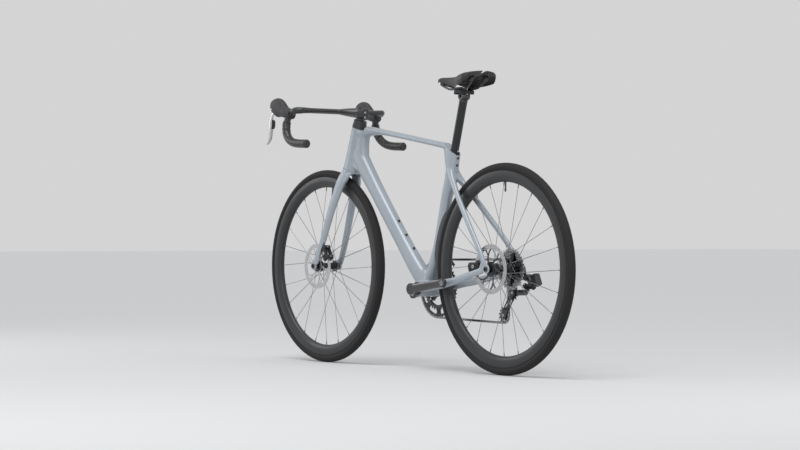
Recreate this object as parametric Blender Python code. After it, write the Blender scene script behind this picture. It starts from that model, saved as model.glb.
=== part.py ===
"""Road bike with drop bar, disc brakes and a two-by-twelve electronic drivetrain.

Metres, +X forward, +Y to the rider's left, +Z up. The origin is on the floor, midway
between the wheel axles, in the middle plane of the frame.
"""

import math

import bmesh
import bpy
from mathutils import Matrix, Vector

# Clearances
FIT_GAP = 0.0003
RUN_GAP = 0.0008
MERGE_LIMIT = 0.00001

# Wheels
WHEELBASE = 0.995
TYRE_RADIUS = 0.3407
TYRE_HALF_WIDTH = 0.0142
TYRE_CROWN_HALF = 0.0040
TYRE_HEIGHT = 0.0257
RIM_RADIUS = TYRE_RADIUS - TYRE_HEIGHT
RIM_DEPTH = 0.0360
RIM_HALF_WIDTH = 0.0142
RIM_BED_HALF = 0.0120
RIM_NOSE_HALF = 0.0045
WHEEL_FACETS = 28
SPOKES_PER_SIDE = 12
SPOKE_CROSSINGS = 2
SPOKE_WIDTH = 0.0024
SPOKE_THICKNESS = 0.0014
SPOKE_WEAVE = 0.0003
FLANGE_RADIUS = 0.0195
FLANGE_THICKNESS = 0.0030
HUB_BARREL_RADIUS = 0.0125
HUB_FACETS = 12
THRU_AXLE_RADIUS = 0.0060
FRONT_DROPOUT_WIDTH = 0.100
REAR_DROPOUT_WIDTH = 0.142
FRONT_FLANGE_LEFT = 0.0260
FRONT_FLANGE_RIGHT = 0.0350
REAR_FLANGE_LEFT = 0.0330
REAR_FLANGE_RIGHT = 0.0195
END_CAP_RADIUS = 0.0095

# Disc brakes
ROTOR_RADIUS = 0.0800
ROTOR_TRACK = 0.0150
ROTOR_THICKNESS = 0.0018
ROTOR_ARMS = 6
ROTOR_ARM_WIDTH = 0.0070
ROTOR_CARRIER_RADIUS = 0.0245
FRONT_ROTOR_Y = 0.0396
REAR_ROTOR_Y = 0.0557
PAD_THICKNESS = 0.0030
PAD_TRAVEL = 0.0005

# Frame geometry
TYRE_TO_BOTTOM_BRACKET = 0.0693
CHAINSTAY_LENGTH = TYRE_RADIUS + TYRE_TO_BOTTOM_BRACKET
BB_DROP = 0.070
HEAD_ANGLE = math.radians(73.0)
FORK_RAKE = 0.045
SEAT_ANGLE = math.radians(74.0)
SEAT_AXIS_SETBACK = 0.016
CROWN_BELOW_TYRE_TOP = 0.0004
HEAD_TUBE_RISE = 0.1430
HEAD_TUBE_LOW_Z = 2 * TYRE_RADIUS - CROWN_BELOW_TYRE_TOP
HEAD_TUBE_TOP_Z = HEAD_TUBE_LOW_Z + HEAD_TUBE_RISE
BB_SHELL_HALF_WIDTH = 0.0430
BB_SHELL_RADIUS = 0.0255
BB_CUP_RADIUS = 0.0205
SPINDLE_RADIUS = 0.0120
STEERER_RADIUS = 0.0143
BEARING_RADIUS_LOWER = 0.0235
BEARING_RADIUS_UPPER = 0.0205
SEATPOST_RADIUS = 0.0136

# Drivetrain
LINK_PITCH = 0.0127
LARGE_RING_TEETH = 48
SMALL_RING_TEETH = 35
COG_TEETH = (10, 11, 12, 13, 14, 15, 17, 19, 21, 24, 28, 33)
ENGAGED_COG = 5
PULLEY_TEETH = 12
SPROCKET_THICKNESS = 0.0018
TOOTH_ABOVE_PITCH = 0.0030
TOOTH_BELOW_PITCH = 0.0042
COG_SPACING = 0.0035
SMALLEST_COG_Y = -0.0665
LARGE_RING_Y = -0.0475
SMALL_RING_Y = -0.0410
CRANK_LENGTH = 0.1725
CRANK_TILT = math.radians(7.5)
CRANK_FACE_Y = 0.0760
CRANK_THICKNESS = 0.0130

# Derived places
FRONT_AXLE = Vector((WHEELBASE / 2, 0.0, TYRE_RADIUS))
REAR_AXLE = Vector((-WHEELBASE / 2, 0.0, TYRE_RADIUS))
BB_Z = TYRE_RADIUS - BB_DROP
BB_X = -WHEELBASE / 2 + math.sqrt(CHAINSTAY_LENGTH ** 2 - BB_DROP ** 2)
BOTTOM_BRACKET = Vector((BB_X, 0.0, BB_Z))
STEER_DIR = Vector((-math.cos(HEAD_ANGLE), 0.0, math.sin(HEAD_ANGLE)))
STEER_NORMAL = Vector((math.sin(HEAD_ANGLE), 0.0, math.cos(HEAD_ANGLE)))
SEAT_DIR = Vector((-math.cos(SEAT_ANGLE), 0.0, math.sin(SEAT_ANGLE)))
SEAT_NORMAL = Vector((math.sin(SEAT_ANGLE), 0.0, math.cos(SEAT_ANGLE)))
STEER_POINT = FRONT_AXLE - STEER_NORMAL * FORK_RAKE
SEAT_POINT = BOTTOM_BRACKET - Vector((SEAT_AXIS_SETBACK, 0.0, 0.0))
FRONT_TYRE_TOP = Vector((FRONT_AXLE.x, 0.0, 2 * TYRE_RADIUS))
SEAT_ROOT = Vector((BB_X, 0.0, 2 * TYRE_RADIUS))
Y_AXIS = Vector((0.0, 1.0, 0.0))

MATERIALS = {
    "frame_paint": ((0.46, 0.51, 0.57), 0.38, 0.35),
    "black_carbon": ((0.020, 0.021, 0.023), 0.38, 0.0),
    "black_alloy": ((0.030, 0.031, 0.033), 0.40, 0.8),
    "silver_alloy": ((0.62, 0.63, 0.65), 0.30, 1.0),
    "bright_steel": ((0.55, 0.55, 0.56), 0.28, 1.0),
    "rotor_steel": ((0.50, 0.50, 0.51), 0.34, 1.0),
    "rim_carbon": ((0.045, 0.046, 0.050), 0.42, 0.0),
    "tyre_rubber": ((0.022, 0.022, 0.023), 0.72, 0.0),
    "tape": ((0.018, 0.018, 0.019), 0.45, 0.0),
    "hood_rubber": ((0.045, 0.045, 0.048), 0.62, 0.0),
    "chain_steel": ((0.13, 0.13, 0.135), 0.34, 1.0),
    "saddle_cover": ((0.020, 0.020, 0.021), 0.48, 0.0),
    "pad_compound": ((0.10, 0.09, 0.08), 0.80, 0.0),
    "dark_plastic": ((0.028, 0.028, 0.030), 0.50, 0.0),
}


def steer_point(z):
    """Point of the steering axis at height z."""
    return STEER_POINT + STEER_DIR * ((z - STEER_POINT.z) / STEER_DIR.z)


def seat_point(z):
    """Point of the seat tube and seatpost axis at height z."""
    return SEAT_POINT + SEAT_DIR * ((z - SEAT_POINT.z) / SEAT_DIR.z)


def spanned(low, high, share, x, y, z):
    """Place offset from a point part of the way from one anchor to another."""
    return low.lerp(high, share) + Vector((x, y, z))


def clear_scene():
    for obj in list(bpy.data.objects):
        bpy.data.objects.remove(obj, do_unlink=True)


def material(name):
    """Principled material of one finish, made once."""
    found = bpy.data.materials.get(name)
    if found:
        return found
    colour, roughness, metallic = MATERIALS[name]
    made = bpy.data.materials.new(name)
    made.use_nodes = True
    shader = made.node_tree.nodes["Principled BSDF"]
    shader.inputs["Base Color"].default_value = (*colour, 1.0)
    shader.inputs["Roughness"].default_value = roughness
    shader.inputs["Metallic"].default_value = metallic
    made.diffuse_color = (*colour, 1.0)
    return made


def add_part(name, bm, finish, parent=None, sharp_angle=40.0):
    """Object named after its node, with outward faces and smooth shading on round stretches."""
    bmesh.ops.recalc_face_normals(bm, faces=bm.faces)
    mesh = bpy.data.meshes.new(name)
    bm.to_mesh(mesh)
    bm.free()
    mesh.shade_smooth()
    mesh.set_sharp_from_angle(angle=math.radians(sharp_angle))
    obj = bpy.data.objects.new(name, mesh)
    bpy.context.scene.collection.objects.link(obj)
    mesh.materials.append(material(finish))
    if parent:
        seat_under(obj, parent)
    return obj


def seat_under(obj, parent):
    """Parent obj and move its mesh so that it keeps its place with the parent's origin."""
    frame = parent.matrix_world.inverted()
    obj.data.transform(frame)
    obj.parent = parent


def add_pivot(name, place, axis=None, parent=None):
    """Empty on a joint's axis, with its Z along the axis."""
    empty = bpy.data.objects.new(name, None)
    bpy.context.scene.collection.objects.link(empty)
    empty.empty_display_size = 0.03
    turn = Vector((0.0, 0.0, 1.0)).rotation_difference(axis or Vector((0.0, 0.0, 1.0)))
    world = Matrix.Translation(place) @ turn.to_matrix().to_4x4()
    if parent:
        empty.parent = parent
        world = parent.matrix_world.inverted() @ world
    empty.matrix_local = world
    bpy.context.view_layer.update()
    return empty


def add_cutter(name, bm):
    """Guide shape for a Boolean, left out of the model."""
    bmesh.ops.recalc_face_normals(bm, faces=bm.faces)
    mesh = bpy.data.meshes.new(name)
    bm.to_mesh(mesh)
    bm.free()
    obj = bpy.data.objects.new(name, mesh)
    bpy.context.scene.collection.objects.link(obj)
    obj.hide_render = True
    obj.display_type = "WIRE"
    return obj


def combine(obj, others, operation):
    """Join or cut obj with the other shapes, one after another."""
    for other in others:
        step = obj.modifiers.new(f"{operation.lower()}_{other.name}", "BOOLEAN")
        step.operation = operation
        step.solver = "EXACT"
        step.object = other


def skin(bm, rings, closed=False, diagonal=0):
    """Cover rings of equal length with faces, and cap the ends of an open run.

    With diagonal 1 or -1 each quad is split along that diagonal, so that a bore can copy a rod.
    """
    loops = [[bm.verts.new(point) for point in ring] for ring in rings]
    count = len(loops[0])
    pairs = list(zip(loops, loops[1:]))
    if closed:
        pairs.append((loops[-1], loops[0]))
    for low, high in pairs:
        for i in range(count):
            j = (i + 1) % count
            if diagonal > 0:
                bm.faces.new((low[i], low[j], high[j]))
                bm.faces.new((low[i], high[j], high[i]))
            elif diagonal < 0:
                bm.faces.new((low[i], low[j], high[i]))
                bm.faces.new((low[j], high[j], high[i]))
            else:
                bm.faces.new((low[i], low[j], high[j], high[i]))
    if not closed:
        bm.faces.new(list(reversed(loops[0])))
        bm.faces.new(loops[-1])
    return loops


def around_y(centre, radius, y, angle):
    """Point at a radius and angle round a lateral axis; angle runs from +X towards +Z."""
    return Vector((centre.x + radius * math.cos(angle), y, centre.z + radius * math.sin(angle)))


def turned_ring(bm, centre, profile, facets, phase=0.5):
    """Closed profile of (radius, y) swept right round a lateral axis."""
    rings = []
    for step in range(facets):
        angle = math.tau * (step + phase) / facets
        rings.append([around_y(centre, radius, y, angle) for radius, y in profile])
    skin(bm, rings, closed=True)


def turned_solid(bm, centre, profile, facets, phase=0.5):
    """Open profile of (radius, y) turned to a solid with two flat ends."""
    rings = []
    for radius, y in profile:
        ring = [around_y(centre, radius, y, math.tau * (i + phase) / facets) for i in range(facets)]
        rings.append(ring)
    skin(bm, rings)


def frame_at(tangent, across):
    """Two unit directions square to the tangent: across it sideways, and in plane."""
    tangent = tangent.normalized()
    side = (across - tangent * across.dot(tangent)).normalized()
    rise = tangent.cross(side)
    return side, rise


def oval(centre, tangent, half_side, half_rise, sides, power=2.0, across=Y_AXIS, phase=0.5):
    """Superellipse ring square to the tangent; power 2 is an ellipse, higher is boxier."""
    side, rise = frame_at(tangent, across)
    ring = []
    for i in range(sides):
        angle = math.tau * (i + phase) / sides
        c = math.cos(angle)
        s = math.sin(angle)
        u = math.copysign(abs(c) ** (2.0 / power), c)
        v = math.copysign(abs(s) ** (2.0 / power), s)
        ring.append(centre + side * (half_side * u) + rise * (half_rise * v))
    return ring


def rod(bm, start, end, radius, sides, across=Y_AXIS, end_radius=None):
    """Straight round bar between two points."""
    tangent = end - start
    if abs(tangent.normalized().dot(across)) > 0.9:
        across = Vector((1.0, 0.0, 0.0))
    last = radius if end_radius is None else end_radius
    skin(bm, [oval(start, tangent, radius, radius, sides, across=across),
              oval(end, tangent, last, last, sides, across=across)])


def tube_along(bm, points, radii, sides, power=2.0, across=Y_AXIS):
    """Tube through points, square to the path; radii are (half side, half rise) pairs."""
    rings = []
    for i, point in enumerate(points):
        before = points[max(i - 1, 0)]
        after = points[min(i + 1, len(points) - 1)]
        half_side, half_rise = radii[i]
        rings.append(oval(point, after - before, half_side, half_rise, sides, power, across))
    skin(bm, rings, diagonal=1)


def smooth_path(knots, steps):
    """Points on a smooth curve through the knots, with even steps between each pair."""
    points = []
    for i in range(len(knots) - 1):
        before = knots[max(i - 1, 0)]
        start = knots[i]
        end = knots[i + 1]
        after = knots[min(i + 2, len(knots) - 1)]
        for k in range(steps):
            t = k / steps
            points.append(0.5 * (2 * start + (end - before) * t
                                 + (2 * before - 5 * start + 4 * end - after) * t ** 2
                                 + (3 * start - before - 3 * end + after) * t ** 3))
    points.append(knots[-1].copy())
    return points


def slab(bm, outline, y_low, y_high):
    """Side-view outline of (x, z) points made into a plate between two lateral planes."""
    low = [Vector((x, y_low, z)) for x, z in outline]
    high = [Vector((x, y_high, z)) for x, z in outline]
    skin(bm, [low, high])


def block(bm, centre, size, turn=None):
    """Box of a full size, turned about its centre."""
    spin = turn.to_4x4() if turn else Matrix.Identity(4)
    place = Matrix.Translation(centre) @ spin @ Matrix.Diagonal((*size, 1.0))
    bmesh.ops.create_cube(bm, size=1.0, matrix=place)


def bevel_all(bm, width, segments=1):
    bmesh.ops.bevel(bm, geom=list(bm.edges), offset=width, segments=segments, affect="EDGES",
                    clamp_overlap=True)


def polar(centre, radius, angle):
    return (centre.x + radius * math.cos(angle), centre.z + radius * math.sin(angle))


def facet_apothem(radius):
    return radius / math.cos(math.pi / WHEEL_FACETS)


def build_tyre(name, axle, wheel):
    """Solid tyre whose lowest facet lies flat on the floor."""
    outer = facet_apothem(TYRE_RADIUS)
    bead = facet_apothem(RIM_RADIUS + FIT_GAP)
    half = [(outer, TYRE_CROWN_HALF), (outer - 0.0110, TYRE_HALF_WIDTH), (bead, RIM_BED_HALF - 0.0010)]
    profile = half + [(radius, -y) for radius, y in reversed(half)]
    bm = bmesh.new()
    turned_ring(bm, axle, profile, WHEEL_FACETS)
    return add_part(name, bm, "tyre_rubber", wheel)


def build_rim(name, axle, wheel):
    """Deep aero rim, widest below the tyre bed and round at its inner nose."""
    bed = facet_apothem(RIM_RADIUS)
    nose = facet_apothem(RIM_RADIUS - RIM_DEPTH)
    half = [(bed, RIM_BED_HALF), (bed - 0.0140, RIM_HALF_WIDTH), (nose, RIM_NOSE_HALF)]
    profile = half + [(radius, -y) for radius, y in reversed(half)]
    bm = bmesh.new()
    turned_ring(bm, axle, profile, WHEEL_FACETS)
    return add_part(name, bm, "rim_carbon", wheel)


def spoke_line(axle, flange_y, index, leading, offset):
    """Hub end and rim end of one spoke of a crossed pattern."""
    pitch = math.tau / SPOKES_PER_SIDE
    rim_angle = pitch * index + offset
    lean = SPOKE_CROSSINGS * pitch * (1 if leading else -1)
    weave = SPOKE_WEAVE if leading else -SPOKE_WEAVE
    hub_point = around_y(axle, FLANGE_RADIUS + SPOKE_WIDTH / 2, flange_y + weave, rim_angle + lean)
    to_rim = around_y(axle, RIM_RADIUS - RIM_DEPTH, weave, rim_angle)
    length = (to_rim - hub_point).length
    return hub_point, hub_point + (to_rim - hub_point) * (1.0 - RUN_GAP / length)


def build_spokes(name, axle, flange_y, offset, wheel):
    """Bladed spokes of one side, crossing each other twice and touching where they cross."""
    shapes = []
    for index in range(SPOKES_PER_SIDE):
        hub_end, rim_end = spoke_line(axle, flange_y, index, index % 2 == 0, offset)
        bm = bmesh.new()
        ring_ends = []
        tangent = rim_end - hub_end
        side, rise = frame_at(tangent, Y_AXIS)
        for place in (hub_end, rim_end):
            ring_ends.append([place + side * (SPOKE_THICKNESS / 2 * a) + rise * (SPOKE_WIDTH / 2 * b)
                              for a, b in ((-1.0, 0.0), (1.0, -1.0), (1.0, 1.0))])
        skin(bm, ring_ends)
        shapes.append(bm)
    spokes = add_part(name, shapes[0], "bright_steel", wheel)
    cutters = []
    for k, bm in enumerate(shapes[1:]):
        cutter = add_cutter(f"{name}_guide_{k}", bm)
        seat_under(cutter, wheel)
        cutters.append(cutter)
    combine(spokes, cutters, "UNION")
    return spokes


def build_hub(name, axle, left_flange, right_flange, half_width, rotor_y, freehub, wheel):
    """Hub shell with its bore, two flanges, end caps and the splined seat of the rotor."""
    bore = THRU_AXLE_RADIUS + FIT_GAP
    flange = FLANGE_THICKNESS / 2
    rotor_seat = rotor_y - ROTOR_THICKNESS / 2 - FIT_GAP
    right_end = -half_width
    outline = [(bore, half_width), (END_CAP_RADIUS, half_width), (END_CAP_RADIUS, rotor_seat),
               (ROTOR_CARRIER_RADIUS - 0.0065, rotor_seat), (HUB_BARREL_RADIUS + 0.004, left_flange + 0.005),
               (FLANGE_RADIUS, left_flange + flange), (FLANGE_RADIUS, left_flange - flange),
               (HUB_BARREL_RADIUS, left_flange - 0.007), (HUB_BARREL_RADIUS, -right_flange + 0.007),
               (FLANGE_RADIUS, -right_flange + flange), (FLANGE_RADIUS, -right_flange - flange)]
    if freehub:
        shoulder = -right_flange - 0.0045
        outline += [(HUB_BARREL_RADIUS + 0.002, shoulder), (END_CAP_RADIUS, shoulder)]
    else:
        outline += [(HUB_BARREL_RADIUS, -right_flange - 0.006), (END_CAP_RADIUS, -right_flange - 0.009)]
    outline += [(END_CAP_RADIUS, right_end), (bore, right_end)]
    bm = bmesh.new()
    turned_ring(bm, axle, outline, HUB_FACETS)
    return add_part(name, bm, "black_alloy", wheel)


def build_rotor(name, axle, y, wheel):
    """Brake disc: outer track on curved arms that run to a splined carrier ring."""
    low = y - ROTOR_THICKNESS / 2
    high = y + ROTOR_THICKNESS / 2
    bm = bmesh.new()
    turned_ring(bm, axle, [(ROTOR_RADIUS, low), (ROTOR_RADIUS, high),
                           (ROTOR_RADIUS - ROTOR_TRACK, high), (ROTOR_RADIUS - ROTOR_TRACK, low)], 20)
    rotor = add_part(name, bm, "rotor_steel", wheel)
    carrier = bmesh.new()
    inner = END_CAP_RADIUS + FIT_GAP
    turned_ring(carrier, axle, [(ROTOR_CARRIER_RADIUS, low), (ROTOR_CARRIER_RADIUS, high),
                                (inner, high), (inner, low)], 12)
    cutters = [add_cutter(f"{name}_carrier_guide", carrier)]
    for k in range(ROTOR_ARMS):
        start = math.tau * k / ROTOR_ARMS
        arm = bmesh.new()
        stations = 2
        inset = 0.0002
        left = []
        right = []
        for s in range(stations + 1):
            t = s / stations
            radius = ROTOR_CARRIER_RADIUS - 0.003 + t * (ROTOR_RADIUS - ROTOR_TRACK - ROTOR_CARRIER_RADIUS + 0.006)
            angle = start + 0.55 * t
            half = ROTOR_ARM_WIDTH / 2 / radius * (1.0 + 0.35 * t)
            left.append(polar(axle, radius, angle - half))
            right.append(polar(axle, radius, angle + half))
        slab(arm, left + right[::-1], low + inset, high - inset)
        cutters.append(add_cutter(f"{name}_arm_guide_{k}", arm))
    for cutter in cutters:
        seat_under(cutter, wheel)
    combine(rotor, cutters, "UNION")
    return rotor


def build_front_wheel(wheel):
    build_tyre("front_tyre", FRONT_AXLE, wheel)
    build_rim("front_rim", FRONT_AXLE, wheel)
    pitch = math.pi / SPOKES_PER_SIDE
    build_spokes("front_spokes_left", FRONT_AXLE, FRONT_FLANGE_LEFT, 0.0, wheel)
    build_spokes("front_spokes_right", FRONT_AXLE, -FRONT_FLANGE_RIGHT, pitch, wheel)
    build_hub("front_hub", FRONT_AXLE, FRONT_FLANGE_LEFT, FRONT_FLANGE_RIGHT,
              FRONT_DROPOUT_WIDTH / 2 - FIT_GAP, FRONT_ROTOR_Y, False, wheel)
    build_rotor("front_rotor", FRONT_AXLE, FRONT_ROTOR_Y, wheel)


def build_rear_wheel(wheel):
    build_tyre("rear_tyre", REAR_AXLE, wheel)
    build_rim("rear_rim", REAR_AXLE, wheel)
    pitch = math.pi / SPOKES_PER_SIDE
    build_spokes("rear_spokes_left", REAR_AXLE, REAR_FLANGE_LEFT, 0.0, wheel)
    build_spokes("rear_spokes_right", REAR_AXLE, -REAR_FLANGE_RIGHT, pitch, wheel)
    build_hub("rear_hub", REAR_AXLE, REAR_FLANGE_LEFT, REAR_FLANGE_RIGHT,
              REAR_DROPOUT_WIDTH / 2 - FIT_GAP, REAR_ROTOR_Y, True, wheel)
    build_rotor("rear_rotor", REAR_AXLE, REAR_ROTOR_Y, wheel)


def build_thru_axle(name, axle, half_length, head_y):
    """Through axle with a flanged head on the left dropout."""
    bm = bmesh.new()
    turned_solid(bm, axle, [(THRU_AXLE_RADIUS, -half_length), (THRU_AXLE_RADIUS, head_y),
                            (0.0085, head_y), (0.0080, head_y + 0.0035)], 16)
    return add_part(name, bm, "black_alloy")


# Frame tubes: side view places, real half widths
DOWN_TUBE_HALF_WIDTH = 0.0225
DOWN_TUBE_HALF_DEPTH = 0.0330
TOP_TUBE_HALF_WIDTH = 0.0185
SEAT_TUBE_HALF_WIDTH = 0.0180
CHAINSTAY_DROPOUT_Y = 0.0755
DROPOUT_THICKNESS = 0.0080


def station(anchor, x, z, half_side, half_rise, y=0.0):
    """Tube section at an offset from an anchor, with its half sizes."""
    return anchor + Vector((x, y, z)), (half_side, half_rise)


def loft_stations(bm, stations, sides, power, across=Y_AXIS):
    points = [place for place, _ in stations]
    radii = [pair for _, pair in stations]
    tube_along(bm, points, radii, sides, power, across)


def head_tube_shape(bm):
    """Deep head tube, square to the steering axis at both seats."""
    low = steer_point(HEAD_TUBE_LOW_Z)
    top = steer_point(HEAD_TUBE_TOP_Z)
    back = STEER_NORMAL * -0.006
    rings = []
    for t, half_side, half_deep in ((-0.03, 0.0290, 0.0330), (0.35, 0.0265, 0.0310), (0.75, 0.0245, 0.0290),
                                    (1.03, 0.0240, 0.0270)):
        centre = low.lerp(top, t) + back
        rings.append(oval(centre, STEER_DIR, half_side, half_deep, 12, 2.2))
    skin(bm, rings)


def down_tube_shape(bm):
    """Deep down tube from the head tube to the bottom bracket."""
    low = BOTTOM_BRACKET + Vector((0.007, 0.0, 0.028))
    rise = FRONT_TYRE_TOP + Vector((-0.2525, 0.0, 0.0201)) - low
    rings = [(-0.02, 0.024, 0.036), (0.12, DOWN_TUBE_HALF_WIDTH + 0.002, DOWN_TUBE_HALF_DEPTH + 0.002),
             (0.45, DOWN_TUBE_HALF_WIDTH, DOWN_TUBE_HALF_DEPTH),
             (0.80, DOWN_TUBE_HALF_WIDTH, DOWN_TUBE_HALF_DEPTH + 0.001), (1.08, 0.0235, 0.040)]
    stations = [(low + rise * t, (side, deep)) for t, side, deep in rings]
    loft_stations(bm, stations, 10, 2.8)


def head_gusset_shape(bm):
    """Flowing web where the down tube and top tube meet behind the head tube."""
    loft_stations(bm, [station(FRONT_TYRE_TOP, -0.2625, 0.0186, 0.0200, 0.034), station(FRONT_TYRE_TOP, -0.2525, 0.0636, 0.0195, 0.026),
                       station(FRONT_TYRE_TOP, -0.2495, 0.1136, 0.0190, 0.027)], 10, 2.4)


def top_tube_shape(bm):
    """Slim top tube that falls from the head tube towards the seat tube."""
    stations = []
    for share, x, z, half_side, half_rise in ((1.000, -0.2125, 0.1291, 0.0215, 0.0200),
                                              (1.000, -0.2675, 0.1256, 0.0205, 0.0170),
                                              (0.784, -0.2396, 0.1131, TOP_TUBE_HALF_WIDTH, 0.0140),
                                              (0.502, -0.2033, 0.0926, TOP_TUBE_HALF_WIDTH, 0.0130),
                                              (0.232, -0.1684, 0.0716, 0.0180, 0.0125),
                                              (0.000, -0.1385, 0.0516, 0.0172, 0.0165)):
        stations.append(station(SEAT_ROOT.lerp(FRONT_TYRE_TOP, share), x, z, half_side, half_rise))
    loft_stations(bm, stations, 8, 2.4)


def seat_tube_shape(bm, grow=0.0):
    """Seat tube round the post, cut back and bladed where it runs past the rear tyre."""
    sections = [(seat_point(SEAT_TUBE_CUT_Z + 0.0165), (SEAT_TUBE_HALF_WIDTH, 0.0265)),
                (seat_point(SEAT_TUBE_CUT_Z - 0.0255), (SEAT_TUBE_HALF_WIDTH, 0.0265)),
                (seat_point(SEAT_TUBE_CUT_Z - 0.0805) + Vector((-0.004, 0.0, 0.0)), (0.0185, 0.0310)),
                (spanned(BOTTOM_BRACKET, SEAT_ROOT, 0.741, -0.1185, 0.0, 0.0), (0.0180, 0.0200)),
                (spanned(BOTTOM_BRACKET, SEAT_ROOT, 0.558, -0.0915, 0.0, 0.0), (0.0175, 0.0145)),
                (spanned(BOTTOM_BRACKET, SEAT_ROOT, 0.339, -0.0635, 0.0, 0.0), (0.0185, 0.0125)),
                (spanned(BOTTOM_BRACKET, SEAT_ROOT, 0.169, -0.0345, 0.0, 0.0), (0.0215, 0.0170)),
                (spanned(BOTTOM_BRACKET, SEAT_ROOT, 0.035, -0.0115, 0.0, 0.0), (0.0240, 0.0210))]
    loft_stations(bm, [(place, (side + grow, rise + grow)) for place, (side, rise) in sections], 10, 2.4)


def bottom_bracket_shape(bm):
    width = BB_SHELL_HALF_WIDTH
    turned_solid(bm, BOTTOM_BRACKET, [(BB_SHELL_RADIUS, -width), (BB_SHELL_RADIUS, width)], 16)


def chainstay_shape(bm, side):
    """Stay that bows round the tyre and ends flush at its dropout."""
    end_y = side * (CHAINSTAY_DROPOUT_Y - DROPOUT_THICKNESS / 2)
    knots = [Vector((BB_X - 0.004, side * 0.0270, BB_Z + 0.006)), spanned(BOTTOM_BRACKET, REAR_AXLE, 0.165, 0.0002, side * 0.0300, 0.0007),
             spanned(BOTTOM_BRACKET, REAR_AXLE, 0.338, 0.0001, side * 0.0350, -0.0044), spanned(BOTTOM_BRACKET, REAR_AXLE, 0.536, 0.0001, side * 0.0490, -0.0072),
             spanned(BOTTOM_BRACKET, REAR_AXLE, 0.759, 0.0001, side * 0.0640, -0.0028), spanned(BOTTOM_BRACKET, REAR_AXLE, 0.942, 0.0001, end_y, -0.0006)]
    radii = [(0.0115, 0.0180), (0.0095, 0.0170), (0.0080, 0.0150), (0.0078, 0.0125), (0.0070, 0.0110),
             (0.0045, 0.0100)]
    tube_along(bm, knots, radii, 8, 2.6)


def seatstay_shape(bm, side):
    """Thin dropped stay from the seat tube to the dropout."""
    end_y = side * (CHAINSTAY_DROPOUT_Y - DROPOUT_THICKNESS / 2)
    knots = [spanned(REAR_AXLE, SEAT_ROOT, 0.937, -0.1370, side * 0.0120, 0.0001), spanned(REAR_AXLE, SEAT_ROOT, 0.858, -0.1331, side * 0.0260, 0.0),
             spanned(REAR_AXLE, SEAT_ROOT, 0.606, -0.0923, side * 0.0390, -0.0002), spanned(REAR_AXLE, SEAT_ROOT, 0.259, -0.0321, side * 0.0560, 0.0001),
             spanned(REAR_AXLE, SEAT_ROOT, 0.045, 0.0003, end_y, 0.0)]
    radii = [(0.0110, 0.0140), (0.0078, 0.0110), (0.0062, 0.0082), (0.0058, 0.0078), (0.0045, 0.0090)]
    tube_along(bm, knots, radii, 8, 2.4)


def stay_bridge_shape(bm):
    rod(bm, spanned(REAR_AXLE, SEAT_ROOT, 0.814, -0.1273, -0.028, 0.0), spanned(REAR_AXLE, SEAT_ROOT, 0.814, -0.1273, 0.028, 0.0), 0.0080, 8)


def dropout_shape(bm, side):
    """Forged end round the axle, joined to both stays."""
    outer = side * CHAINSTAY_DROPOUT_Y
    inner = side * (REAR_DROPOUT_WIDTH / 2)
    outline = [polar(REAR_AXLE, 0.0150, math.radians(a)) for a in range(140, 331, 38)]
    outline += [(REAR_AXLE.x + 0.030, TYRE_RADIUS - 0.014), (REAR_AXLE.x + 0.036, TYRE_RADIUS + 0.003),
                (REAR_AXLE.x + 0.022, TYRE_RADIUS + 0.026), (REAR_AXLE.x + 0.008, TYRE_RADIUS + 0.026)]
    slab(bm, outline, min(inner, outer), max(inner, outer))


def slanted_box(bm, centre, axis, length, half):
    """Cutting box whose lower face is centred at a point, square to the axis."""
    side, rise = frame_at(axis, Y_AXIS)
    rings = []
    for reach in (0.0, length):
        middle = centre + axis * reach
        rings.append([middle + side * (half * a) + rise * (half * b)
                      for a, b in ((-1, -1), (1, -1), (1, 1), (-1, 1))])
    skin(bm, rings)


def build_frame():
    """One moulded frame: tubes joined, then bored for the bearings, post and axles."""
    bm = bmesh.new()
    down_tube_shape(bm)
    frame = add_part("frame", bm, "frame_paint", sharp_angle=35.0)
    joins = {"head_tube": head_tube_shape, "head_gusset": head_gusset_shape, "top_tube": top_tube_shape,
             "seat_tube": seat_tube_shape, "bb_shell": bottom_bracket_shape, "stay_bridge": stay_bridge_shape}
    guides = []
    for name, shape in joins.items():
        bm = bmesh.new()
        shape(bm)
        guides.append(add_cutter(f"frame_{name}_guide", bm))
    for label, side in (("left", 1), ("right", -1)):
        for name, shape in (("chainstay", chainstay_shape), ("seatstay", seatstay_shape),
                            ("dropout", dropout_shape)):
            bm = bmesh.new()
            shape(bm, side)
            guides.append(add_cutter(f"frame_{name}_{label}_guide", bm))
    combine(frame, guides, "UNION")
    combine(frame, frame_cutters(), "DIFFERENCE")
    return frame


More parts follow.
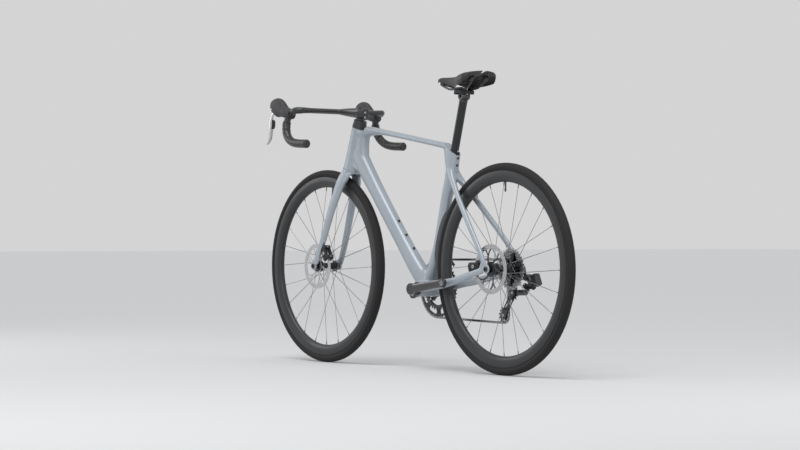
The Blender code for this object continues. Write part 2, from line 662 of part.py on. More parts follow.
def frame_cutters():
    cutters = []

    def cutter(name, shape):
        bm = bmesh.new()
        shape(bm)
        cutters.append(add_cutter(f"frame_{name}_cut", bm))

    low = steer_point(HEAD_TUBE_LOW_Z)
    top = steer_point(HEAD_TUBE_TOP_Z)
    seat_low = seat_point(SEAT_TUBE_CUT_Z - POST_BORE_DEPTH)
    cut_low = seat_point(SEAT_TUBE_CUT_Z)
    cut_axis = Vector((-math.sin(SEAT_CUT_SLOPE), 0.0, math.cos(SEAT_CUT_SLOPE)))
    cutter("head_bore", lambda bm: rod(bm, low - STEER_DIR * 0.02, top + STEER_DIR * 0.02,
                                       STEERER_RADIUS + 0.0027, 16))
    cutter("lower_seat", lambda bm: rod(bm, low - STEER_DIR * 0.02, low + STEER_DIR * BEARING_HEIGHT,
                                        BEARING_RADIUS_LOWER + FIT_GAP, 16))
    cutter("upper_seat", lambda bm: rod(bm, top - STEER_DIR * BEARING_HEIGHT, top + STEER_DIR * 0.02,
                                        BEARING_RADIUS_UPPER + FIT_GAP, 16))
    cutter("head_face_low", lambda bm: slanted_box(bm, low, -STEER_DIR, 0.12, 0.06))
    cutter("head_face_top", lambda bm: slanted_box(bm, top, STEER_DIR, 0.12, 0.06))
    cutter("post_bore", lambda bm: rod(bm, seat_low, seat_low + SEAT_DIR * 0.25,
                                       SEATPOST_RADIUS + FIT_GAP, 16))
    cutter("wedge_pocket", wedge_pocket_shape)
    cutter("seat_cut", lambda bm: slanted_box(bm, cut_low, cut_axis, 0.08, 0.06))
    cutter("bb_bore", lambda bm: turned_solid(bm, BOTTOM_BRACKET, [(BB_CUP_RADIUS + FIT_GAP, -0.06),
                                                                   (BB_CUP_RADIUS + FIT_GAP, 0.06)], 20))
    cutter("rear_axle_bore", lambda bm: turned_solid(bm, REAR_AXLE, [(THRU_AXLE_RADIUS + FIT_GAP, -0.1),
                                                                     (THRU_AXLE_RADIUS + FIT_GAP, 0.1)], 16))
    cutter("tyre_clearance", tyre_clearance_shape)
    cutter("caliper_mount", caliper_mount_cut)
    return cutters


def wedge_pocket_shape(bm):
    """Slot behind the post that holds the clamp wedge."""
    centre = seat_point(SEAT_TUBE_CUT_Z - 0.012) - SEAT_NORMAL * (SEATPOST_RADIUS + WEDGE_DEPTH / 2)
    turn = Matrix.Rotation(SEAT_ANGLE - math.pi / 2, 3, "Y").inverted()
    block(bm, centre, (WEDGE_DEPTH + 0.002, WEDGE_WIDTH + 2 * FIT_GAP, 0.060), turn)


def tyre_clearance_shape(bm):
    """Room that the rear tyre needs inside the seat tube and the chainstays."""
    reach = TYRE_RADIUS + TYRE_CLEARANCE
    half = TYRE_HALF_WIDTH + TYRE_CLEARANCE
    turned_solid(bm, REAR_AXLE, [(reach - 0.004, -half), (reach, -half + 0.006),
                                 (reach, half - 0.006), (reach - 0.004, half)], 30)


def caliper_mount_cut(bm):
    """Flat on top of the left chainstay where the rear caliper sits."""
    place, turn = rear_caliper_place()
    block(bm, place + turn @ Vector((0.0, 0.0, 0.02)), (CALIPER_LENGTH + 0.004, 0.040, 0.04), turn)


def rear_caliper_place():
    """Middle of the flat on the left chainstay, and the turn of that flat."""
    turn = Matrix.Rotation(-REAR_CALIPER_SLOPE, 3, "Y")
    return Vector((REAR_CALIPER_X, CALIPER_Y_REAR, REAR_CALIPER_Z)), turn


def front_caliper_place():
    """Place of the front caliper over the disc's edge, behind the left fork leg, and its turn."""
    turn = Matrix.Rotation(-FRONT_CALIPER_SLOPE, 3, "Y")
    offset = turn @ Vector((FRONT_CALIPER_SHIFT, CALIPER_Y_FRONT, CALIPER_INNER_RADIUS))
    return FRONT_AXLE + offset, turn


def fork_flat_place():
    """Middle of the flat behind the left fork leg, and the turn of that flat."""
    turn = Matrix.Rotation(-FORK_FLAT_SLOPE, 3, "Y")
    return Vector((FORK_FLAT_X, CALIPER_Y_FRONT, FORK_FLAT_Z)), turn


# Seat clamp, calipers and fork
SEAT_CUT_ABOVE_TYRE = 0.0441
SEAT_TUBE_CUT_Z = 2 * TYRE_RADIUS + SEAT_CUT_ABOVE_TYRE
POST_BORE_DEPTH = 0.1255
POST_INSERTION = 0.0935
SEAT_CUT_SLOPE = math.radians(35.0)
WEDGE_DEPTH = 0.0080
WEDGE_WIDTH = 0.0150
TYRE_CLEARANCE = 0.0065
BEARING_HEIGHT = 0.0070
CALIPER_LENGTH = 0.0560
CALIPER_HEIGHT = 0.0300
CALIPER_WIDTH = 0.0320
CALIPER_SLOT = 0.0110
ROTOR_CLEARANCE = 0.0015
CALIPER_Y_FRONT = FRONT_ROTOR_Y
CALIPER_Y_REAR = REAR_ROTOR_Y
REAR_CALIPER_X = REAR_AXLE.x + 0.0705
REAR_CALIPER_Z = REAR_AXLE.z - 0.0050
REAR_CALIPER_SLOPE = math.radians(-11.0)
FRONT_CALIPER_SLOPE = math.radians(60.0)
CALIPER_INNER_RADIUS = 0.0600
FRONT_CALIPER_SHIFT = 0.0100
FORK_FLAT_X = FRONT_AXLE.x - 0.0438
FORK_FLAT_Z = FRONT_AXLE.z + 0.0580
FORK_FLAT_SLOPE = math.radians(116.0)


def fork_leg_shape(bm, side):
    """Bladed leg from the crown to the axle, spreading towards the dropout."""
    knots = [spanned(FRONT_AXLE, FRONT_TYRE_TOP, 0.937, -0.1500, side * 0.0180, 0.0001), spanned(FRONT_AXLE, FRONT_TYRE_TOP, 0.864, -0.1535, side * 0.0330, -0.0001),
             spanned(FRONT_AXLE, FRONT_TYRE_TOP, 0.717, -0.1325, side * 0.0400, 0.0), spanned(FRONT_AXLE, FRONT_TYRE_TOP, 0.456, -0.0825, side * 0.0450, -0.0001),
             spanned(FRONT_AXLE, FRONT_TYRE_TOP, 0.198, -0.0325, side * 0.0500, -0.0002), spanned(FRONT_AXLE, FRONT_TYRE_TOP, 0.045, -0.0085, side * 0.0535, 0.0)]
    radii = [(0.0150, 0.0240), (0.0100, 0.0270), (0.0088, 0.0255), (0.0076, 0.0205), (0.0066, 0.0155),
             (0.0048, 0.0140)]
    tube_along(bm, knots, radii, 8, 2.4)


def fork_end_shape(bm, side):
    """Flat fork end round the axle."""
    inner = side * (FRONT_DROPOUT_WIDTH / 2)
    outer = side * (FRONT_DROPOUT_WIDTH / 2 + DROPOUT_THICKNESS)
    outline = [polar(FRONT_AXLE, 0.0140, math.radians(a)) for a in range(170, 371, 40)]
    outline += [(FRONT_AXLE.x + 0.0020, TYRE_RADIUS + 0.024), (FRONT_AXLE.x - 0.0240, TYRE_RADIUS + 0.014)]
    slab(bm, outline, min(inner, outer), max(inner, outer))


def build_fork(pivot):
    """Fork with its steerer: crown under the head tube, two legs and two flat ends."""
    low = steer_point(HEAD_TUBE_LOW_Z) - STEER_DIR * FIT_GAP
    bm = bmesh.new()
    rod(bm, low - STEER_DIR * 0.030, steer_point(STEERER_TOP_Z), STEERER_RADIUS, 16)
    fork = add_part("fork", bm, "frame_paint", pivot, sharp_angle=35.0)
    guides = []
    crown = bmesh.new()
    back = STEER_NORMAL * -0.004
    skin(crown, [oval(low + back, STEER_DIR * -1.0, 0.0285, 0.0325, 12, 2.2),
                 oval(low + back - STEER_DIR * 0.018, STEER_DIR * -1.0, 0.0330, 0.0330, 12, 2.4),
                 oval(low + back - STEER_DIR * 0.036, STEER_DIR * -1.0, 0.0410, 0.0285, 12, 2.8)])
    guides.append(add_cutter("fork_crown_guide", crown))
    for label, side in (("left", 1), ("right", -1)):
        for name, shape in (("leg", fork_leg_shape), ("end", fork_end_shape)):
            bm = bmesh.new()
            shape(bm, side)
            guides.append(add_cutter(f"fork_{name}_{label}_guide", bm))
    cuts = []
    bore = bmesh.new()
    turned_solid(bore, FRONT_AXLE, [(THRU_AXLE_RADIUS + FIT_GAP, -0.1), (THRU_AXLE_RADIUS + FIT_GAP, 0.1)], 16)
    cuts.append(add_cutter("fork_axle_bore_cut", bore))
    tyre = bmesh.new()
    reach = TYRE_RADIUS + TYRE_CLEARANCE
    half = TYRE_HALF_WIDTH + TYRE_CLEARANCE
    turned_solid(tyre, FRONT_AXLE, [(reach - 0.006, -half), (reach, -half + 0.008),
                                    (reach, half - 0.008), (reach - 0.006, half)], 30)
    cuts.append(add_cutter("fork_tyre_clearance_cut", tyre))
    flat = bmesh.new()
    place, turn = fork_flat_place()
    block(flat, place + turn @ Vector((0.0, 0.0, 0.02)), (CALIPER_LENGTH + 0.004, 0.040, 0.04), turn)
    cuts.append(add_cutter("fork_caliper_flat_cut", flat))
    for guide in guides + cuts:
        seat_under(guide, pivot)
    combine(fork, guides, "UNION")
    combine(fork, cuts, "DIFFERENCE")
    return fork


def build_caliper(name, place, turn, parent):
    """Flat-mount caliper: a block with rounded edges and a slot for the disc and pads."""
    bm = bmesh.new()
    half = CALIPER_WIDTH / 2
    slot = CALIPER_SLOT / 2
    base = FIT_GAP
    top = CALIPER_HEIGHT
    bridge = 0.0075
    outline = [(-half + 0.004, base), (-slot, base), (-slot, top - bridge), (slot, top - bridge),
               (slot, base), (half - 0.004, base), (half, 0.006), (half - 0.002, top - 0.008),
               (half - 0.009, top), (-half + 0.009, top), (-half + 0.002, top - 0.008), (-half, 0.006)]
    ends = []
    for along, shrink in ((-0.5, 0.86), (-0.40, 1.0), (0.40, 1.0), (0.5, 0.86)):
        ring = []
        for y, z in outline:
            high = z if z <= base else base + (z - base) * shrink
            ring.append(place + turn @ Vector((along * CALIPER_LENGTH, y, high)))
        ends.append(ring)
    skin(bm, ends)
    return add_part(name, bm, "black_alloy", parent)


def seat_front_caliper(caliper, pivot):
    """Face of the front caliper that lies on the flat of the fork leg."""
    place, turn = fork_flat_place()
    bm = bmesh.new()
    block(bm, place + turn @ Vector((0.0, 0.0, FIT_GAP - 0.02)), (2 * CALIPER_LENGTH, 2 * CALIPER_WIDTH, 0.04), turn)
    cutter = add_cutter("front_caliper_flat_cut", bm)
    seat_under(cutter, pivot)
    combine(caliper, [cutter], "DIFFERENCE")


def open_rear_caliper(caliper):
    """Free the end of the rear caliper that the disc's edge passes through."""
    reach = ROTOR_RADIUS + ROTOR_CLEARANCE
    bm = bmesh.new()
    turned_solid(bm, REAR_AXLE, [(reach, REAR_ROTOR_Y - CALIPER_SLOT / 2), (reach, REAR_ROTOR_Y + CALIPER_SLOT / 2)], 36)
    combine(caliper, [add_cutter("rear_caliper_disc_cut", bm)], "DIFFERENCE")


def build_pad(name, place, turn, side, pivot):
    """Brake pad beside the disc, standing in the caliper's slot."""
    bm = bmesh.new()
    low = ROTOR_THICKNESS / 2 + RUN_GAP
    centre = Vector((0.0, side * (low + PAD_THICKNESS / 2), 0.0125))
    block(bm, place + turn @ centre, (0.0240, PAD_THICKNESS, 0.0150), turn)
    return add_part(name, bm, "pad_compound", pivot)


def build_headset(pivot):
    """Bearings in the frame, and the cover that turns with the steerer."""
    low = steer_point(HEAD_TUBE_LOW_Z)
    top = steer_point(HEAD_TUBE_TOP_Z)
    for name, start, radius in (("headset_bearing_lower", low + STEER_DIR * FIT_GAP, BEARING_RADIUS_LOWER),
                                ("headset_bearing_upper", top - STEER_DIR * (BEARING_HEIGHT - FIT_GAP),
                                 BEARING_RADIUS_UPPER)):
        bm = bmesh.new()
        end = start + STEER_DIR * (BEARING_HEIGHT - 2 * FIT_GAP)
        ring_solid(bm, start, end, STEERER_RADIUS + FIT_GAP, radius, 16)
        add_part(name, bm, "bright_steel")
    bm = bmesh.new()
    start = top + STEER_DIR * RUN_GAP
    back = STEER_NORMAL * -0.004
    rings = []
    for rise, side, deep in ((0.0, 0.0235, 0.0265), (0.006, 0.0225, 0.0255), (HEADSET_COVER_HEIGHT, 0.0205, 0.0235)):
        rings.append((start + STEER_DIR * rise, side, deep))
    outer = [oval(place + back, STEER_DIR, side, deep, 16, 2.2) for place, side, deep in rings]
    inner = [oval(place, STEER_DIR, STEERER_RADIUS + FIT_GAP, STEERER_RADIUS + FIT_GAP, 16)
             for place, side, deep in (rings[-1], rings[0])]
    bridge_ring(bm, outer + inner)
    add_part("headset_cover", bm, "dark_plastic", pivot)


HEADSET_COVER_HEIGHT = 0.0260


def bridge_ring(bm, rings):
    """Closed tube wall: the rings run up the outside and back down the inside."""
    skin(bm, rings, closed=True)


def ring_solid(bm, start, end, inner, outer, sides):
    """Round sleeve between two points."""
    axis = end - start
    bridge_ring(bm, [oval(start, axis, outer, outer, sides), oval(end, axis, outer, outer, sides),
                     oval(end, axis, inner, inner, sides), oval(start, axis, inner, inner, sides)])


# Bar, levers and tape
BAR_X = FRONT_AXLE.x - 0.0945
BAR_Z = HEAD_TUBE_TOP_Z + 0.0600
STEERER_TOP_Z = BAR_Z
BAR_HALF = 0.1850
BAR_TOP_DEPTH = 0.0190
BAR_TOP_HEIGHT = 0.0095
BAR_TUBE_RADIUS = 0.0118
DROP_END_Y = BAR_HALF + 0.0220
TAPE_WALL = 0.0032
TAPE_RIDGE = 0.0011
TAPE_TURN = 0.0210


def bar_knots(side):
    """Centre line of one side of the bar, from the flat top round the bend to the drop's end."""
    return [Vector((BAR_X, side * (BAR_HALF - 0.0400), BAR_Z)), Vector((BAR_X + 0.0035, side * (BAR_HALF - 0.0150), BAR_Z)),
            Vector((BAR_X + 0.0200, side * (BAR_HALF - 0.0010), BAR_Z - 0.0010)),
            Vector((BAR_X + 0.0420, side * BAR_HALF, BAR_Z - 0.0080)),
            Vector((BAR_X + 0.0590, side * (BAR_HALF + 0.0035), BAR_Z - 0.0260)),
            Vector((BAR_X + 0.0630, side * (BAR_HALF + 0.0080), BAR_Z - 0.0530)),
            Vector((BAR_X + 0.0520, side * (BAR_HALF + 0.0130), BAR_Z - 0.0830)),
            Vector((BAR_X + 0.0250, side * (BAR_HALF + 0.0175), BAR_Z - 0.1050)),
            Vector((BAR_X - 0.0150, side * (BAR_HALF + 0.0205), BAR_Z - 0.1160)),
            Vector((BAR_X - 0.0800, side * DROP_END_Y, BAR_Z - 0.1200))]


def bar_radius(index):
    table = {0: (BAR_TOP_HEIGHT * 1.05, 0.0165), 1: (BAR_TOP_HEIGHT * 1.15, 0.0140)}
    return table.get(index, (BAR_TUBE_RADIUS, BAR_TUBE_RADIUS))


def drop_across(side):
    """Direction that the drop's centre line never runs along, to keep its rings from twisting."""
    return Vector((0.0, -side, 1.0))


def drop_path(side):
    """Smooth centre line of the drop, finer than its knots."""
    return smooth_path(bar_knots(side), PATH_STEPS)


def build_handlebar(pivot):
    """One-piece bar and stem: flat top, two drops and a stem that clamps the steerer."""
    bm = bmesh.new()
    stations = []
    for share in (-1.0, -0.62, -0.20, 0.20, 0.62, 1.0):
        sweep = 0.004 * (1.0 - share * share)
        depth = BAR_TOP_DEPTH - 0.0030 * share * share
        stations.append((Vector((BAR_X + sweep, share * (BAR_HALF - 0.0395), BAR_Z)), (depth, BAR_TOP_HEIGHT)))
    loft_stations(bm, stations, 10, 2.4, across=Vector((1.0, 0.0, 0.0)))
    bar = add_part("handlebar_stem", bm, "black_carbon", pivot)
    guides = []
    stem = bmesh.new()
    clamp = steer_point(STEM_Z)
    front = Vector((BAR_X + 0.002, 0.0, BAR_Z))
    rings = []
    for t, side, deep in ((-0.20, 0.0175, 0.0165), (0.0, 0.0205, 0.0195), (0.35, 0.0200, 0.0165),
                          (0.80, 0.0250, 0.0125), (1.0, 0.0330, 0.0095)):
        rings.append((clamp.lerp(front, t), (side, deep)))
    loft_stations(stem, rings, 10, 2.8)
    guides.append(add_cutter("stem_guide", stem))
    for label, side in (("left", 1), ("right", -1)):
        drop = bmesh.new()
        points = drop_path(side)
        radii = []
        for i in range(len(points)):
            low = bar_radius(i // PATH_STEPS)
            high = bar_radius(min(i // PATH_STEPS + 1, len(bar_knots(side)) - 1))
            t = (i % PATH_STEPS) / PATH_STEPS
            radii.append((low[0] + (high[0] - low[0]) * t, low[1] + (high[1] - low[1]) * t))
        tube_along(drop, points, radii, 8, 2.0, across=drop_across(side))
        guides.append(add_cutter(f"drop_{label}_guide", drop))
    bore = bmesh.new()
    rod(bore, clamp - STEER_DIR * 0.05, clamp + STEER_DIR * 0.05, STEERER_RADIUS + FIT_GAP, 16)
    cuts = [add_cutter("steerer_bore_cut", bore)]
    face = bmesh.new()
    cover_top = steer_point(HEAD_TUBE_TOP_Z) + STEER_DIR * (RUN_GAP + HEADSET_COVER_HEIGHT + FIT_GAP)
    slanted_box(face, cover_top, -STEER_DIR, 0.05, 0.05)
    cuts.append(add_cutter("stem_face_cut", face))
    for guide in guides + cuts:
        seat_under(guide, pivot)
    combine(bar, guides, "UNION")
    combine(bar, cuts, "DIFFERENCE")


STEM_Z = BAR_Z - 0.0100
PATH_STEPS = 2
TAPE_START = 9


def drop_rings(side):
    """Centre and direction of each ring of the drop's tube."""
    path = drop_path(side)
    rings = []
    for i, point in enumerate(path):
        rings.append((point, path[min(i + 1, len(path) - 1)] - path[max(i - 1, 0)]))
    return rings


def build_tape(name, side, pivot):
    """Wound tape: a sleeve with one ridge for each turn, from under the hood to the drop's end."""
    rings = drop_rings(side)[TAPE_START:]
    across = drop_across(side)
    outer = []
    crest = BAR_TUBE_RADIUS + TAPE_WALL
    for (place, tangent), (next_place, next_tangent) in zip(rings, rings[1:]):
        turns = max(1, round((next_place - place).length / TAPE_TURN))
        for k in range(turns):
            for rise, radius in ((0.0, crest - TAPE_RIDGE), (0.16, crest)):
                share = (k + rise) / turns
                outer.append(oval(place.lerp(next_place, share), tangent.lerp(next_tangent, share),
                                  radius, radius, 8, across=across))
    place, tangent = rings[-1]
    outer.append(oval(place, tangent, crest, crest, 8, across=across))
    bore = BAR_TUBE_RADIUS + 2 * FIT_GAP
    inner = [oval(place, tangent, bore, bore, 8, across=across) for place, tangent in reversed(rings)]
    bm = bmesh.new()
    skin(bm, outer + inner, closed=True, diagonal=-1)
    add_part(name, bm, "tape", pivot, sharp_angle=60.0)


def build_bar_plug(name, side, pivot):
    end = drop_path(side)
    axis = (end[-1] - end[-2]).normalized()
    bm = bmesh.new()
    start = end[-1] + axis * FIT_GAP
    rings = [oval(start + axis * reach, axis, radius, radius, 10, across=drop_across(side))
             for reach, radius in ((0.0, 0.0148), (0.0030, 0.0150), (0.0052, 0.0125), (0.0062, 0.0070))]
    skin(bm, rings)
    add_part(name, bm, "dark_plastic", pivot)


# Brake levers
HOOD_Y = BAR_HALF
LEVER_PIVOT = (BAR_X + 0.1530, BAR_Z + 0.0090)
LEVER_LUG_RADIUS = 0.0060
LEVER_LUG_HALF = 0.0026
PADDLE_HINGE = (BAR_X + 0.1595, 0.0045)
PADDLE_TOP_Z = BAR_Z - 0.0280
PADDLE_LEAN = 0.14
BAR_PLACE = Vector((BAR_X, 0.0, BAR_Z))


def build_hood(name, side, pivot):
    """Rubber-covered lever body that grips the bend of the bar and rises to a tall knob."""
    y = side * HOOD_Y
    bm = bmesh.new()
    loft_stations(bm, [station(BAR_PLACE, 0.0410, -0.0140, 0.0190, 0.0175, y), station(BAR_PLACE, 0.0690, -0.0080, 0.0195, 0.0185, y),
                       station(BAR_PLACE, 0.0950, 0.0030, 0.0168, 0.0245, y), station(BAR_PLACE, 0.1150, 0.0120, 0.0160, 0.0325, y),
                       station(BAR_PLACE, 0.1370, 0.0180, 0.0150, 0.0305, y), station(BAR_PLACE, 0.1570, 0.0210, 0.0125, 0.0215, y),
                       station(BAR_PLACE, 0.1670, 0.0220, 0.0070, 0.0120, y)], 8, 2.3)
    hood = add_part(name, bm, "hood_rubber", pivot)
    cuts = []
    tube = bmesh.new()
    snug = BAR_TUBE_RADIUS + FIT_GAP
    path = drop_path(side)
    radii = []
    for i in range(len(path)):
        radii.append((snug, max(snug, bar_radius(i // PATH_STEPS)[1] + 2 * FIT_GAP)))
    tube_along(tube, path, radii, 8, 2.0, across=drop_across(side))
    cuts.append(add_cutter(f"{name}_bar_cut", tube))
    slot = bmesh.new()
    centre = Vector((LEVER_PIVOT[0], y, LEVER_PIVOT[1]))
    half = LEVER_LUG_HALF + FIT_GAP
    room = LEVER_LUG_RADIUS + 2 * FIT_GAP
    turned_solid(slot, centre, [(room, y - half), (room, y + half)], 16)
    cuts.append(add_cutter(f"{name}_slot_cut", slot))
    mouth = bmesh.new()
    block(mouth, centre + Vector((0.0045, 0.0, -0.0120)), (0.0240, 2 * half, 0.0240))
    cuts.append(add_cutter(f"{name}_mouth_cut", mouth))
    for cut in cuts:
        seat_under(cut, pivot)
    combine(hood, cuts, "DIFFERENCE")


def build_lever(name, side, pivot):
    """Lever blade, wider in its middle, with the lug that turns on the hood's pin."""
    y = side * HOOD_Y
    bm = bmesh.new()
    loft_stations(bm, [station(BAR_PLACE, 0.1610, -0.0070, LEVER_LUG_HALF, 0.0060, y), station(BAR_PLACE, 0.1670, -0.0200, 0.0042, 0.0062, y),
                       station(BAR_PLACE, 0.1720, -0.0440, 0.0062, 0.0085, y), station(BAR_PLACE, 0.1735, -0.0720, 0.0066, 0.0085, y),
                       station(BAR_PLACE, 0.1790, -0.0940, 0.0055, 0.0062, y), station(BAR_PLACE, 0.1910, -0.1080, 0.0040, 0.0045, y),
                       station(BAR_PLACE, 0.1990, -0.1130, 0.0025, 0.0028, y)], 10, 2.3)
    lever = add_part(name, bm, "silver_alloy", pivot)
    lug = bmesh.new()
    outline = [polar(Vector((LEVER_PIVOT[0], 0.0, LEVER_PIVOT[1])), LEVER_LUG_RADIUS, math.radians(a))
               for a in range(0, 211, 30)]
    outline += [(LEVER_PIVOT[0] + 0.0025, LEVER_PIVOT[1] - 0.0190), (LEVER_PIVOT[0] + 0.0140, LEVER_PIVOT[1] - 0.0190)]
    slab(lug, outline, y - LEVER_LUG_HALF, y + LEVER_LUG_HALF)
    guide = add_cutter(f"{name}_lug_guide", lug)
    seat_under(guide, pivot)
    combine(lever, [guide], "UNION")


def build_paddle(name, side, pivot):
    """Shift paddle just behind the lever blade."""
    y = side * HOOD_Y
    bm = bmesh.new()
    outline = []
    for fall, reach in ((0.0, 0.0050), (0.0080, 0.0095), (0.0230, 0.0100), (0.0320, 0.0060)):
        outline.append((fall, -reach))
    outline += [(0.0320, 0.0055), (0.0, 0.0055)]
    rings = []
    for x_shift in (-0.0028, 0.0):
        rings.append([Vector((PADDLE_HINGE[0] + x_shift + PADDLE_LEAN * fall, y + side * across, PADDLE_TOP_Z - fall))
                      for fall, across in outline])
    skin(bm, rings)
    add_part(name, bm, "dark_plastic", pivot)


# Chain and sprockets
CHAIN_HALF_WIDTH = 0.00245
CHAIN_INNER_HALF = 0.00140
CHAIN_PLATE_HALF = 0.0040
ROLLER_HALF = 0.0016
CASSETTE_ROLLER = 7
COG_CARRIER_RADIUS = 0.0152
COG_HALF_THICKNESS = 0.0008
PLAIN_COGS = 5
ROLLER_HEIGHT = 0.0020
GUIDE_PULLEY = (REAR_AXLE.x + 0.0145, REAR_AXLE.z - 0.0767)
PULLEY_SPACING = 0.0870
CAGE_ANGLE_GUESS = math.radians(-63.0)
RING_HOLE_RADIUS = 0.0560


def sprocket_radius(teeth):
    """Radius whose circle holds a whole number of link pitches."""
    return teeth * LINK_PITCH / math.tau


def cog_y(index):
    return SMALLEST_COG_Y + index * COG_SPACING


def tangent_run(start, end):
    """Straight run between two circles, each (x, z, radius, turn), as two points."""
    ax, az, ar, turn_a = start
    bx, bz, br, turn_b = end
    dx = bx - ax
    dz = bz - az
    span = math.hypot(dx, dz)
    k = turn_b * br - turn_a * ar
    run = math.sqrt(span * span - k * k)
    ux = (run * dx - k * dz) / span ** 2
    uz = (run * dz + k * dx) / span ** 2
    first = (ax - turn_a * ar * uz, az + turn_a * ar * ux)
    last = (bx - turn_b * br * uz, bz + turn_b * br * ux)
    return first, last


def chain_circles(cage_angle):
    """Circles that the chain runs round: engaged cog, large ring, tension and guide pulley."""
    pulley = sprocket_radius(PULLEY_TEETH)
    gx, gz = GUIDE_PULLEY
    tx = gx + PULLEY_SPACING * math.cos(cage_angle)
    tz = gz + PULLEY_SPACING * math.sin(cage_angle)
    return [(REAR_AXLE.x, REAR_AXLE.z, sprocket_radius(COG_TEETH[ENGAGED_COG]), 1),
            (BOTTOM_BRACKET.x, BOTTOM_BRACKET.z, sprocket_radius(LARGE_RING_TEETH), 1),
            (tx, tz, pulley, 1), (gx, gz, pulley, -1)]


def chain_course(cage_angle):
    """Runs and arcs in order: (kind, data, length) from the top run round to the engaged cog."""
    circles = chain_circles(cage_angle)
    runs = [tangent_run(circles[i], circles[(i + 1) % 4]) for i in range(4)]
    pieces = []
    for i in range(4):
        first, last = runs[i]
        pieces.append(("run", (first, last, i), math.dist(first, last)))
        circle = circles[(i + 1) % 4]
        leave = runs[(i + 1) % 4][0]
        a0 = math.atan2(last[1] - circle[1], last[0] - circle[0])
        a1 = math.atan2(leave[1] - circle[1], leave[0] - circle[0])
        sweep = (a0 - a1) % math.tau if circle[3] > 0 else (a1 - a0) % math.tau
        pieces.append(("arc", (circle, a0, i), sweep * circle[2]))
    return pieces


def course_length(cage_angle):
    return sum(length for _, _, length in chain_course(cage_angle))


def solve_cage_angle():
    """Cage angle at which the chain holds a whole, even number of links."""
    links = 2 * round(course_length(CAGE_ANGLE_GUESS) / (2 * LINK_PITCH))
    low = CAGE_ANGLE_GUESS - 0.35
    high = CAGE_ANGLE_GUESS + 0.35
    rising = course_length(high) > course_length(low)
    for _ in range(50):
        middle = (low + high) / 2
        if (course_length(middle) < links * LINK_PITCH) == rising:
            low = middle
        else:
            high = middle
    return (low + high) / 2, links


CAGE_ANGLE, CHAIN_LINKS = solve_cage_angle()
TENSION_PULLEY = (GUIDE_PULLEY[0] + PULLEY_SPACING * math.cos(CAGE_ANGLE),
                  GUIDE_PULLEY[1] + PULLEY_SPACING * math.sin(CAGE_ANGLE))
CHAIN_COURSE = chain_course(CAGE_ANGLE)
RUN_Y = ((cog_y(ENGAGED_COG), LARGE_RING_Y), (LARGE_RING_Y, cog_y(ENGAGED_COG)),
         (cog_y(ENGAGED_COG), cog_y(ENGAGED_COG)), (cog_y(ENGAGED_COG), cog_y(ENGAGED_COG)))


def on_course(distance):
    """Place and direction on the chain's pitch line, at a distance along it."""
    left = distance % (CHAIN_LINKS * LINK_PITCH)
    for kind, data, length in CHAIN_COURSE:
        if left > length:
            left -= length
            continue
        t = left / length
        if kind == "run":
            (x0, z0), (x1, z1), i = data
            y = RUN_Y[i][0] + (RUN_Y[i][1] - RUN_Y[i][0]) * t
            return Vector((x0 + (x1 - x0) * t, y, z0 + (z1 - z0) * t)), Vector((x1 - x0, 0.0, z1 - z0)).normalized()
        circle, a0, i = data
        angle = a0 - circle[3] * left / circle[2]
        normal = Vector((math.cos(angle), 0.0, math.sin(angle)))
        place = Vector((circle[0], RUN_Y[i][1], circle[1])) + normal * circle[2]
        return place, Vector((normal.z, 0.0, -normal.x)) * circle[3]
    return on_course(0.0)


def roller_angle(arc_index):
    """Angle of the first roller that lies on an arc of the course."""
    start = sum(length for _, _, length in CHAIN_COURSE[:arc_index])
    circle, a0, _ = CHAIN_COURSE[arc_index][1]
    first = math.ceil(start / LINK_PITCH) * LINK_PITCH
    return a0 - circle[3] * (first - start) / circle[2]


def near_sprocket(place):
    """Whether teeth can reach the chain at a place on its course."""
    wrapped = ((BOTTOM_BRACKET.x, BOTTOM_BRACKET.z, LARGE_RING_TEETH),
               (REAR_AXLE.x, REAR_AXLE.z, COG_TEETH[ENGAGED_COG]),
               (*GUIDE_PULLEY, PULLEY_TEETH), (*TENSION_PULLEY, PULLEY_TEETH))
    for x, z, teeth in wrapped:
        reach = sprocket_radius(teeth) + TOOTH_ABOVE_PITCH + CHAIN_PLATE_HALF + LINK_PITCH / 2
        if math.hypot(place.x - x, place.z - z) < reach:
            return True
    return False


def chain_ring(bm, distance, half_width, open_inside):
    """Corners of the chain's section: outer ones, and inner ones beside a window."""
    place, heading = on_course(distance)
    rise = Vector((-heading.z, 0.0, heading.x))
    corners = {}
    for side in (-1, 1):
        for level in (-1, 1):
            corners[side, level] = bm.verts.new(place + Y_AXIS * (side * half_width)
                                                + rise * (level * CHAIN_PLATE_HALF))
            if open_inside:
                corners[side, level, "in"] = bm.verts.new(place + Y_AXIS * (side * CHAIN_INNER_HALF)
                                                          + rise * (level * ROLLER_HEIGHT))
    return corners


def chain_link(bm, low, high, window):
    """Faces between two sections of the chain, with a window for a tooth or without."""
    for side in (-1, 1):
        bm.faces.new((low[side, -1], low[side, 1], high[side, 1], high[side, -1]))
        if window:
            bm.faces.new((low[side, -1, "in"], low[side, 1, "in"], high[side, 1, "in"], high[side, -1, "in"]))
    for level in (-1, 1):
        inner = [ring for ring in (low, high) if (1, level, "in") in ring]
        if len(inner) == 2:
            for side in (-1, 1):
                bm.faces.new((low[side, level], low[side, level, "in"], high[side, level, "in"],
                              high[side, level]))
            if not window:
                bm.faces.new((low[-1, level, "in"], low[1, level, "in"], high[1, level, "in"],
                              high[-1, level, "in"]))
            continue
        face = []
        for ring, sides in ((low, (-1, 1)), (high, (1, -1))):
            face.append(ring[sides[0], level])
            if ring in inner:
                face += [ring[sides[0], level, "in"], ring[sides[1], level, "in"]]
            face.append(ring[sides[1], level])
        bm.faces.new(face)


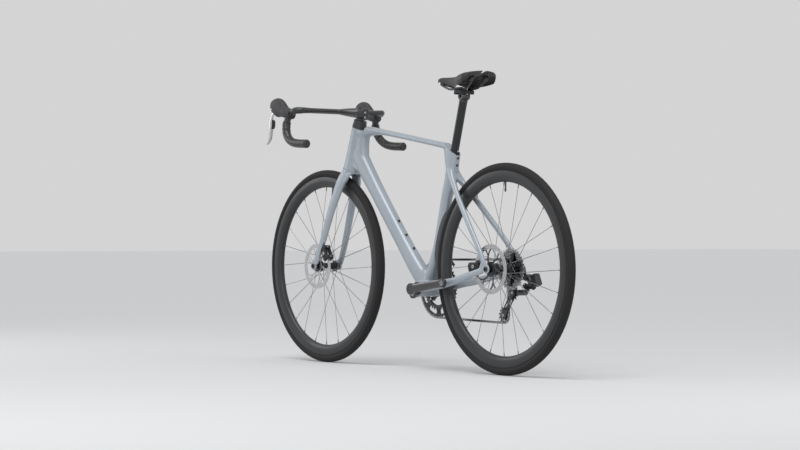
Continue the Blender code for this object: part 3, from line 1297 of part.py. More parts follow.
def build_chain():
    """Closed chain: plates wide and narrow by turns, with a roller and a window at each tooth."""
    bm = bmesh.new()
    rings = []
    for k in range(CHAIN_LINKS):
        half_width = CHAIN_HALF_WIDTH - (0.0 if k % 2 else 0.0004)
        if near_sprocket(on_course(k * LINK_PITCH)[0]):
            for offset in (-ROLLER_HALF, ROLLER_HALF):
                rings.append((chain_ring(bm, k * LINK_PITCH + offset, half_width, True), offset > 0))
        else:
            rings.append((chain_ring(bm, k * LINK_PITCH, half_width, False), False))
    for i, (low, after_roller) in enumerate(rings):
        high = rings[(i + 1) % len(rings)][0]
        window = after_roller and (1, 1, "in") in high
        chain_link(bm, low, high, window)
        if window:
            for ring in (low, high):
                bm.faces.new((ring[1, 1, "in"], ring[1, -1, "in"], ring[-1, -1, "in"], ring[-1, 1, "in"]))
    return add_part("chain", bm, "chain_steel", sharp_angle=20.0)


def sprocket_outline(centre, teeth, phase):
    """Toothed outline of (x, z) points; a tooth gap is centred on the phase angle."""
    radius = sprocket_radius(teeth)
    points = []
    for k in range(teeth):
        gap = phase + math.tau * k / teeth
        points.append(polar(centre, radius - TOOTH_BELOW_PITCH, gap))
        points.append(polar(centre, radius + TOOTH_ABOVE_PITCH, gap + math.pi / teeth))
    return points


def build_chainring(name, teeth, y, phase, crankset):
    """Toothed ring with a round hole that seats on the spider."""
    bm = bmesh.new()
    half = SPROCKET_THICKNESS / 2
    slab(bm, sprocket_outline(BOTTOM_BRACKET, teeth, phase), y - half, y + half)
    ring = add_part(name, bm, "black_alloy", crankset)
    hole = bmesh.new()
    turned_solid(hole, BOTTOM_BRACKET, [(RING_HOLE_RADIUS, y - 0.01), (RING_HOLE_RADIUS, y + 0.01)], 16)
    cutter = add_cutter(f"{name}_hole_cut", hole)
    seat_under(cutter, crankset)
    combine(ring, [cutter], "DIFFERENCE")


def build_cassette(pivot):
    """Twelve cogs on one carrier; the small ones behind the engaged cog are plain steps."""
    core = bmesh.new()
    bore = END_CAP_RADIUS + RUN_GAP
    left_end = -REAR_FLANGE_RIGHT - 0.0050
    right_end = SMALLEST_COG_Y - 0.0020
    turned_solid(core, REAR_AXLE, [(COG_CARRIER_RADIUS, right_end), (COG_CARRIER_RADIUS, left_end)], 10)
    cassette = add_part("cassette", core, "bright_steel", pivot)
    engaged_phase = roller_angle(CASSETTE_ROLLER)
    guides = []
    for i, teeth in enumerate(COG_TEETH):
        bm = bmesh.new()
        middle = cog_y(i)
        half = COG_HALF_THICKNESS
        if i < PLAIN_COGS:
            radius = sprocket_radius(teeth)
            turned_solid(bm, REAR_AXLE, [(radius, middle - half), (radius, middle + half)], 14)
        else:
            phase = engaged_phase if i == ENGAGED_COG else 0.1 * i
            slab(bm, sprocket_outline(REAR_AXLE, teeth, phase), middle - half, middle + half)
        guide = add_cutter(f"cog_{teeth}_guide", bm)
        seat_under(guide, pivot)
        guides.append(guide)
    combine(cassette, guides, "UNION")
    bm = bmesh.new()
    turned_solid(bm, REAR_AXLE, [(bore, right_end - 0.01), (bore, left_end + 0.01)], 10)
    hole = add_cutter("cassette_bore_cut", bm)
    seat_under(hole, pivot)
    combine(cassette, [hole], "DIFFERENCE")


def crank_place(side, reach):
    """Point on a crank's middle line; the left arm points back and up, the right one forward."""
    direction = Vector((-side * math.cos(CRANK_TILT), 0.0, side * math.sin(CRANK_TILT)))
    return BOTTOM_BRACKET + direction * reach


def crank_arm_shape(bm, side, y_out, y_in):
    """Tapered arm between the spindle boss and the pedal boss."""
    middle = (y_out + y_in) / 2
    half = abs(y_out - y_in) / 2
    places = []
    for share, rise in ((0.0, 0.0165), (0.30, 0.0145), (0.65, 0.0130), (1.0, 0.0130)):
        point = crank_place(side, CRANK_LENGTH * share)
        places.append((Vector((point.x, middle, point.z)), (half * 0.96, rise)))
    loft_stations(bm, places, 8, 3.2)


def build_cranks(crankset):
    """Right arm with its spindle and spider, left arm clamped on the spindle's end."""
    for name, side in (("crank_right", -1), ("crank_left", 1)):
        y_out = side * CRANK_FACE_Y
        y_in = side * (CRANK_FACE_Y - CRANK_THICKNESS)
        bm = bmesh.new()
        crank_arm_shape(bm, side, y_out, y_in)
        arm = add_part(name, bm, "black_alloy", crankset)
        guides = []
        boss = bmesh.new()
        turned_solid(boss, BOTTOM_BRACKET, [(0.0195, y_in), (0.0195, y_out)], 14)
        guides.append(add_cutter(f"{name}_boss_guide", boss))
        pedal = bmesh.new()
        turned_solid(pedal, crank_place(side, CRANK_LENGTH), [(0.0150, y_in), (0.0150, y_out)], 12)
        guides.append(add_cutter(f"{name}_pedal_guide", pedal))
        cuts = []
        hole = bmesh.new()
        turned_solid(hole, crank_place(side, CRANK_LENGTH), [(0.0072, y_in - 0.01), (0.0072, y_out + 0.01)]
                     if side > 0 else [(0.0072, y_out - 0.01), (0.0072, y_in + 0.01)], 8)
        cuts.append(add_cutter(f"{name}_pedal_hole_cut", hole))
        if side < 0:
            guides += spider_guides()
            spindle = bmesh.new()
            turned_solid(spindle, BOTTOM_BRACKET, [(SPINDLE_RADIUS, y_in - 0.002), (SPINDLE_RADIUS, CRANK_FACE_Y - 0.002)], 16)
            guides.append(add_cutter("spindle_guide", spindle))
        else:
            bore = bmesh.new()
            turned_solid(bore, BOTTOM_BRACKET, [(SPINDLE_RADIUS + FIT_GAP, y_in - 0.01), (SPINDLE_RADIUS + FIT_GAP, y_out + 0.01)], 16)
            cuts.append(add_cutter("crank_left_bore_cut", bore))
        for guide in guides + cuts:
            seat_under(guide, crankset)
        combine(arm, guides, "UNION")
        combine(arm, cuts, "DIFFERENCE")


SPIDER_ARMS = 4
SPIDER_OUTER_Y = -0.0640
SPIDER_INNER_Y = -0.0505


def spider_guides():
    """Four arms from the right boss, each with a foot that carries both rings."""
    made = []
    reach = RING_HOLE_RADIUS - FIT_GAP
    seat = reach * math.cos(math.pi / 24)
    hub = bmesh.new()
    turned_solid(hub, BOTTOM_BRACKET, [(0.0240, SPIDER_OUTER_Y), (0.0240, SPIDER_INNER_Y)], 14)
    made.append(add_cutter("spider_hub_guide", hub))
    for k in range(SPIDER_ARMS):
        angle = math.tau * (k + 0.5) / SPIDER_ARMS
        turn = Matrix.Rotation(-angle, 3, "Y")
        arm = bmesh.new()
        middle = BOTTOM_BRACKET + turn @ Vector((0.0350, 0.0, 0.0))
        middle.y = (SPIDER_OUTER_Y + SPIDER_INNER_Y) / 2 + 0.002
        block(arm, middle, (0.0360, 0.0080, 0.0130), turn)
        made.append(add_cutter(f"spider_arm_guide_{k}", arm))
        foot = bmesh.new()
        low = SPIDER_INNER_Y - 0.008
        high = SMALL_RING_Y + SPROCKET_THICKNESS / 2
        middle = BOTTOM_BRACKET + turn @ Vector((seat - 0.0050, 0.0, 0.0))
        middle.y = (low + high) / 2
        block(foot, middle, (0.0080, high - low, 0.0120), turn)
        made.append(add_cutter(f"spider_foot_guide_{k}", foot))
    return made


def build_cups():
    """Bottom bracket cups, each with a flange outside the shell."""
    for name, side in (("bottom_bracket_cup_left", 1), ("bottom_bracket_cup_right", -1)):
        face = BB_SHELL_HALF_WIDTH
        profile = [(BB_CUP_RADIUS, face - 0.011), (BB_CUP_RADIUS, face + FIT_GAP), (0.0232, face + FIT_GAP),
                   (0.0232, face + 0.0045), (SPINDLE_RADIUS + FIT_GAP, face + 0.0045),
                   (SPINDLE_RADIUS + FIT_GAP, face - 0.011)]
        bm = bmesh.new()
        turned_ring(bm, BOTTOM_BRACKET, [(radius, side * y) for radius, y in profile], 16)
        add_part(name, bm, "black_alloy")


# Rear derailleur
HANGER_BOLT = (REAR_AXLE.x - 0.0100, REAR_AXLE.z - 0.0280)
LINK_LENGTH = 0.0360
SHIFT_DIR = Vector((0.0, 0.0215, -0.0205)).normalized()
LINK_AXIS = Vector((1.0, 0.0, 0.0)).cross(SHIFT_DIR)
LINK_FRONT = Vector((GUIDE_PULLEY[0] - 0.0140, -0.0900, GUIDE_PULLEY[1] + 0.0200))
LINK_REAR = LINK_FRONT - Vector((LINK_LENGTH, 0.0, 0.0))
EYE_HALF = 0.0090
EYE_RADIUS = 0.0075
PIN_RADIUS = 0.0032
CAGE_PLATE = 0.0016
CAGE_HALF_GAP = 0.0040


def build_hanger():
    """Replaceable hanger on the right dropout, bored for the axle and carrying the derailleur."""
    outer = -CHAINSTAY_DROPOUT_Y - FIT_GAP
    bm = bmesh.new()
    outline = [polar(REAR_AXLE, 0.0125, math.radians(a)) for a in (-20, 20, 60, 100, 140, 170)]
    bolt = Vector((HANGER_BOLT[0], 0.0, HANGER_BOLT[1]))
    outline += [polar(bolt, 0.0095, math.radians(a)) for a in (170, 215, 260, 305, 350)]
    slab(bm, outline, outer - 0.0035, outer)
    hanger = add_part("derailleur_hanger", bm, "black_alloy")
    bore = bmesh.new()
    turned_solid(bore, REAR_AXLE, [(THRU_AXLE_RADIUS + FIT_GAP, -0.1), (THRU_AXLE_RADIUS + FIT_GAP, 0.0)], 16)
    combine(hanger, [add_cutter("hanger_bore_cut", bore)], "DIFFERENCE")


def joined(name, finish, shapes, cuts=(), parent=None):
    """One body from several shape functions, with cuts taken out of it."""
    bm = bmesh.new()
    shapes[0](bm)
    obj = add_part(name, bm, finish, parent)
    for kind, group in (("UNION", shapes[1:]), ("DIFFERENCE", cuts)):
        guides = []
        for k, shape in enumerate(group):
            bm = bmesh.new()
            shape(bm)
            guide = add_cutter(f"{name}_{kind.lower()}_{k}", bm)
            if parent:
                seat_under(guide, parent)
            guides.append(guide)
        combine(obj, guides, kind)
    return obj


def build_rear_derailleur(link_pivot, knuckle_pivot, cage_pivot):
    """Electronic derailleur: body and battery, one link, the knuckle and its cage."""
    bolt = Vector((HANGER_BOLT[0], 0.0, HANGER_BOLT[1]))
    start = -CHAINSTAY_DROPOUT_Y - 0.0035 - 2 * FIT_GAP
    ear = LINK_REAR + LINK_AXIS * (EYE_HALF + 0.0045)
    eye_face = LINK_REAR + LINK_AXIS * (EYE_HALF + FIT_GAP)
    body = joined("rear_derailleur_body", "black_alloy", [
        lambda bm: turned_solid(bm, bolt, [(0.0120, start - 0.0240), (0.0120, start)], 12),
        lambda bm: rod(bm, eye_face, ear + LINK_AXIS * 0.0040, 0.0085, 12),
        lambda bm: rod(bm, Vector((bolt.x, start - 0.0110, bolt.z)), ear, 0.0080, 10)],
        [lambda bm: slanted_box(bm, eye_face, -LINK_AXIS, 2 * (EYE_HALF + FIT_GAP), 0.0400)])
    pin = bmesh.new()
    rod(pin, LINK_REAR - LINK_AXIS * EYE_HALF, ear, PIN_RADIUS, 8)
    combine(body, [add_cutter("body_pin_guide", pin)], "UNION")
    def battery_shape(bm):
        block(bm, Vector((bolt.x - 0.0400, start - 0.0125, bolt.z - 0.0080)), (0.0240, 0.0240, 0.0400),
              Matrix.Rotation(math.radians(24), 3, "Y"))
        bevel_all(bm, 0.0035)

    joined("derailleur_battery", "dark_plastic", [battery_shape], [
        lambda bm: rod(bm, LINK_REAR - LINK_AXIS * 0.04, LINK_REAR + LINK_AXIS * 0.04, 0.0085 + FIT_GAP, 12),
        lambda bm: rod(bm, Vector((bolt.x, start - 0.0110, bolt.z)), ear, 0.0080 + FIT_GAP, 10)])
    joined("derailleur_link", "black_alloy", [
        lambda bm: ring_solid(bm, LINK_REAR - LINK_AXIS * EYE_HALF, LINK_REAR + LINK_AXIS * EYE_HALF,
                              PIN_RADIUS + FIT_GAP, EYE_RADIUS, 10),
        lambda bm: ring_solid(bm, LINK_FRONT - LINK_AXIS * EYE_HALF, LINK_FRONT + LINK_AXIS * EYE_HALF,
                              PIN_RADIUS + FIT_GAP, EYE_RADIUS, 10),
        lambda bm: tube_along(bm, [LINK_REAR + Vector((0.0060, 0.0, 0.0)), LINK_FRONT - Vector((0.0060, 0.0, 0.0))],
                              [(0.0060, 0.0070), (0.0060, 0.0070)], 6, 3.0, across=SHIFT_DIR)],
        parent=link_pivot)
    foot = LINK_FRONT - LINK_AXIS * (EYE_HALF + FIT_GAP)
    guide = Vector((GUIDE_PULLEY[0], 0.0, GUIDE_PULLEY[1]))
    outer_plate = cog_y(ENGAGED_COG) - CAGE_HALF_GAP - CAGE_PLATE
    knuckle = joined("derailleur_knuckle", "black_alloy", [
        lambda bm: turned_solid(bm, guide, [(0.0100, outer_plate - 0.0500), (0.0100, outer_plate - FIT_GAP)], 12),
        lambda bm: rod(bm, foot - LINK_AXIS * 0.0045, Vector((guide.x, foot.y - 0.0040, guide.z)), 0.0070, 10),
        lambda bm: rod(bm, foot - LINK_AXIS * 0.0060, foot, 0.0080, 12)],
        [lambda bm: slanted_box(bm, foot, LINK_AXIS, 0.0250, 0.0110)], knuckle_pivot)
    pin = bmesh.new()
    rod(pin, foot - LINK_AXIS * 0.0040, LINK_FRONT + LINK_AXIS * EYE_HALF, PIN_RADIUS, 8)
    pin_guide = add_cutter("knuckle_pin_guide", pin)
    seat_under(pin_guide, knuckle_pivot)
    combine(knuckle, [pin_guide], "UNION")
    build_cage(cage_pivot)
    for name, place in (("pulley_upper", GUIDE_PULLEY), ("pulley_lower", TENSION_PULLEY)):
        build_pulley(name, Vector((place[0], 0.0, place[1])), cage_pivot)


def build_cage(pivot):
    """Two plates joined by the pulley axles, with a stop pin across the lower end."""
    middle = cog_y(ENGAGED_COG)
    guide = Vector((GUIDE_PULLEY[0], 0.0, GUIDE_PULLEY[1]))
    tension = Vector((TENSION_PULLEY[0], 0.0, TENSION_PULLEY[1]))

    def plate(bm, low, high):
        outline = []
        for centre, start, radius in ((guide, 90, 0.0125), (tension, -90, 0.0150)):
            for step in range(-90, 91, 45):
                angle = CAGE_ANGLE + math.radians(start + 90 + step)
                outline.append(polar(centre, radius, angle))
        slab(bm, outline, low, high)

    shapes = [lambda bm: plate(bm, middle - CAGE_HALF_GAP - CAGE_PLATE, middle - CAGE_HALF_GAP),
              lambda bm: plate(bm, middle + CAGE_HALF_GAP, middle + CAGE_HALF_GAP + CAGE_PLATE)]
    reach = CAGE_HALF_GAP + CAGE_PLATE / 2
    for centre in (guide, tension):
        shapes.append(lambda bm, c=centre: turned_solid(bm, c, [(0.0030, middle - reach), (0.0030, middle + reach)], 10))
    joined("derailleur_cage", "black_alloy", shapes, parent=pivot)


def build_pulley(name, centre, pivot):
    """Narrow toothed wheel in step with the chain."""
    middle = cog_y(ENGAGED_COG)
    phase = roller_angle(5) if name == "pulley_upper" else roller_angle(3)
    bm = bmesh.new()
    slab(bm, sprocket_outline(centre, PULLEY_TEETH, phase), middle - 0.0010, middle + 0.0010)
    pulley = add_part(name, bm, "dark_plastic", pivot)
    hub = bmesh.new()
    turned_solid(hub, centre, [(0.0075, middle - 0.0032), (0.0075, middle + 0.0032)], 8)
    bore = bmesh.new()
    turned_solid(bore, centre, [(0.0033, middle - 0.01), (0.0033, middle + 0.01)], 10)
    guides = [add_cutter(f"{name}_hub_guide", hub), add_cutter(f"{name}_bore_cut", bore)]
    for guide in guides:
        seat_under(guide, pivot)
    combine(pulley, guides[:1], "UNION")
    combine(pulley, guides[1:], "DIFFERENCE")


# Front derailleur
CAGE_INNER_RADIUS = sprocket_radius(LARGE_RING_TEETH) + 0.0070
CAGE_OUTER_RADIUS = CAGE_INNER_RADIUS + 0.0120
FRONT_CAGE_RISE = 0.1148
FRONT_CAGE_REACH = 0.0045


def build_front_derailleur(cage_pivot):
    """Body beside the seat tube, and the cage that straddles the chain above the large ring."""
    middle = LARGE_RING_Y

    def plate(bm, low, high):
        inner = [polar(BOTTOM_BRACKET, CAGE_INNER_RADIUS, math.radians(a)) for a in range(92, 137, 11)]
        outer = [polar(BOTTOM_BRACKET, CAGE_OUTER_RADIUS, math.radians(a)) for a in range(92, 137, 11)]
        slab(bm, inner + outer[::-1], low, high)

    bridge_top = BB_Z + FRONT_CAGE_RISE + 0.0050
    joined("front_derailleur_cage", "black_alloy", [
        lambda bm: plate(bm, middle - FRONT_CAGE_REACH - 0.0012, middle - FRONT_CAGE_REACH),
        lambda bm: plate(bm, middle + FRONT_CAGE_REACH, middle + FRONT_CAGE_REACH + 0.0012),
        lambda bm: block(bm, Vector((BB_X - 0.0295, middle, BB_Z + FRONT_CAGE_RISE)), (0.0140, 2 * FRONT_CAGE_REACH + 0.0024, 0.0100)),
        lambda bm: block(bm, Vector((BB_X - 0.0725, middle, BB_Z + FRONT_CAGE_RISE - 0.0305)), (0.0060, 2 * FRONT_CAGE_REACH + 0.0024, 0.0060))],
        parent=cage_pivot)
    low = bridge_top + 0.0005
    joined("front_derailleur_body", "black_alloy", [
        lambda bm: block(bm, Vector((BB_X - 0.0395, -0.0350, low + 0.0130)), (0.0340, 0.0330, 0.0260))],
        [lambda bm: seat_tube_shape(bm, FIT_GAP)])


# Seatpost and saddle
SADDLE_ABOVE_FRAME = 0.2445
SADDLE_LENGTH = 0.2520
SADDLE_TOP_Z = SEAT_TUBE_CUT_Z + SADDLE_ABOVE_FRAME
RAIL_Z = SADDLE_TOP_Z - 0.0420
SEATPOST_TOP_Z = RAIL_Z - 0.0270
SEATPOST_FOOT_Z = SEAT_TUBE_CUT_Z - POST_INSERTION
SEAT_HEAD_RADIUS = 0.0125
SEAT_HEAD_HALF = 0.0160
RAIL_RADIUS = 0.0035
RAIL_SPACING = 0.0220
SADDLE_MIDDLE_X = seat_point(SADDLE_TOP_Z).x
SADDLE_NOSE_X = SADDLE_MIDDLE_X + 0.1620
SADDLE_TAIL_X = SADDLE_NOSE_X - SADDLE_LENGTH
SADDLE_HALF_WIDTH = 0.0715
SADDLE_NOSE_HALF = 0.0215
SHELL_THICKNESS = 0.0030
SADDLE_STATIONS = 11
SADDLE_SIDES = 9
SADDLE_NARROWEST = 0.0040
SADDLE_CROWN = 0.0060
SKIRT_DEPTH = 0.0120
UNDERSIDE_SCALE = 0.93
PAD_DEPTH = 0.0120
CHANNEL_HALF = 0.0100
CHANNEL_DEPTH = 0.0080


def build_seatpost(pivot):
    """Round post with a turned head that carries the saddle clamp."""
    top = seat_point(SEATPOST_TOP_Z)
    head = Vector((top.x, 0.0, SEATPOST_TOP_Z + 0.0030))
    joined("seatpost", "black_carbon", [
        lambda bm: rod(bm, seat_point(SEATPOST_FOOT_Z), top, SEATPOST_RADIUS, 16),
        lambda bm: turned_solid(bm, head, [(SEAT_HEAD_RADIUS, -SEAT_HEAD_HALF), (SEAT_HEAD_RADIUS, SEAT_HEAD_HALF)], 16)],
        parent=pivot)
    return head


def build_saddle_clamp(head, pivot):
    """Cradle over the post's head, with a groove for each rail and an upper half on top."""
    low = SEAT_HEAD_RADIUS + FIT_GAP

    def cradle(bm):
        block(bm, Vector((head.x, 0.0, RAIL_Z - 0.0070)), (0.0380, 2 * RAIL_SPACING + 0.0140, 0.0220))

    cuts = [lambda bm: turned_solid(bm, head, [(low + 0.0006, -0.04), (low + 0.0006, 0.04)], 16)]
    for side in (-1, 1):
        cuts.append(lambda bm, s=side: rod(bm, Vector((head.x - 0.03, s * RAIL_SPACING, RAIL_Z)),
                                           Vector((head.x + 0.03, s * RAIL_SPACING, RAIL_Z)),
                                           RAIL_RADIUS + FIT_GAP, 10))
    joined("saddle_clamp", "black_alloy", [cradle], cuts, pivot)


def saddle_half_width(share):
    """Half width along the saddle; share runs from the nose, 0, to the tail, 1."""
    flare = 1.0 / (1.0 + math.exp(-13.0 * (share - 0.60)))
    nose = math.sqrt(min(1.0, share / 0.10)) if share < 0.10 else 1.0
    tail = math.sqrt(max(0.0, 1.0 - ((share - 0.86) / 0.165) ** 2)) if share > 0.86 else 1.0
    return (SADDLE_NOSE_HALF + (SADDLE_HALF_WIDTH - SADDLE_NOSE_HALF) * flare) * nose * tail


def saddle_ridge(share):
    """Height of the saddle's top line: low nose, level middle and raised tail."""
    dip = -0.0085 * max(0.0, 1.0 - share / 0.16) ** 2
    lift = 0.0095 * max(0.0, (share - 0.62) / 0.38) ** 1.5
    return SADDLE_TOP_Z + 0.0030 + dip + lift - 0.0030 * math.sin(math.pi * min(1.0, share / 0.8))


def saddle_ring(share, drop, scale):
    """Half-moon section across the saddle: crowned top, curled sides and a long channel."""
    x = SADDLE_NOSE_X + (SADDLE_TAIL_X - SADDLE_NOSE_X) * share
    half = max(saddle_half_width(share), SADDLE_NARROWEST)
    ridge = saddle_ridge(share) - drop
    depth = SKIRT_DEPTH * (0.35 + 0.65 * math.sin(math.pi * min(1.0, 0.15 + share * 0.80)))
    ring = []
    for i in range(SADDLE_SIDES):
        u = -1.0 + 2.0 * i / (SADDLE_SIDES - 1)
        y = half * math.sin(u * math.pi / 2)
        fall = SADDLE_CROWN * (1.0 - math.cos(u * math.pi / 2)) + depth * max(0.0, abs(u) - 0.62) ** 2 / 0.1444
        groove = CHANNEL_DEPTH * math.exp(-(y / CHANNEL_HALF) ** 2) if 0.12 < share < 0.93 else 0.0
        ring.append(Vector((x, y * scale, ridge - fall - groove)))
    return ring


def saddle_layer(bm, top_drop, low_drop, top_scale, trim):
    """Closed saddle-shaped layer; trim leaves out stations and edges of the full section."""
    rings = []
    for k in range(trim, SADDLE_STATIONS + 1 - trim):
        share = 0.5 - 0.5 * math.cos(math.pi * k / SADDLE_STATIONS)
        share = min(max(share, 0.012), 0.988)
        top = saddle_ring(share, top_drop, top_scale)
        low = saddle_ring(share, low_drop, UNDERSIDE_SCALE)
        rings.append(top[trim:SADDLE_SIDES - trim] + low[trim:SADDLE_SIDES - trim][::-1])
    skin(bm, rings)
    quads = [face for face in bm.faces if len(face.verts) == 4]
    bmesh.ops.triangulate(bm, faces=quads, quad_method="SHORT_EDGE")


def rail_path():
    """Nose loop, two level runs through the clamp and two raised tail ends."""
    right = [Vector((SADDLE_MIDDLE_X + 0.1250, 0.0, RAIL_Z + 0.0175)), Vector((SADDLE_MIDDLE_X + 0.1220, -0.0100, RAIL_Z + 0.0170)), Vector((SADDLE_MIDDLE_X + 0.1100, -0.0150, RAIL_Z + 0.0130)),
             Vector((SADDLE_MIDDLE_X + 0.0850, -0.0190, RAIL_Z + 0.0050)), Vector((SADDLE_MIDDLE_X + 0.0600, -RAIL_SPACING, RAIL_Z)),
             Vector((SADDLE_MIDDLE_X - 0.0150, -RAIL_SPACING, RAIL_Z)), Vector((SADDLE_MIDDLE_X - 0.0400, -0.0240, RAIL_Z + 0.0110)),
             Vector((SADDLE_MIDDLE_X - 0.0620, -0.0290, RAIL_Z + 0.0340))]
    return right[::-1] + [Vector((p.x, -p.y, p.z)) for p in right[1:]]


def rail_shape(bm, radius):
    path = rail_path()
    tube_along(bm, path, [(radius, radius)] * len(path), 8, across=Vector((0.0, 0.0, 1.0)))


def build_saddle(pivot):
    """Padded cover with its long channel, the shell under it and the bent rails."""
    bm = bmesh.new()
    saddle_layer(bm, 0.0, PAD_DEPTH, 1.0, 0)
    add_part("saddle_cover", bm, "saddle_cover", pivot, sharp_angle=60.0)
    low = PAD_DEPTH + FIT_GAP
    joined("saddle_shell", "dark_plastic",
           [lambda bm: saddle_layer(bm, low, low + SHELL_THICKNESS, UNDERSIDE_SCALE, 1)],
           [lambda bm: rail_shape(bm, RAIL_RADIUS + FIT_GAP)], pivot)
    bm = bmesh.new()
    rail_shape(bm, RAIL_RADIUS)
    add_part("saddle_rails", bm, "black_carbon", pivot)


def build_wedge():
    """Clamp wedge behind the post, with its bolt head facing up."""
    centre = seat_point(SEAT_TUBE_CUT_Z - 0.010) - SEAT_NORMAL * (SEATPOST_RADIUS + FIT_GAP + 0.0030)
    bm = bmesh.new()
    turn = Matrix.Rotation(SEAT_ANGLE - math.pi / 2, 3, "Y").inverted()
    block(bm, centre, (0.0055, WEDGE_WIDTH, 0.0260), turn)
    wedge = add_part("seat_clamp_wedge", bm, "black_alloy")
    cut = bmesh.new()
    rod(cut, seat_point(SEAT_TUBE_CUT_Z - POST_BORE_DEPTH), seat_point(SEAT_TUBE_CUT_Z + 0.0750), SEATPOST_RADIUS + FIT_GAP, 16)
    combine(wedge, [add_cutter("wedge_post_cut", cut)], "DIFFERENCE")


def build_model():
    clear_scene()
    build_frame()
    build_wedge()
    build_cups()
    build_hanger()
    build_thru_axle("rear_thru_axle", REAR_AXLE, CHAINSTAY_DROPOUT_Y + 0.0035, CHAINSTAY_DROPOUT_Y + FIT_GAP)
    steering = add_pivot("steering_pivot", steer_point(HEAD_TUBE_LOW_Z), STEER_DIR)
    build_fork(steering)
    build_headset(steering)
    axle_head = FRONT_DROPOUT_WIDTH / 2 + DROPOUT_THICKNESS + FIT_GAP
    front_axle = build_thru_axle("front_thru_axle", FRONT_AXLE, axle_head, axle_head)
    seat_under(front_axle, steering)
    seat_front_caliper(build_caliper("front_caliper", *front_caliper_place(), steering), steering)
    open_rear_caliper(build_caliper("rear_caliper", *rear_caliper_place(), None))
    build_handlebar(steering)
    for label, side in (("left", 1), ("right", -1)):
        build_tape(f"bar_tape_{label}", side, steering)
        build_bar_plug(f"bar_plug_{label}", side, steering)
        build_hood(f"brake_hood_{label}", side, steering)
        hinge = Vector((LEVER_PIVOT[0], side * HOOD_Y, LEVER_PIVOT[1]))
        lever_pivot = add_pivot(f"lever_pivot_{label}", hinge, Y_AXIS, steering)
        build_lever(f"brake_lever_{label}", side, lever_pivot)
        paddle_hinge = Vector((PADDLE_HINGE[0], side * (HOOD_Y + PADDLE_HINGE[1]), PADDLE_TOP_Z - 0.0160))
        build_paddle(f"shift_paddle_{label}", side, add_pivot(f"paddle_pivot_{label}", paddle_hinge, None, lever_pivot))
    for label, side in (("inner", -1), ("outer", 1)):
        for wheel, place, parent in (("front", front_caliper_place(), steering), ("rear", rear_caliper_place(), None)):
            pad_pivot = add_pivot(f"{wheel}_pad_pivot_{label}", place[0], Y_AXIS, parent)
            build_pad(f"{wheel}_pad_{label}", *place, side, pad_pivot)
    build_front_wheel(add_pivot("front_wheel_pivot", FRONT_AXLE, Y_AXIS, steering))
    build_rear_wheel(add_pivot("rear_wheel_pivot", REAR_AXLE, Y_AXIS))
    build_cassette(add_pivot("cassette_pivot", REAR_AXLE, Y_AXIS))
    crankset = add_pivot("crank_pivot", BOTTOM_BRACKET, Y_AXIS)
    build_chainring("chainring_large", LARGE_RING_TEETH, LARGE_RING_Y, roller_angle(1), crankset)
    build_chainring("chainring_small", SMALL_RING_TEETH, SMALL_RING_Y, 0.0, crankset)
    build_cranks(crankset)
    build_chain()
    link = add_pivot("link_pivot", LINK_REAR, LINK_AXIS)
    knuckle = add_pivot("knuckle_pivot", LINK_FRONT, LINK_AXIS, link)
    guide = Vector((GUIDE_PULLEY[0], cog_y(ENGAGED_COG), GUIDE_PULLEY[1]))
    build_rear_derailleur(link, knuckle, add_pivot("cage_pivot", guide, Y_AXIS, knuckle))
    build_front_derailleur(add_pivot("front_cage_pivot", Vector((BB_X, LARGE_RING_Y, BB_Z + FRONT_CAGE_RISE)), Y_AXIS))
    post = add_pivot("seatpost_pivot", seat_point(SEAT_TUBE_CUT_Z - 0.0255), SEAT_DIR)
    head = build_seatpost(post)
    tilt = add_pivot("saddle_tilt_pivot", head, Y_AXIS, post)
    build_saddle_clamp(head, tilt)
    build_saddle(add_pivot("saddle_slide_pivot", Vector((head.x, 0.0, RAIL_Z)), Vector((1.0, 0.0, 0.0)), tilt))


build_model()
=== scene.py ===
"""Road bike dressed for the render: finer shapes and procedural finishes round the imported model."""

import math

import bmesh
import bpy
from mathutils import Matrix, Vector


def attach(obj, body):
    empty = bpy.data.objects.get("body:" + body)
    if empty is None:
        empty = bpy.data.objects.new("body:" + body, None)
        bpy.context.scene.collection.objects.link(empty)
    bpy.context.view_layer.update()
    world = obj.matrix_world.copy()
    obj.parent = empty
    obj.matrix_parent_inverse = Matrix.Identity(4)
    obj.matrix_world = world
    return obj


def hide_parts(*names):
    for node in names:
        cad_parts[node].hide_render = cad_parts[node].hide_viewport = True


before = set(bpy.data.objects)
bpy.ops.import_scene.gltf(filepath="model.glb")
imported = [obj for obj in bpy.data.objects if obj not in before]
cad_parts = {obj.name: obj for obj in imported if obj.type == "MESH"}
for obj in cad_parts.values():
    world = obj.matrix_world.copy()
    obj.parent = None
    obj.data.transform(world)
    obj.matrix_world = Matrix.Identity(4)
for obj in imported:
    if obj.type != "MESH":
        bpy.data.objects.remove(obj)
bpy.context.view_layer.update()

# Places shared with the model, in metres
TYRE_RADIUS = 0.3407
RIM_RADIUS = 0.3150
FRONT_AXLE = Vector((0.4975, 0.0, TYRE_RADIUS))
REAR_AXLE = Vector((-0.4975, 0.0, TYRE_RADIUS))
BB_DROP = 0.070
CHAINSTAY = 0.410
BB = Vector((-0.4975 + math.sqrt(CHAINSTAY ** 2 - BB_DROP ** 2), 0.0, TYRE_RADIUS - BB_DROP))
HEAD_ANGLE = math.radians(73.0)
SEAT_ANGLE = math.radians(74.0)
STEER_DIR = Vector((-math.cos(HEAD_ANGLE), 0.0, math.sin(HEAD_ANGLE)))
STEER_NORMAL = Vector((math.sin(HEAD_ANGLE), 0.0, math.cos(HEAD_ANGLE)))
SEAT_DIR = Vector((-math.cos(SEAT_ANGLE), 0.0, math.sin(SEAT_ANGLE)))
SEAT_NORMAL = Vector((math.sin(SEAT_ANGLE), 0.0, math.cos(SEAT_ANGLE)))
FORK_OFFSET = 0.045
STEER_POINT = FRONT_AXLE - STEER_NORMAL * FORK_OFFSET
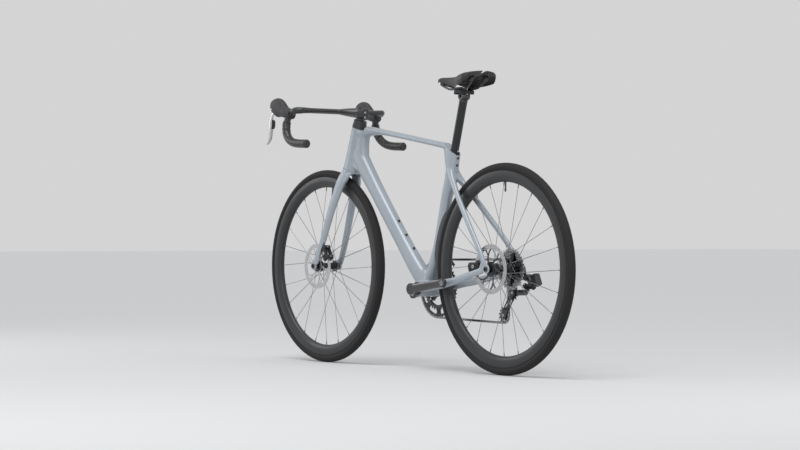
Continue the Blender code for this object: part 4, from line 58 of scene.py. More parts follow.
SEAT_POINT = BB - Vector((0.016, 0.0, 0.0))
HEAD_LOW_Z = 0.681
HEAD_TOP_Z = 0.824
STEERER_RADIUS = 0.0143
X_AXIS = Vector((1.0, 0.0, 0.0))
Y_AXIS = Vector((0.0, 1.0, 0.0))
Z_AXIS = Vector((0.0, 0.0, 1.0))


def steer_point(z):
    return STEER_POINT + STEER_DIR * ((z - STEER_POINT.z) / STEER_DIR.z)


def seat_point(z):
    return SEAT_POINT + SEAT_DIR * ((z - SEAT_POINT.z) / SEAT_DIR.z)


# Shape helpers
def mm(rows):
    """Table in millimetres as rows in metres."""
    return [tuple(round(value / 1000.0, 8) for value in row) for row in rows]


def object_from(name, bm):
    """Object in the scene from a bmesh, which it uses up."""
    mesh = bpy.data.meshes.new(name)
    bm.to_mesh(mesh)
    bm.free()
    obj = bpy.data.objects.new(name, mesh)
    bpy.context.scene.collection.objects.link(obj)
    return obj


def crisp(obj, angle=35.0):
    """Smooth shading, with sharp edges beyond an angle in degrees."""
    obj.data.shade_smooth()
    obj.data.set_sharp_from_angle(angle=math.radians(angle))


def settle(obj, body, stands_for=None):
    """Body that the piece rides on, and the nodes that it stands for."""
    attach(obj, body)
    if stands_for is not None:
        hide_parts(*stands_for)


def new_piece(name, bm, finish, body=None, smooth=35.0, stands_for=None):
    """Object from a bmesh, smooth up to an angle, with its finish, body and what it stands for."""
    bmesh.ops.recalc_face_normals(bm, faces=bm.faces)
    obj = object_from(name, bm)
    crisp(obj, smooth)
    obj.data.materials.append(finish)
    if body:
        settle(obj, body, stands_for)
    return obj


def skin(bm, rings, closed=False, mat=0):
    """Cover rings of equal length with faces; an open run gets caps."""
    loops = [[bm.verts.new(point) for point in ring] for ring in rings]
    count = len(loops[0])
    pairs = list(zip(loops, loops[1:]))
    if closed:
        pairs.append((loops[-1], loops[0]))
    for low, high in pairs:
        for i in range(count):
            j = (i + 1) % count
            bm.faces.new((low[i], low[j], high[j], high[i])).material_index = mat
    if not closed:
        for loop in (loops[0][::-1], loops[-1]):
            bm.faces.new(loop).material_index = mat
    return loops


def around_y(centre, radius, y, angle):
    """Point at a radius and angle round a lateral axis; the angle runs from +X towards +Z."""
    return Vector((centre.x + radius * math.cos(angle), centre.y + y, centre.z + radius * math.sin(angle)))


def lathe(bm, centre, profile, facets, closed=True):
    """(radius, y) profile swept right round a lateral axis: a closed ring, or an open solid of turning."""
    angles = [math.tau * (k + 0.5) / facets for k in range(facets)]
    if closed:
        return skin(bm, [[around_y(centre, r, y, a) for r, y in profile] for a in angles], closed=True)
    return skin(bm, [[around_y(centre, r, y, a) for a in angles] for r, y in profile])


def frame_at(tangent, across=Y_AXIS):
    tangent = tangent.normalized()
    side = (across - tangent * across.dot(tangent)).normalized()
    return side, tangent.cross(side)


def squircle(angle, power):
    """Place on a superellipse; power 2 is a circle, higher is boxier."""
    c, s = math.cos(angle), math.sin(angle)
    return math.copysign(abs(c) ** (2.0 / power), c), math.copysign(abs(s) ** (2.0 / power), s)


def oval(centre, tangent, half_side, half_rise, sides, power=2.0, across=Y_AXIS):
    """Superellipse ring square to the tangent."""
    side, rise = frame_at(tangent, across)
    ring = []
    for i in range(sides):
        u, v = squircle(math.tau * (i + 0.5) / sides, power)
        ring.append(centre + side * (half_side * u) + rise * (half_rise * v))
    return ring


def turned(bm, base, axis, profile, sides=32, mat=0):
    """(radius, reach) profile turned about any axis."""
    axis = axis.normalized()
    across = Y_AXIS if abs(axis.dot(Y_AXIS)) < 0.9 else X_AXIS
    skin(bm, [oval(base + axis * reach, axis, r, r, sides, across=across) for r, reach in profile], mat=mat)


def rod(bm, start, end, radius, sides=24, bevel=0.0):
    """Round bar between two points, with softened ends where a bevel is given."""
    length = (end - start).length
    profile = [(radius, 0.0), (radius, length)]
    if bevel:
        profile = [(radius - bevel, 0.0), (radius, bevel), (radius, length - bevel), (radius - bevel, length)]
    turned(bm, start, end - start, profile, sides)


def smooth_values(knots, steps):
    """Values on a smooth curve through the knots, with even steps between each pair."""
    points = []
    for i in range(len(knots) - 1):
        p0, p1, p2, p3 = (knots[max(i - 1, 0)], knots[i], knots[i + 1], knots[min(i + 2, len(knots) - 1)])
        for k in range(steps):
            t = k / steps
            points.append(0.5 * (2 * p1 + (p2 - p0) * t + (2 * p0 - 5 * p1 + 4 * p2 - p3) * t ** 2
                                 + (3 * p1 - p0 - 3 * p2 + p3) * t ** 3))
    points.append(knots[-1] * 1.0)
    return points


def smooth_outline(points, steps=4):
    return [(v.x, v.y) for v in smooth_values([Vector((x, z, 0.0)) for x, z in points], steps)]


def tangent_at(points, i):
    return points[min(i + 1, len(points) - 1)] - points[max(i - 1, 0)]


def tube(bm, points, radii, sides=24, power=2.0, across=Y_AXIS):
    """Tube through points, square to the path, with a (side, rise) pair of radii at each."""
    skin(bm, [oval(point, tangent_at(points, i), *radii[i], sides, power, across)
              for i, point in enumerate(points)])


def stations_of(rows, steps):
    """Smooth places and half sizes through (x, y, z, half side, half rise) rows."""
    places = smooth_values([Vector(row[:3]) for row in rows], steps)
    sizes = smooth_values([Vector((row[3], row[4], 0.0)) for row in rows], steps)
    return places, [(v.x, v.y) for v in sizes]


def loft(bm, rows, steps=6, sides=32, power=2.4, across=Y_AXIS):
    """Smooth tube through (x, y, z, half side, half rise) rows."""
    tube(bm, *stations_of(rows, steps), sides, power, across)


def mirrored(rows, side):
    return [(x, side * y, z, wide, rise) for x, y, z, wide, rise in rows]


def block(bm, centre, size, turn=None, bevel=0.0, segments=2):
    """Box with softened edges, turned about its centre."""
    spin = turn.to_4x4() if turn else Matrix.Identity(4)
    place = Matrix.Translation(centre) @ spin @ Matrix.Diagonal((*size, 1.0))
    made = bmesh.ops.create_cube(bm, size=1.0, matrix=place)
    if bevel:
        edges = {e for v in made["verts"] for e in v.link_edges}
        bmesh.ops.bevel(bm, geom=list(edges), offset=bevel, segments=segments, affect="EDGES", profile=0.5)


def evaluated_mesh(obj):
    """Mesh of an object with its modifiers or curve settings applied."""
    bpy.context.view_layer.update()
    graph = bpy.context.evaluated_depsgraph_get()
    return bpy.data.meshes.new_from_object(obj.evaluated_get(graph))


def plate(name, loops, y_low, y_high, bevel=0.0003):
    """Flat plate in the side view from (x, z) outlines: the first is its edge, the others are holes."""
    curve = bpy.data.curves.new(name, "CURVE")
    curve.dimensions = "2D"
    curve.fill_mode = "BOTH"
    for loop in loops:
        spline = curve.splines.new("POLY")
        spline.points.add(len(loop) - 1)
        for point, (x, z) in zip(spline.points, loop):
            point.co = (x, z, 0.0, 1.0)
        spline.use_cyclic_u = True
    curve.extrude = (y_high - y_low) / 2 - bevel
    curve.bevel_depth = bevel
    curve.bevel_resolution = 0
    curve.offset = -bevel
    holder = bpy.data.objects.new(name, curve)
    bpy.context.scene.collection.objects.link(holder)
    mesh = evaluated_mesh(holder)
    bpy.data.objects.remove(holder)
    bm = bmesh.new()
    bm.from_mesh(mesh)
    bpy.data.meshes.remove(mesh)
    bm.transform(Matrix.Translation((0.0, (y_low + y_high) / 2, 0.0)) @ Matrix.Rotation(math.pi / 2, 4, "X"))
    bmesh.ops.remove_doubles(bm, verts=bm.verts, dist=1e-6)
    for face in bm.faces:
        face.material_index = 0
    return bm


def merge_in(bm, other):
    """Add another bmesh's shapes to bm."""
    mesh = bpy.data.meshes.new("part")
    other.to_mesh(mesh)
    other.free()
    bm.from_mesh(mesh)
    bpy.data.meshes.remove(mesh)


def ring_point(centre, radius, angle):
    """Point in the side view at a radius and angle from a centre, as (x, z)."""
    return centre.x + radius * math.cos(angle), centre.z + radius * math.sin(angle)


def circle(centre, radius, count):
    return [ring_point(centre, radius, math.tau * k / count) for k in range(count)]


def apply_modifiers(obj):
    """Keep the shape that the modifiers give, and drop them."""
    mesh = evaluated_mesh(obj)
    old = obj.data
    obj.modifiers.clear()
    obj.data = mesh
    bpy.data.meshes.remove(old)


def melt(obj, voxel, rounds):
    """One moulded skin from overlapping shapes, with small fillets where they meet."""
    remesh = obj.modifiers.new("remesh", "REMESH")
    remesh.mode = "VOXEL"
    remesh.voxel_size = voxel
    smooth = obj.modifiers.new("smooth", "SMOOTH")
    smooth.factor = 0.5
    smooth.iterations = rounds
    apply_modifiers(obj)


def carve(obj, shapes, solver="EXACT"):
    """Cut shapes away from obj, each a function that draws into a bmesh."""
    helpers = []
    for k, shape in enumerate(shapes):
        bm = bmesh.new()
        shape(bm)
        bmesh.ops.recalc_face_normals(bm, faces=bm.faces)
        helper = object_from(f"cut_{k}", bm)
        step = obj.modifiers.new(f"cut_{k}", "BOOLEAN")
        step.operation = "DIFFERENCE"
        step.solver = solver
        step.object = helper
        helpers.append(helper)
    apply_modifiers(obj)
    for helper in helpers:
        bpy.data.objects.remove(helper)


def fused(name, shapes, voxel, rounds, cuts, finish, body, stands_for, angle=32.0):
    """Moulded piece: overlapping shapes melted to one skin, then cut with crisp edges."""
    bm = bmesh.new()
    for shape in shapes:
        part = bmesh.new()
        shape(part)
        bmesh.ops.recalc_face_normals(part, faces=part.faces)
        merge_in(bm, part)
    obj = object_from(name, bm)
    melt(obj, voxel * (1.0), rounds)
    carve(obj, cuts, "MANIFOLD")
    obj.data.materials.clear()
    obj.data.materials.append(finish)
    crisp(obj, angle)
    settle(obj, body, stands_for)


def slanted_box(centre, axis, length, half):
    """Square bar along an axis, as a shape."""
    def shape(bm):
        side, rise = frame_at(axis)
        skin(bm, [[centre + axis * reach + side * (half * a) + rise * (half * b)
                   for a, b in ((-1, -1), (1, -1), (1, 1), (-1, 1))] for reach in (0.0, length)])
    return shape


def bar_cut(start, end, radius, sides=48):
    return lambda bm: rod(bm, start, end, radius, sides)


def bore_y(centre, radius, low, high, sides=64):
    """Lateral cylinder, as a shape."""
    return lambda bm: lathe(bm, centre, [(radius, low), (radius, high)], sides, closed=False)


def boss(centre, radius, low, high, bevel=0.0012, sides=48):
    """Lateral boss with softened edges, or a cut where the bevel is nought, as a shape."""
    return lambda bm: rod(bm, Vector((centre.x, low, centre.z)), Vector((centre.x, high, centre.z)), radius,
                          sides, bevel)


def add_node(tree, kind, values=None, links=None, **settings):
    """Node with its settings, socket values and incoming links."""
    made = tree.nodes.new(kind)
    for key, value in settings.items():
        setattr(made, key, value)
    for key, value in (values or {}).items():
        made.inputs[key].default_value = value
    for key, source in (links or {}).items():
        tree.links.new(source, made.inputs[key])
    return made


def colour_mix(tree, a, b, factor):
    """Mix of two colours, each a tuple or a socket."""
    mixer = add_node(tree, "ShaderNodeMix", None, {0: factor}, data_type="RGBA")
    for key, value in ((6, a), (7, b)):
        if isinstance(value, tuple):
            mixer.inputs[key].default_value = (*value, 1.0)
        else:
            tree.links.new(value, mixer.inputs[key])
    return mixer.outputs[2]


def value_mix(tree, a, b, factor):
    return add_node(tree, "ShaderNodeMix", {2: a, 3: b}, {0: factor}, data_type="FLOAT").outputs[0]


def turned_lines(tree, place, centre, scale):
    """Fine rings round a lateral axis through a centre."""
    around = add_node(tree, "ShaderNodeMapping", {"Location": (-centre[0], 0.0, -centre[2])},
                      {"Vector": place}, vector_type="POINT")
    lines = add_node(tree, "ShaderNodeTexWave", {"Scale": scale, "Distortion": 1.5, "Detail": 2.0},
                     {"Vector": around.outputs["Vector"]}, wave_type="RINGS", rings_direction="Y")
    return lines.outputs["Fac"]


def surface(name, base, tone, rough, metal=0.0, patch=16.0, fine=700.0, stretch=(1.0, 1.0, 1.0),
            spread=0.10, bump=0.00005, pebble=0.0, pebble_depth=0.0001, coat=0.0, sheen=0.0, edge_wear_and_glint=None,
            edge_wear_and_glint_amount=0.35, centre=(0.0, 0.0, 0.0), rings=0.0, shine=0.5):
    """Principled material whose colour, gloss and relief all vary at two scales.

    base and tone are mixed in broad patches and fine grain; pebble adds a cell grain; the edge colour
    lightens convex edges, as edge wear and, on the cogs, also as a painted highlight on the teeth;
    rings adds fine turned lines round a lateral axis through centre.
    """
    made = bpy.data.materials.new(name)
    made.use_nodes = True
    made.diffuse_color = (*base, 1.0)
    tree = made.node_tree
    shader = tree.nodes["Principled BSDF"]
    for key, value in (("Metallic", metal), ("Specular IOR Level", shine), ("Coat Weight", coat),
                       ("Coat Roughness", 0.12), ("Sheen Weight", sheen), ("Sheen Roughness", 0.4)):
        shader.inputs[key].default_value = value
    place = add_node(tree, "ShaderNodeTexCoord").outputs["Object"]
    stretched = add_node(tree, "ShaderNodeMapping", {"Scale": stretch}, {"Vector": place}).outputs["Vector"]
    broad = add_node(tree, "ShaderNodeTexNoise", {"Scale": patch, "Detail": 3.0},
                     {"Vector": place}).outputs[0]
    grain = add_node(tree, "ShaderNodeTexNoise", {"Scale": fine, "Detail": 4.0, "Roughness": 0.6},
                     {"Vector": stretched}).outputs[0]
    shift = add_node(tree, "ShaderNodeMath", {1: 0.8, 2: -0.35}, {0: grain}, operation="MULTIPLY_ADD")
    both = add_node(tree, "ShaderNodeMath", {1: 0.9}, {0: broad, 2: shift.outputs[0]},
                    operation="MULTIPLY_ADD", use_clamp=True).outputs[0]
    colour = colour_mix(tree, base, tone, both)
    height = grain
    if rings:
        height = turned_lines(tree, place, centre, rings)
        colour = colour_mix(tree, colour, tuple(min(1.0, c * 1.25 + 0.01) for c in base),
                            value_mix(tree, 0.0, 0.45, height))
    # Convex edges lightened towards the edge colour: edge wear, and on the cogs also a painted highlight on
    # the teeth.
    if edge_wear_and_glint:
        edges = add_node(tree, "ShaderNodeNewGeometry").outputs["Pointiness"]
        ramp = add_node(tree, "ShaderNodeMapRange",
                        {"From Min": 0.52, "From Max": 0.62, "To Max": edge_wear_and_glint_amount}, {"Value": edges})
        colour = colour_mix(tree, colour, edge_wear_and_glint, ramp.outputs["Result"])
    tree.links.new(colour, shader.inputs["Base Color"])
    tree.links.new(value_mix(tree, max(0.04, rough - spread / 2), min(1.0, rough + spread / 2), both),
                   shader.inputs["Roughness"])
    last = add_node(tree, "ShaderNodeBump", {"Strength": 0.6, "Distance": bump}, {"Height": height})
    if pebble:
        cells = add_node(tree, "ShaderNodeTexVoronoi", {"Scale": pebble}, {"Vector": stretched},
                         feature="SMOOTH_F1")
        last = add_node(tree, "ShaderNodeBump", {"Strength": 0.8, "Distance": pebble_depth},
                        {"Height": cells.outputs["Distance"], "Normal": last.outputs["Normal"]})
    tree.links.new(last.outputs["Normal"], shader.inputs["Normal"])
    return made


PAINT = surface("paint_grey_blue", (0.33, 0.37, 0.415), (0.39, 0.43, 0.47), 0.42, 0.30,
                patch=9.0, fine=2600.0, bump=0.00001, coat=0.10)
CARBON = surface("carbon_satin", (0.017, 0.018, 0.020), (0.032, 0.033, 0.036), 0.38,
                 patch=22.0, fine=420.0, stretch=(1.0, 5.0, 1.0), bump=0.00002, coat=0.25)
CARBON_POST = surface("carbon_post", (0.009, 0.010, 0.011), (0.018, 0.019, 0.021), 0.38,
                      patch=26.0, fine=520.0, stretch=(5.0, 5.0, 1.0), bump=0.00002, coat=0.08, shine=0.4)
BLACK_ALLOY = surface("anodised_black", (0.022, 0.023, 0.025), (0.042, 0.043, 0.046), 0.36,
                      0.75, patch=40.0, fine=1800.0, bump=0.00001, edge_wear_and_glint=(0.30, 0.30, 0.31), edge_wear_and_glint_amount=0.45)
CRANK_BLACK = surface("crank_gloss", (0.014, 0.014, 0.015), (0.026, 0.026, 0.028), 0.24, 0.10,
                      patch=24.0, fine=1500.0, bump=0.00001, coat=0.7, edge_wear_and_glint=(0.20, 0.20, 0.21))
SILVER = surface("silver_brushed", (0.52, 0.53, 0.55), (0.60, 0.61, 0.62), 0.34, 1.0,
                 patch=30.0, fine=900.0, stretch=(1.0, 1.0, 9.0), bump=0.00002)
STEEL = surface("bright_steel", (0.50, 0.50, 0.51), (0.66, 0.66, 0.67), 0.26, 1.0,
                patch=60.0, fine=1500.0, bump=0.00001)
SPOKE = surface("spoke_steel", (0.20, 0.20, 0.21), (0.34, 0.34, 0.35), 0.30, 1.0,
                patch=80.0, fine=1500.0, bump=0.00001)
ROTOR_FRONT = surface("rotor_steel_front", (0.50, 0.50, 0.51), (0.62, 0.62, 0.63), 0.30, 1.0,
                      patch=50.0, fine=1600.0, rings=560.0, centre=tuple(FRONT_AXLE), bump=0.00002)
ROTOR_REAR = surface("rotor_steel_rear", (0.42, 0.42, 0.43), (0.54, 0.54, 0.55), 0.32, 1.0,
                     patch=50.0, fine=1600.0, rings=560.0, centre=tuple(REAR_AXLE), bump=0.00002)
RIM_FINISH = surface("rim_satin", (0.019, 0.020, 0.022), (0.032, 0.033, 0.036), 0.44,
                     patch=14.0, fine=300.0, bump=0.00003, coat=0.12, shine=0.4, spread=0.14)
TREAD = surface("tyre_tread", (0.012, 0.012, 0.013), (0.023, 0.022, 0.021), 0.72,
                patch=30.0, fine=900.0, shine=0.28, bump=0.00012, spread=0.2)
SIDEWALL = surface("tyre_sidewall", (0.010, 0.010, 0.011), (0.018, 0.017, 0.017), 0.64,
                   patch=26.0, fine=1300.0, shine=0.28, bump=0.00006, pebble=1500.0, pebble_depth=0.00006)
TAPE = surface("bar_tape", (0.009, 0.009, 0.010), (0.019, 0.019, 0.020), 0.38,
               patch=60.0, fine=900.0, bump=0.00008, pebble=700.0, pebble_depth=0.00016, coat=0.20)
HOOD = surface("hood_rubber_finish", (0.019, 0.019, 0.021), (0.032, 0.032, 0.034), 0.60,
               patch=40.0, fine=1100.0, bump=0.00006, pebble=900.0, sheen=0.10)
CHAIN_FINISH = surface("chain_plate", (0.115, 0.115, 0.12), (0.20, 0.20, 0.205), 0.30, 1.0,
                       patch=90.0, fine=1700.0, bump=0.00002, edge_wear_and_glint=(0.42, 0.42, 0.43))
# Its lighter edge colour is partly tooth wear and partly a painted highlight on the teeth.
COG_FINISH = surface("cog_steel", (0.24, 0.24, 0.245), (0.36, 0.36, 0.365), 0.32, 1.0,
                     patch=50.0, fine=1500.0, rings=420.0, centre=tuple(REAR_AXLE), bump=0.00002,
                     edge_wear_and_glint=(0.55, 0.55, 0.56))
RING_FINISH = surface("chainring_black", (0.026, 0.027, 0.029), (0.055, 0.056, 0.059), 0.34,
                      0.8, patch=40.0, fine=1500.0, rings=380.0, centre=tuple(BB), bump=0.00002,
                      edge_wear_and_glint=(0.38, 0.38, 0.39))
LEATHER = surface("saddle_cover_finish", (0.010, 0.010, 0.011), (0.019, 0.019, 0.020), 0.48,
                  patch=34.0, fine=1200.0, bump=0.00008, pebble=620.0, pebble_depth=0.00022, sheen=0.08)
PLASTIC = surface("moulded_plastic", (0.022, 0.022, 0.024), (0.036, 0.036, 0.038), 0.48,
                  patch=40.0, fine=1300.0, bump=0.00004, pebble=1600.0, pebble_depth=0.00003)
PAD = surface("pad_friction", (0.085, 0.075, 0.065), (0.15, 0.13, 0.11), 0.82, 0.1,
              patch=120.0, fine=1800.0, bump=0.0001)


# Wheels
TYRE_HALF = 0.0142
CASING_RADIUS = 0.0135
RIM_DEPTH = 0.0360
BED_HALF = 0.0120
FLANGES = {"front": (0.0260, -0.0350), "rear": (0.0330, -0.0195)}
ROTOR_Y = {"front": 0.0396, "rear": 0.0557}
HUB_HALF = {"front": 0.0497, "rear": 0.0707}
VALVE_ANGLE = {"front": math.radians(98.0), "rear": math.radians(91.5)}
FLANGE_RADIUS = 0.0195
SPOKES_PER_SIDE = 12
ROTOR_ARMS = 6
WHEELS = {"front": FRONT_AXLE, "rear": REAR_AXLE}
WHEEL_FACETS = 192


def tyre_profile():
    """Round casing with a flatter crown and a bead that tucks behind the rim's edge."""
    half = [(TYRE_RADIUS, 0.0)]
    for k in range(1, 13):
        angle = k / 12 * math.radians(128)
        half.append((TYRE_RADIUS - CASING_RADIUS + CASING_RADIUS * math.cos(angle),
                     TYRE_HALF * math.sin(angle) ** 0.92))
    half.append((RIM_RADIUS - 0.0006, BED_HALF - 0.0010))
    return half + [(r, -y) for r, y in reversed(half[1:])]


def make_tyre(side):
    """Tyre with a fine step pattern on both shoulders."""
    axle = WHEELS[side]
    bm = bmesh.new()
    profile = tyre_profile()
    count = len(profile)
    for k, loop in enumerate(lathe(bm, axle, profile, WHEEL_FACETS)):
        for i in (3, 4, 5, count - 3, count - 4, count - 5):
            if (k + i % 2) % 2 == 0:
                out = Vector((loop[i].co.x - axle.x, 0.0, loop[i].co.z - axle.z)).normalized()
                loop[i].co -= out * 0.00035
    for face in bm.faces:
        middle = face.calc_center_median()
        reach = math.hypot(middle.x - axle.x, middle.z - axle.z)
        face.material_index = 0 if reach > TYRE_RADIUS - 0.0075 else 1
    made = new_piece(f"{side}_tyre_dressed", bm, TREAD, f"{side}_wheel", 50.0, [f"{side}_tyre"])
    made.data.materials.append(SIDEWALL)


def make_rim(side):
    """Deep rim with rounded hooks, a full flank and a round nose, and its valve."""
    axle = WHEELS[side]
    rows = mm([(0.4, 9.8), (1.0, 11.2), (0.2, 12.4), (-3.0, 13.1), (-9.0, 13.9), (-15.0, 14.1), (-21.0, 13.6),
               (-27.0, 11.8), (-31.5, 9.2), (-34.5, 6.0), (-35.8, 2.8)])
    half = [(RIM_RADIUS + rise, y) for rise, y in rows]
    bm = bmesh.new()
    nose = [(RIM_RADIUS - RIM_DEPTH, 0.0)]
    lathe(bm, axle, half + nose + [(r, -y) for r, y in reversed(half)], WHEEL_FACETS)
    new_piece(f"{side}_rim_dressed", bm, RIM_FINISH, f"{side}_wheel", 40.0, [f"{side}_rim"])
    angle = VALVE_ANGLE[side]
    out = Vector((math.cos(angle), 0.0, math.sin(angle)))
    base = axle + out * (RIM_RADIUS - RIM_DEPTH)
    bm = bmesh.new()
    turned(bm, base + out * 0.001, -out, mm([(3.4, -1), (3.4, 2.4), (3, 3)]), 20)
    turned(bm, base, -out, mm([(2.9, 0), (2.9, 15), (2.3, 16), (2.3, 18.5)]), 20)
    turned(bm, base - out * 0.0185, -out,
           mm([(1.8, 0), (3, 0.4), (3.2, 2), (3, 10), (2.2, 12.5), (1.2, 13.2)]), 20)
    new_piece(f"{side}_valve", bm, BLACK_ALLOY, f"{side}_wheel", 40.0)


def spoke_ends(axle, flange_y, index, offset):
    """Start at the flange and end at the rim; even spokes lead and odd ones trail."""
    pitch = math.tau / SPOKES_PER_SIDE
    rim_angle = pitch * index + offset
    way = 1 if index % 2 == 0 else -1
    weave = 0.0003 * way
    start = around_y(axle, FLANGE_RADIUS - 0.0012, flange_y + weave * 3, rim_angle + 2 * pitch * way)
    return start, around_y(axle, RIM_RADIUS - RIM_DEPTH + 0.001, weave, rim_angle)


def make_spokes(side, label, flange_y, offset):
    """Bladed spokes with round ends at the flange and slim nipples at the rim."""
    bm = bmesh.new()
    blade = 0.00045, 0.00125
    for index in range(SPOKES_PER_SIDE):
        start, end = spoke_ends(WHEELS[side], flange_y, index, offset)
        axis = (end - start).normalized()
        length = (end - start).length
        stops = ((0.0, 0.0010, 0.0010), (0.010, 0.0010, 0.0010), (0.022, *blade),
                 (length - 0.030, *blade), (length - 0.020, 0.0009, 0.0009), (length, 0.0009, 0.0009))
        skin(bm, [oval(start + axis * reach, axis, half_y, half_up, 8) for reach, half_y, half_up in stops])
        turned(bm, end - axis * 0.0125, axis, mm([(1.2, 0), (1.7, 1), (1.8, 12.5)]), 8, mat=1)
        turned(bm, start - axis * 0.0001, Y_AXIS * (1 if index % 2 == 0 else -1),
               mm([(1.6, -0.2), (1.7, 1.4), (0.9, 1.9)]), 10)
    made = new_piece(f"{side}_spokes_{label}_dressed", bm, SPOKE, f"{side}_wheel", 50.0,
                     [f"{side}_spokes_{label}"])
    made.data.materials.append(BLACK_ALLOY)


def hub_profile(side):
    """Hub shell from its left end cap over both flanges to its right one."""
    left, right = FLANGES[side]
    half = HUB_HALF[side]
    seat = ROTOR_Y[side] - 0.0012
    bore, cap = 0.0063, 0.0095
    flange = mm([(19.1, 1.5), (19.5, 1), (19.5, -1), (19.1, -1.5)])
    waist = mm([(15, 2.6), (12.8, 6), (11.8, 12)])
    tail = {"rear": [(15, 2.2), (14.5, 4.4), (9.5, 4.5)],
            "front": [(15, 2.6), (12.8, 6), (11.2, 8.8), (9.5, 9)]}[side]
    return ([(bore, half), (cap - 0.0006, half), (cap, half - 0.0006), (cap, seat), (0.0176, seat),
             (0.0180, seat - 0.0006), (0.0168, left + 0.0052), (0.0172, left + 0.0026)]
            + [(r, left + y) for r, y in flange] + [(r, left - y) for r, y in waist]
            + [(0.0114, (left + right) / 2)] + [(r, right + y) for r, y in waist[::-1] + flange]
            + [(r, right - y) for r, y in mm(tail)]
            + [(cap, -half + 0.0006), (cap - 0.0006, -half), (bore, -half)])


def make_hub(side):
    """Turned hub shell with end caps, and the rotor's lock ring."""
    axle = WHEELS[side]
    bm = bmesh.new()
    lathe(bm, axle, hub_profile(side), 72)
    new_piece(f"{side}_hub_dressed", bm, BLACK_ALLOY, f"{side}_wheel", 30.0, [f"{side}_hub"])
    low = ROTOR_Y[side] + 0.0009
    teeth = [ring_point(axle, 0.0200 if k % 4 < 2 else 0.0192, math.tau * k / 64) for k in range(64)]
    lock = plate(f"{side}_lock_ring", [teeth, circle(axle, 0.0122, 40)], low, low + 0.0028, 0.0002)
    new_piece(f"{side}_rotor_lock_ring", lock, BLACK_ALLOY, f"{side}_wheel", 30.0)


def rotor_arm(axle, start):
    """Outlines of one branching arm: a stem from the carrier that forks towards the track."""
    stem = ((0.0225, 0.0, 0.0042), (0.0330, 0.10, 0.0032), (0.0440, 0.24, 0.0027), (0.0560, 0.40, 0.0025),
            (0.0665, 0.55, 0.0036))
    branch = ((0.0440, 0.24, 0.0024), (0.0540, 0.20, 0.0022), (0.0665, 0.14, 0.0034))
    shapes = []
    for rows in (stem, branch):
        line = [around_y(axle, radius, 0.0, start + angle) for radius, angle, _ in rows]
        left, right = [], []
        for i, point in enumerate(line):
            run = tangent_at(line, i).normalized()
            normal = Vector((-run.z, 0.0, run.x)) * rows[i][2]
            left.append(point + normal)
            right.append(point - normal)
        shapes.append([(p.x, p.z) for p in left + right[::-1]])
    return shapes


def drilled_holes(axle):
    """Two staggered rows of holes in the disc's track."""
    holes = []
    for k in range(36):
        angle = math.tau * (k + 0.5) / 36
        holes.append(circle(around_y(axle, (0.0695, 0.0725, 0.0755)[k % 3], 0.0, angle), 0.0019, 10))
        angle += math.tau / 72
        holes.append(circle(around_y(axle, (0.0750, 0.0700, 0.0722)[k % 3], 0.0, angle), 0.0014, 8))
    return holes


def make_rotor(side):
    """Brake disc: drilled steel track on forked arms, round a splined carrier."""
    axle = WHEELS[side]
    y = ROTOR_Y[side]
    low, high = y - 0.0009, y + 0.0009
    front = side == "front"
    wave = [ring_point(axle, 0.0652 + 0.0011 * math.cos(12 * a), a)
            for a in (math.tau * k / 144 for k in range(144))]
    bm = plate(f"{side}_track", [circle(axle, 0.0800, 144), wave] + drilled_holes(axle), low, high, 0.00015)
    rotor = new_piece(f"{side}_rotor_dressed", bm, ROTOR_FRONT if front else ROTOR_REAR, f"{side}_wheel",
                      30.0, [f"{side}_rotor"])
    rotor.data.materials.append(BLACK_ALLOY)
    arms, rivets = bmesh.new(), bmesh.new()
    for k in range(ROTOR_ARMS):
        start = math.tau * k / ROTOR_ARMS
        for outline in rotor_arm(axle, start):
            merge_in(arms, plate("arm", [outline], low + 0.0001, high - 0.0001, 0.00015))
        for reach in (0.50, 0.14):
            turned(rivets, around_y(axle, 0.0660, y - 0.0010, start + reach), Y_AXIS,
                   mm([(1.6, 0), (2.1, 0.1), (2.1, 1.9), (1.6, 2)]), 14)
    merge_in(arms, plate("carrier", [circle(axle, 0.0245, 72), circle(axle, 0.0101, 48)], low, high, 0.0002))
    new_piece(f"{side}_rotor_arms", arms, SILVER if front else BLACK_ALLOY, f"{side}_wheel", 30.0)
    new_piece(f"{side}_rotor_rivets", rivets, STEEL, f"{side}_wheel", 40.0)


for side in WHEELS:
    make_tyre(side)
    make_rim(side)
    make_hub(side)
    make_rotor(side)
    make_spokes(side, "left", FLANGES[side][0], 0.0)
    make_spokes(side, "right", FLANGES[side][1], math.pi / SPOKES_PER_SIDE)


# Frame and fork
SEAT_CUT_Z = 0.7255
SEAT_CUT_SLOPE = math.radians(35.0)
CUT_AXIS = Vector((-math.sin(SEAT_CUT_SLOPE), 0.0, math.cos(SEAT_CUT_SLOPE)))
POST_RADIUS = 0.0136
BEARING_HEIGHT = 0.0070
AXLE_BORE = 0.0063
TYRE_ROOM = 0.0065
REAR_FLAT = (Vector((-0.4270, ROTOR_Y["rear"], 0.3357)), Matrix.Rotation(math.radians(11.0), 3, "Y"))
FRONT_FLAT = (Vector((0.4537, ROTOR_Y["front"], 0.3987)), Matrix.Rotation(math.radians(-116.0), 3, "Y"))
LOW, TOP = steer_point(HEAD_LOW_Z), steer_point(HEAD_TOP_Z)
CROWN_TOP = LOW - STEER_DIR * 0.0003
SIDES = {"left": 1, "right": -1}

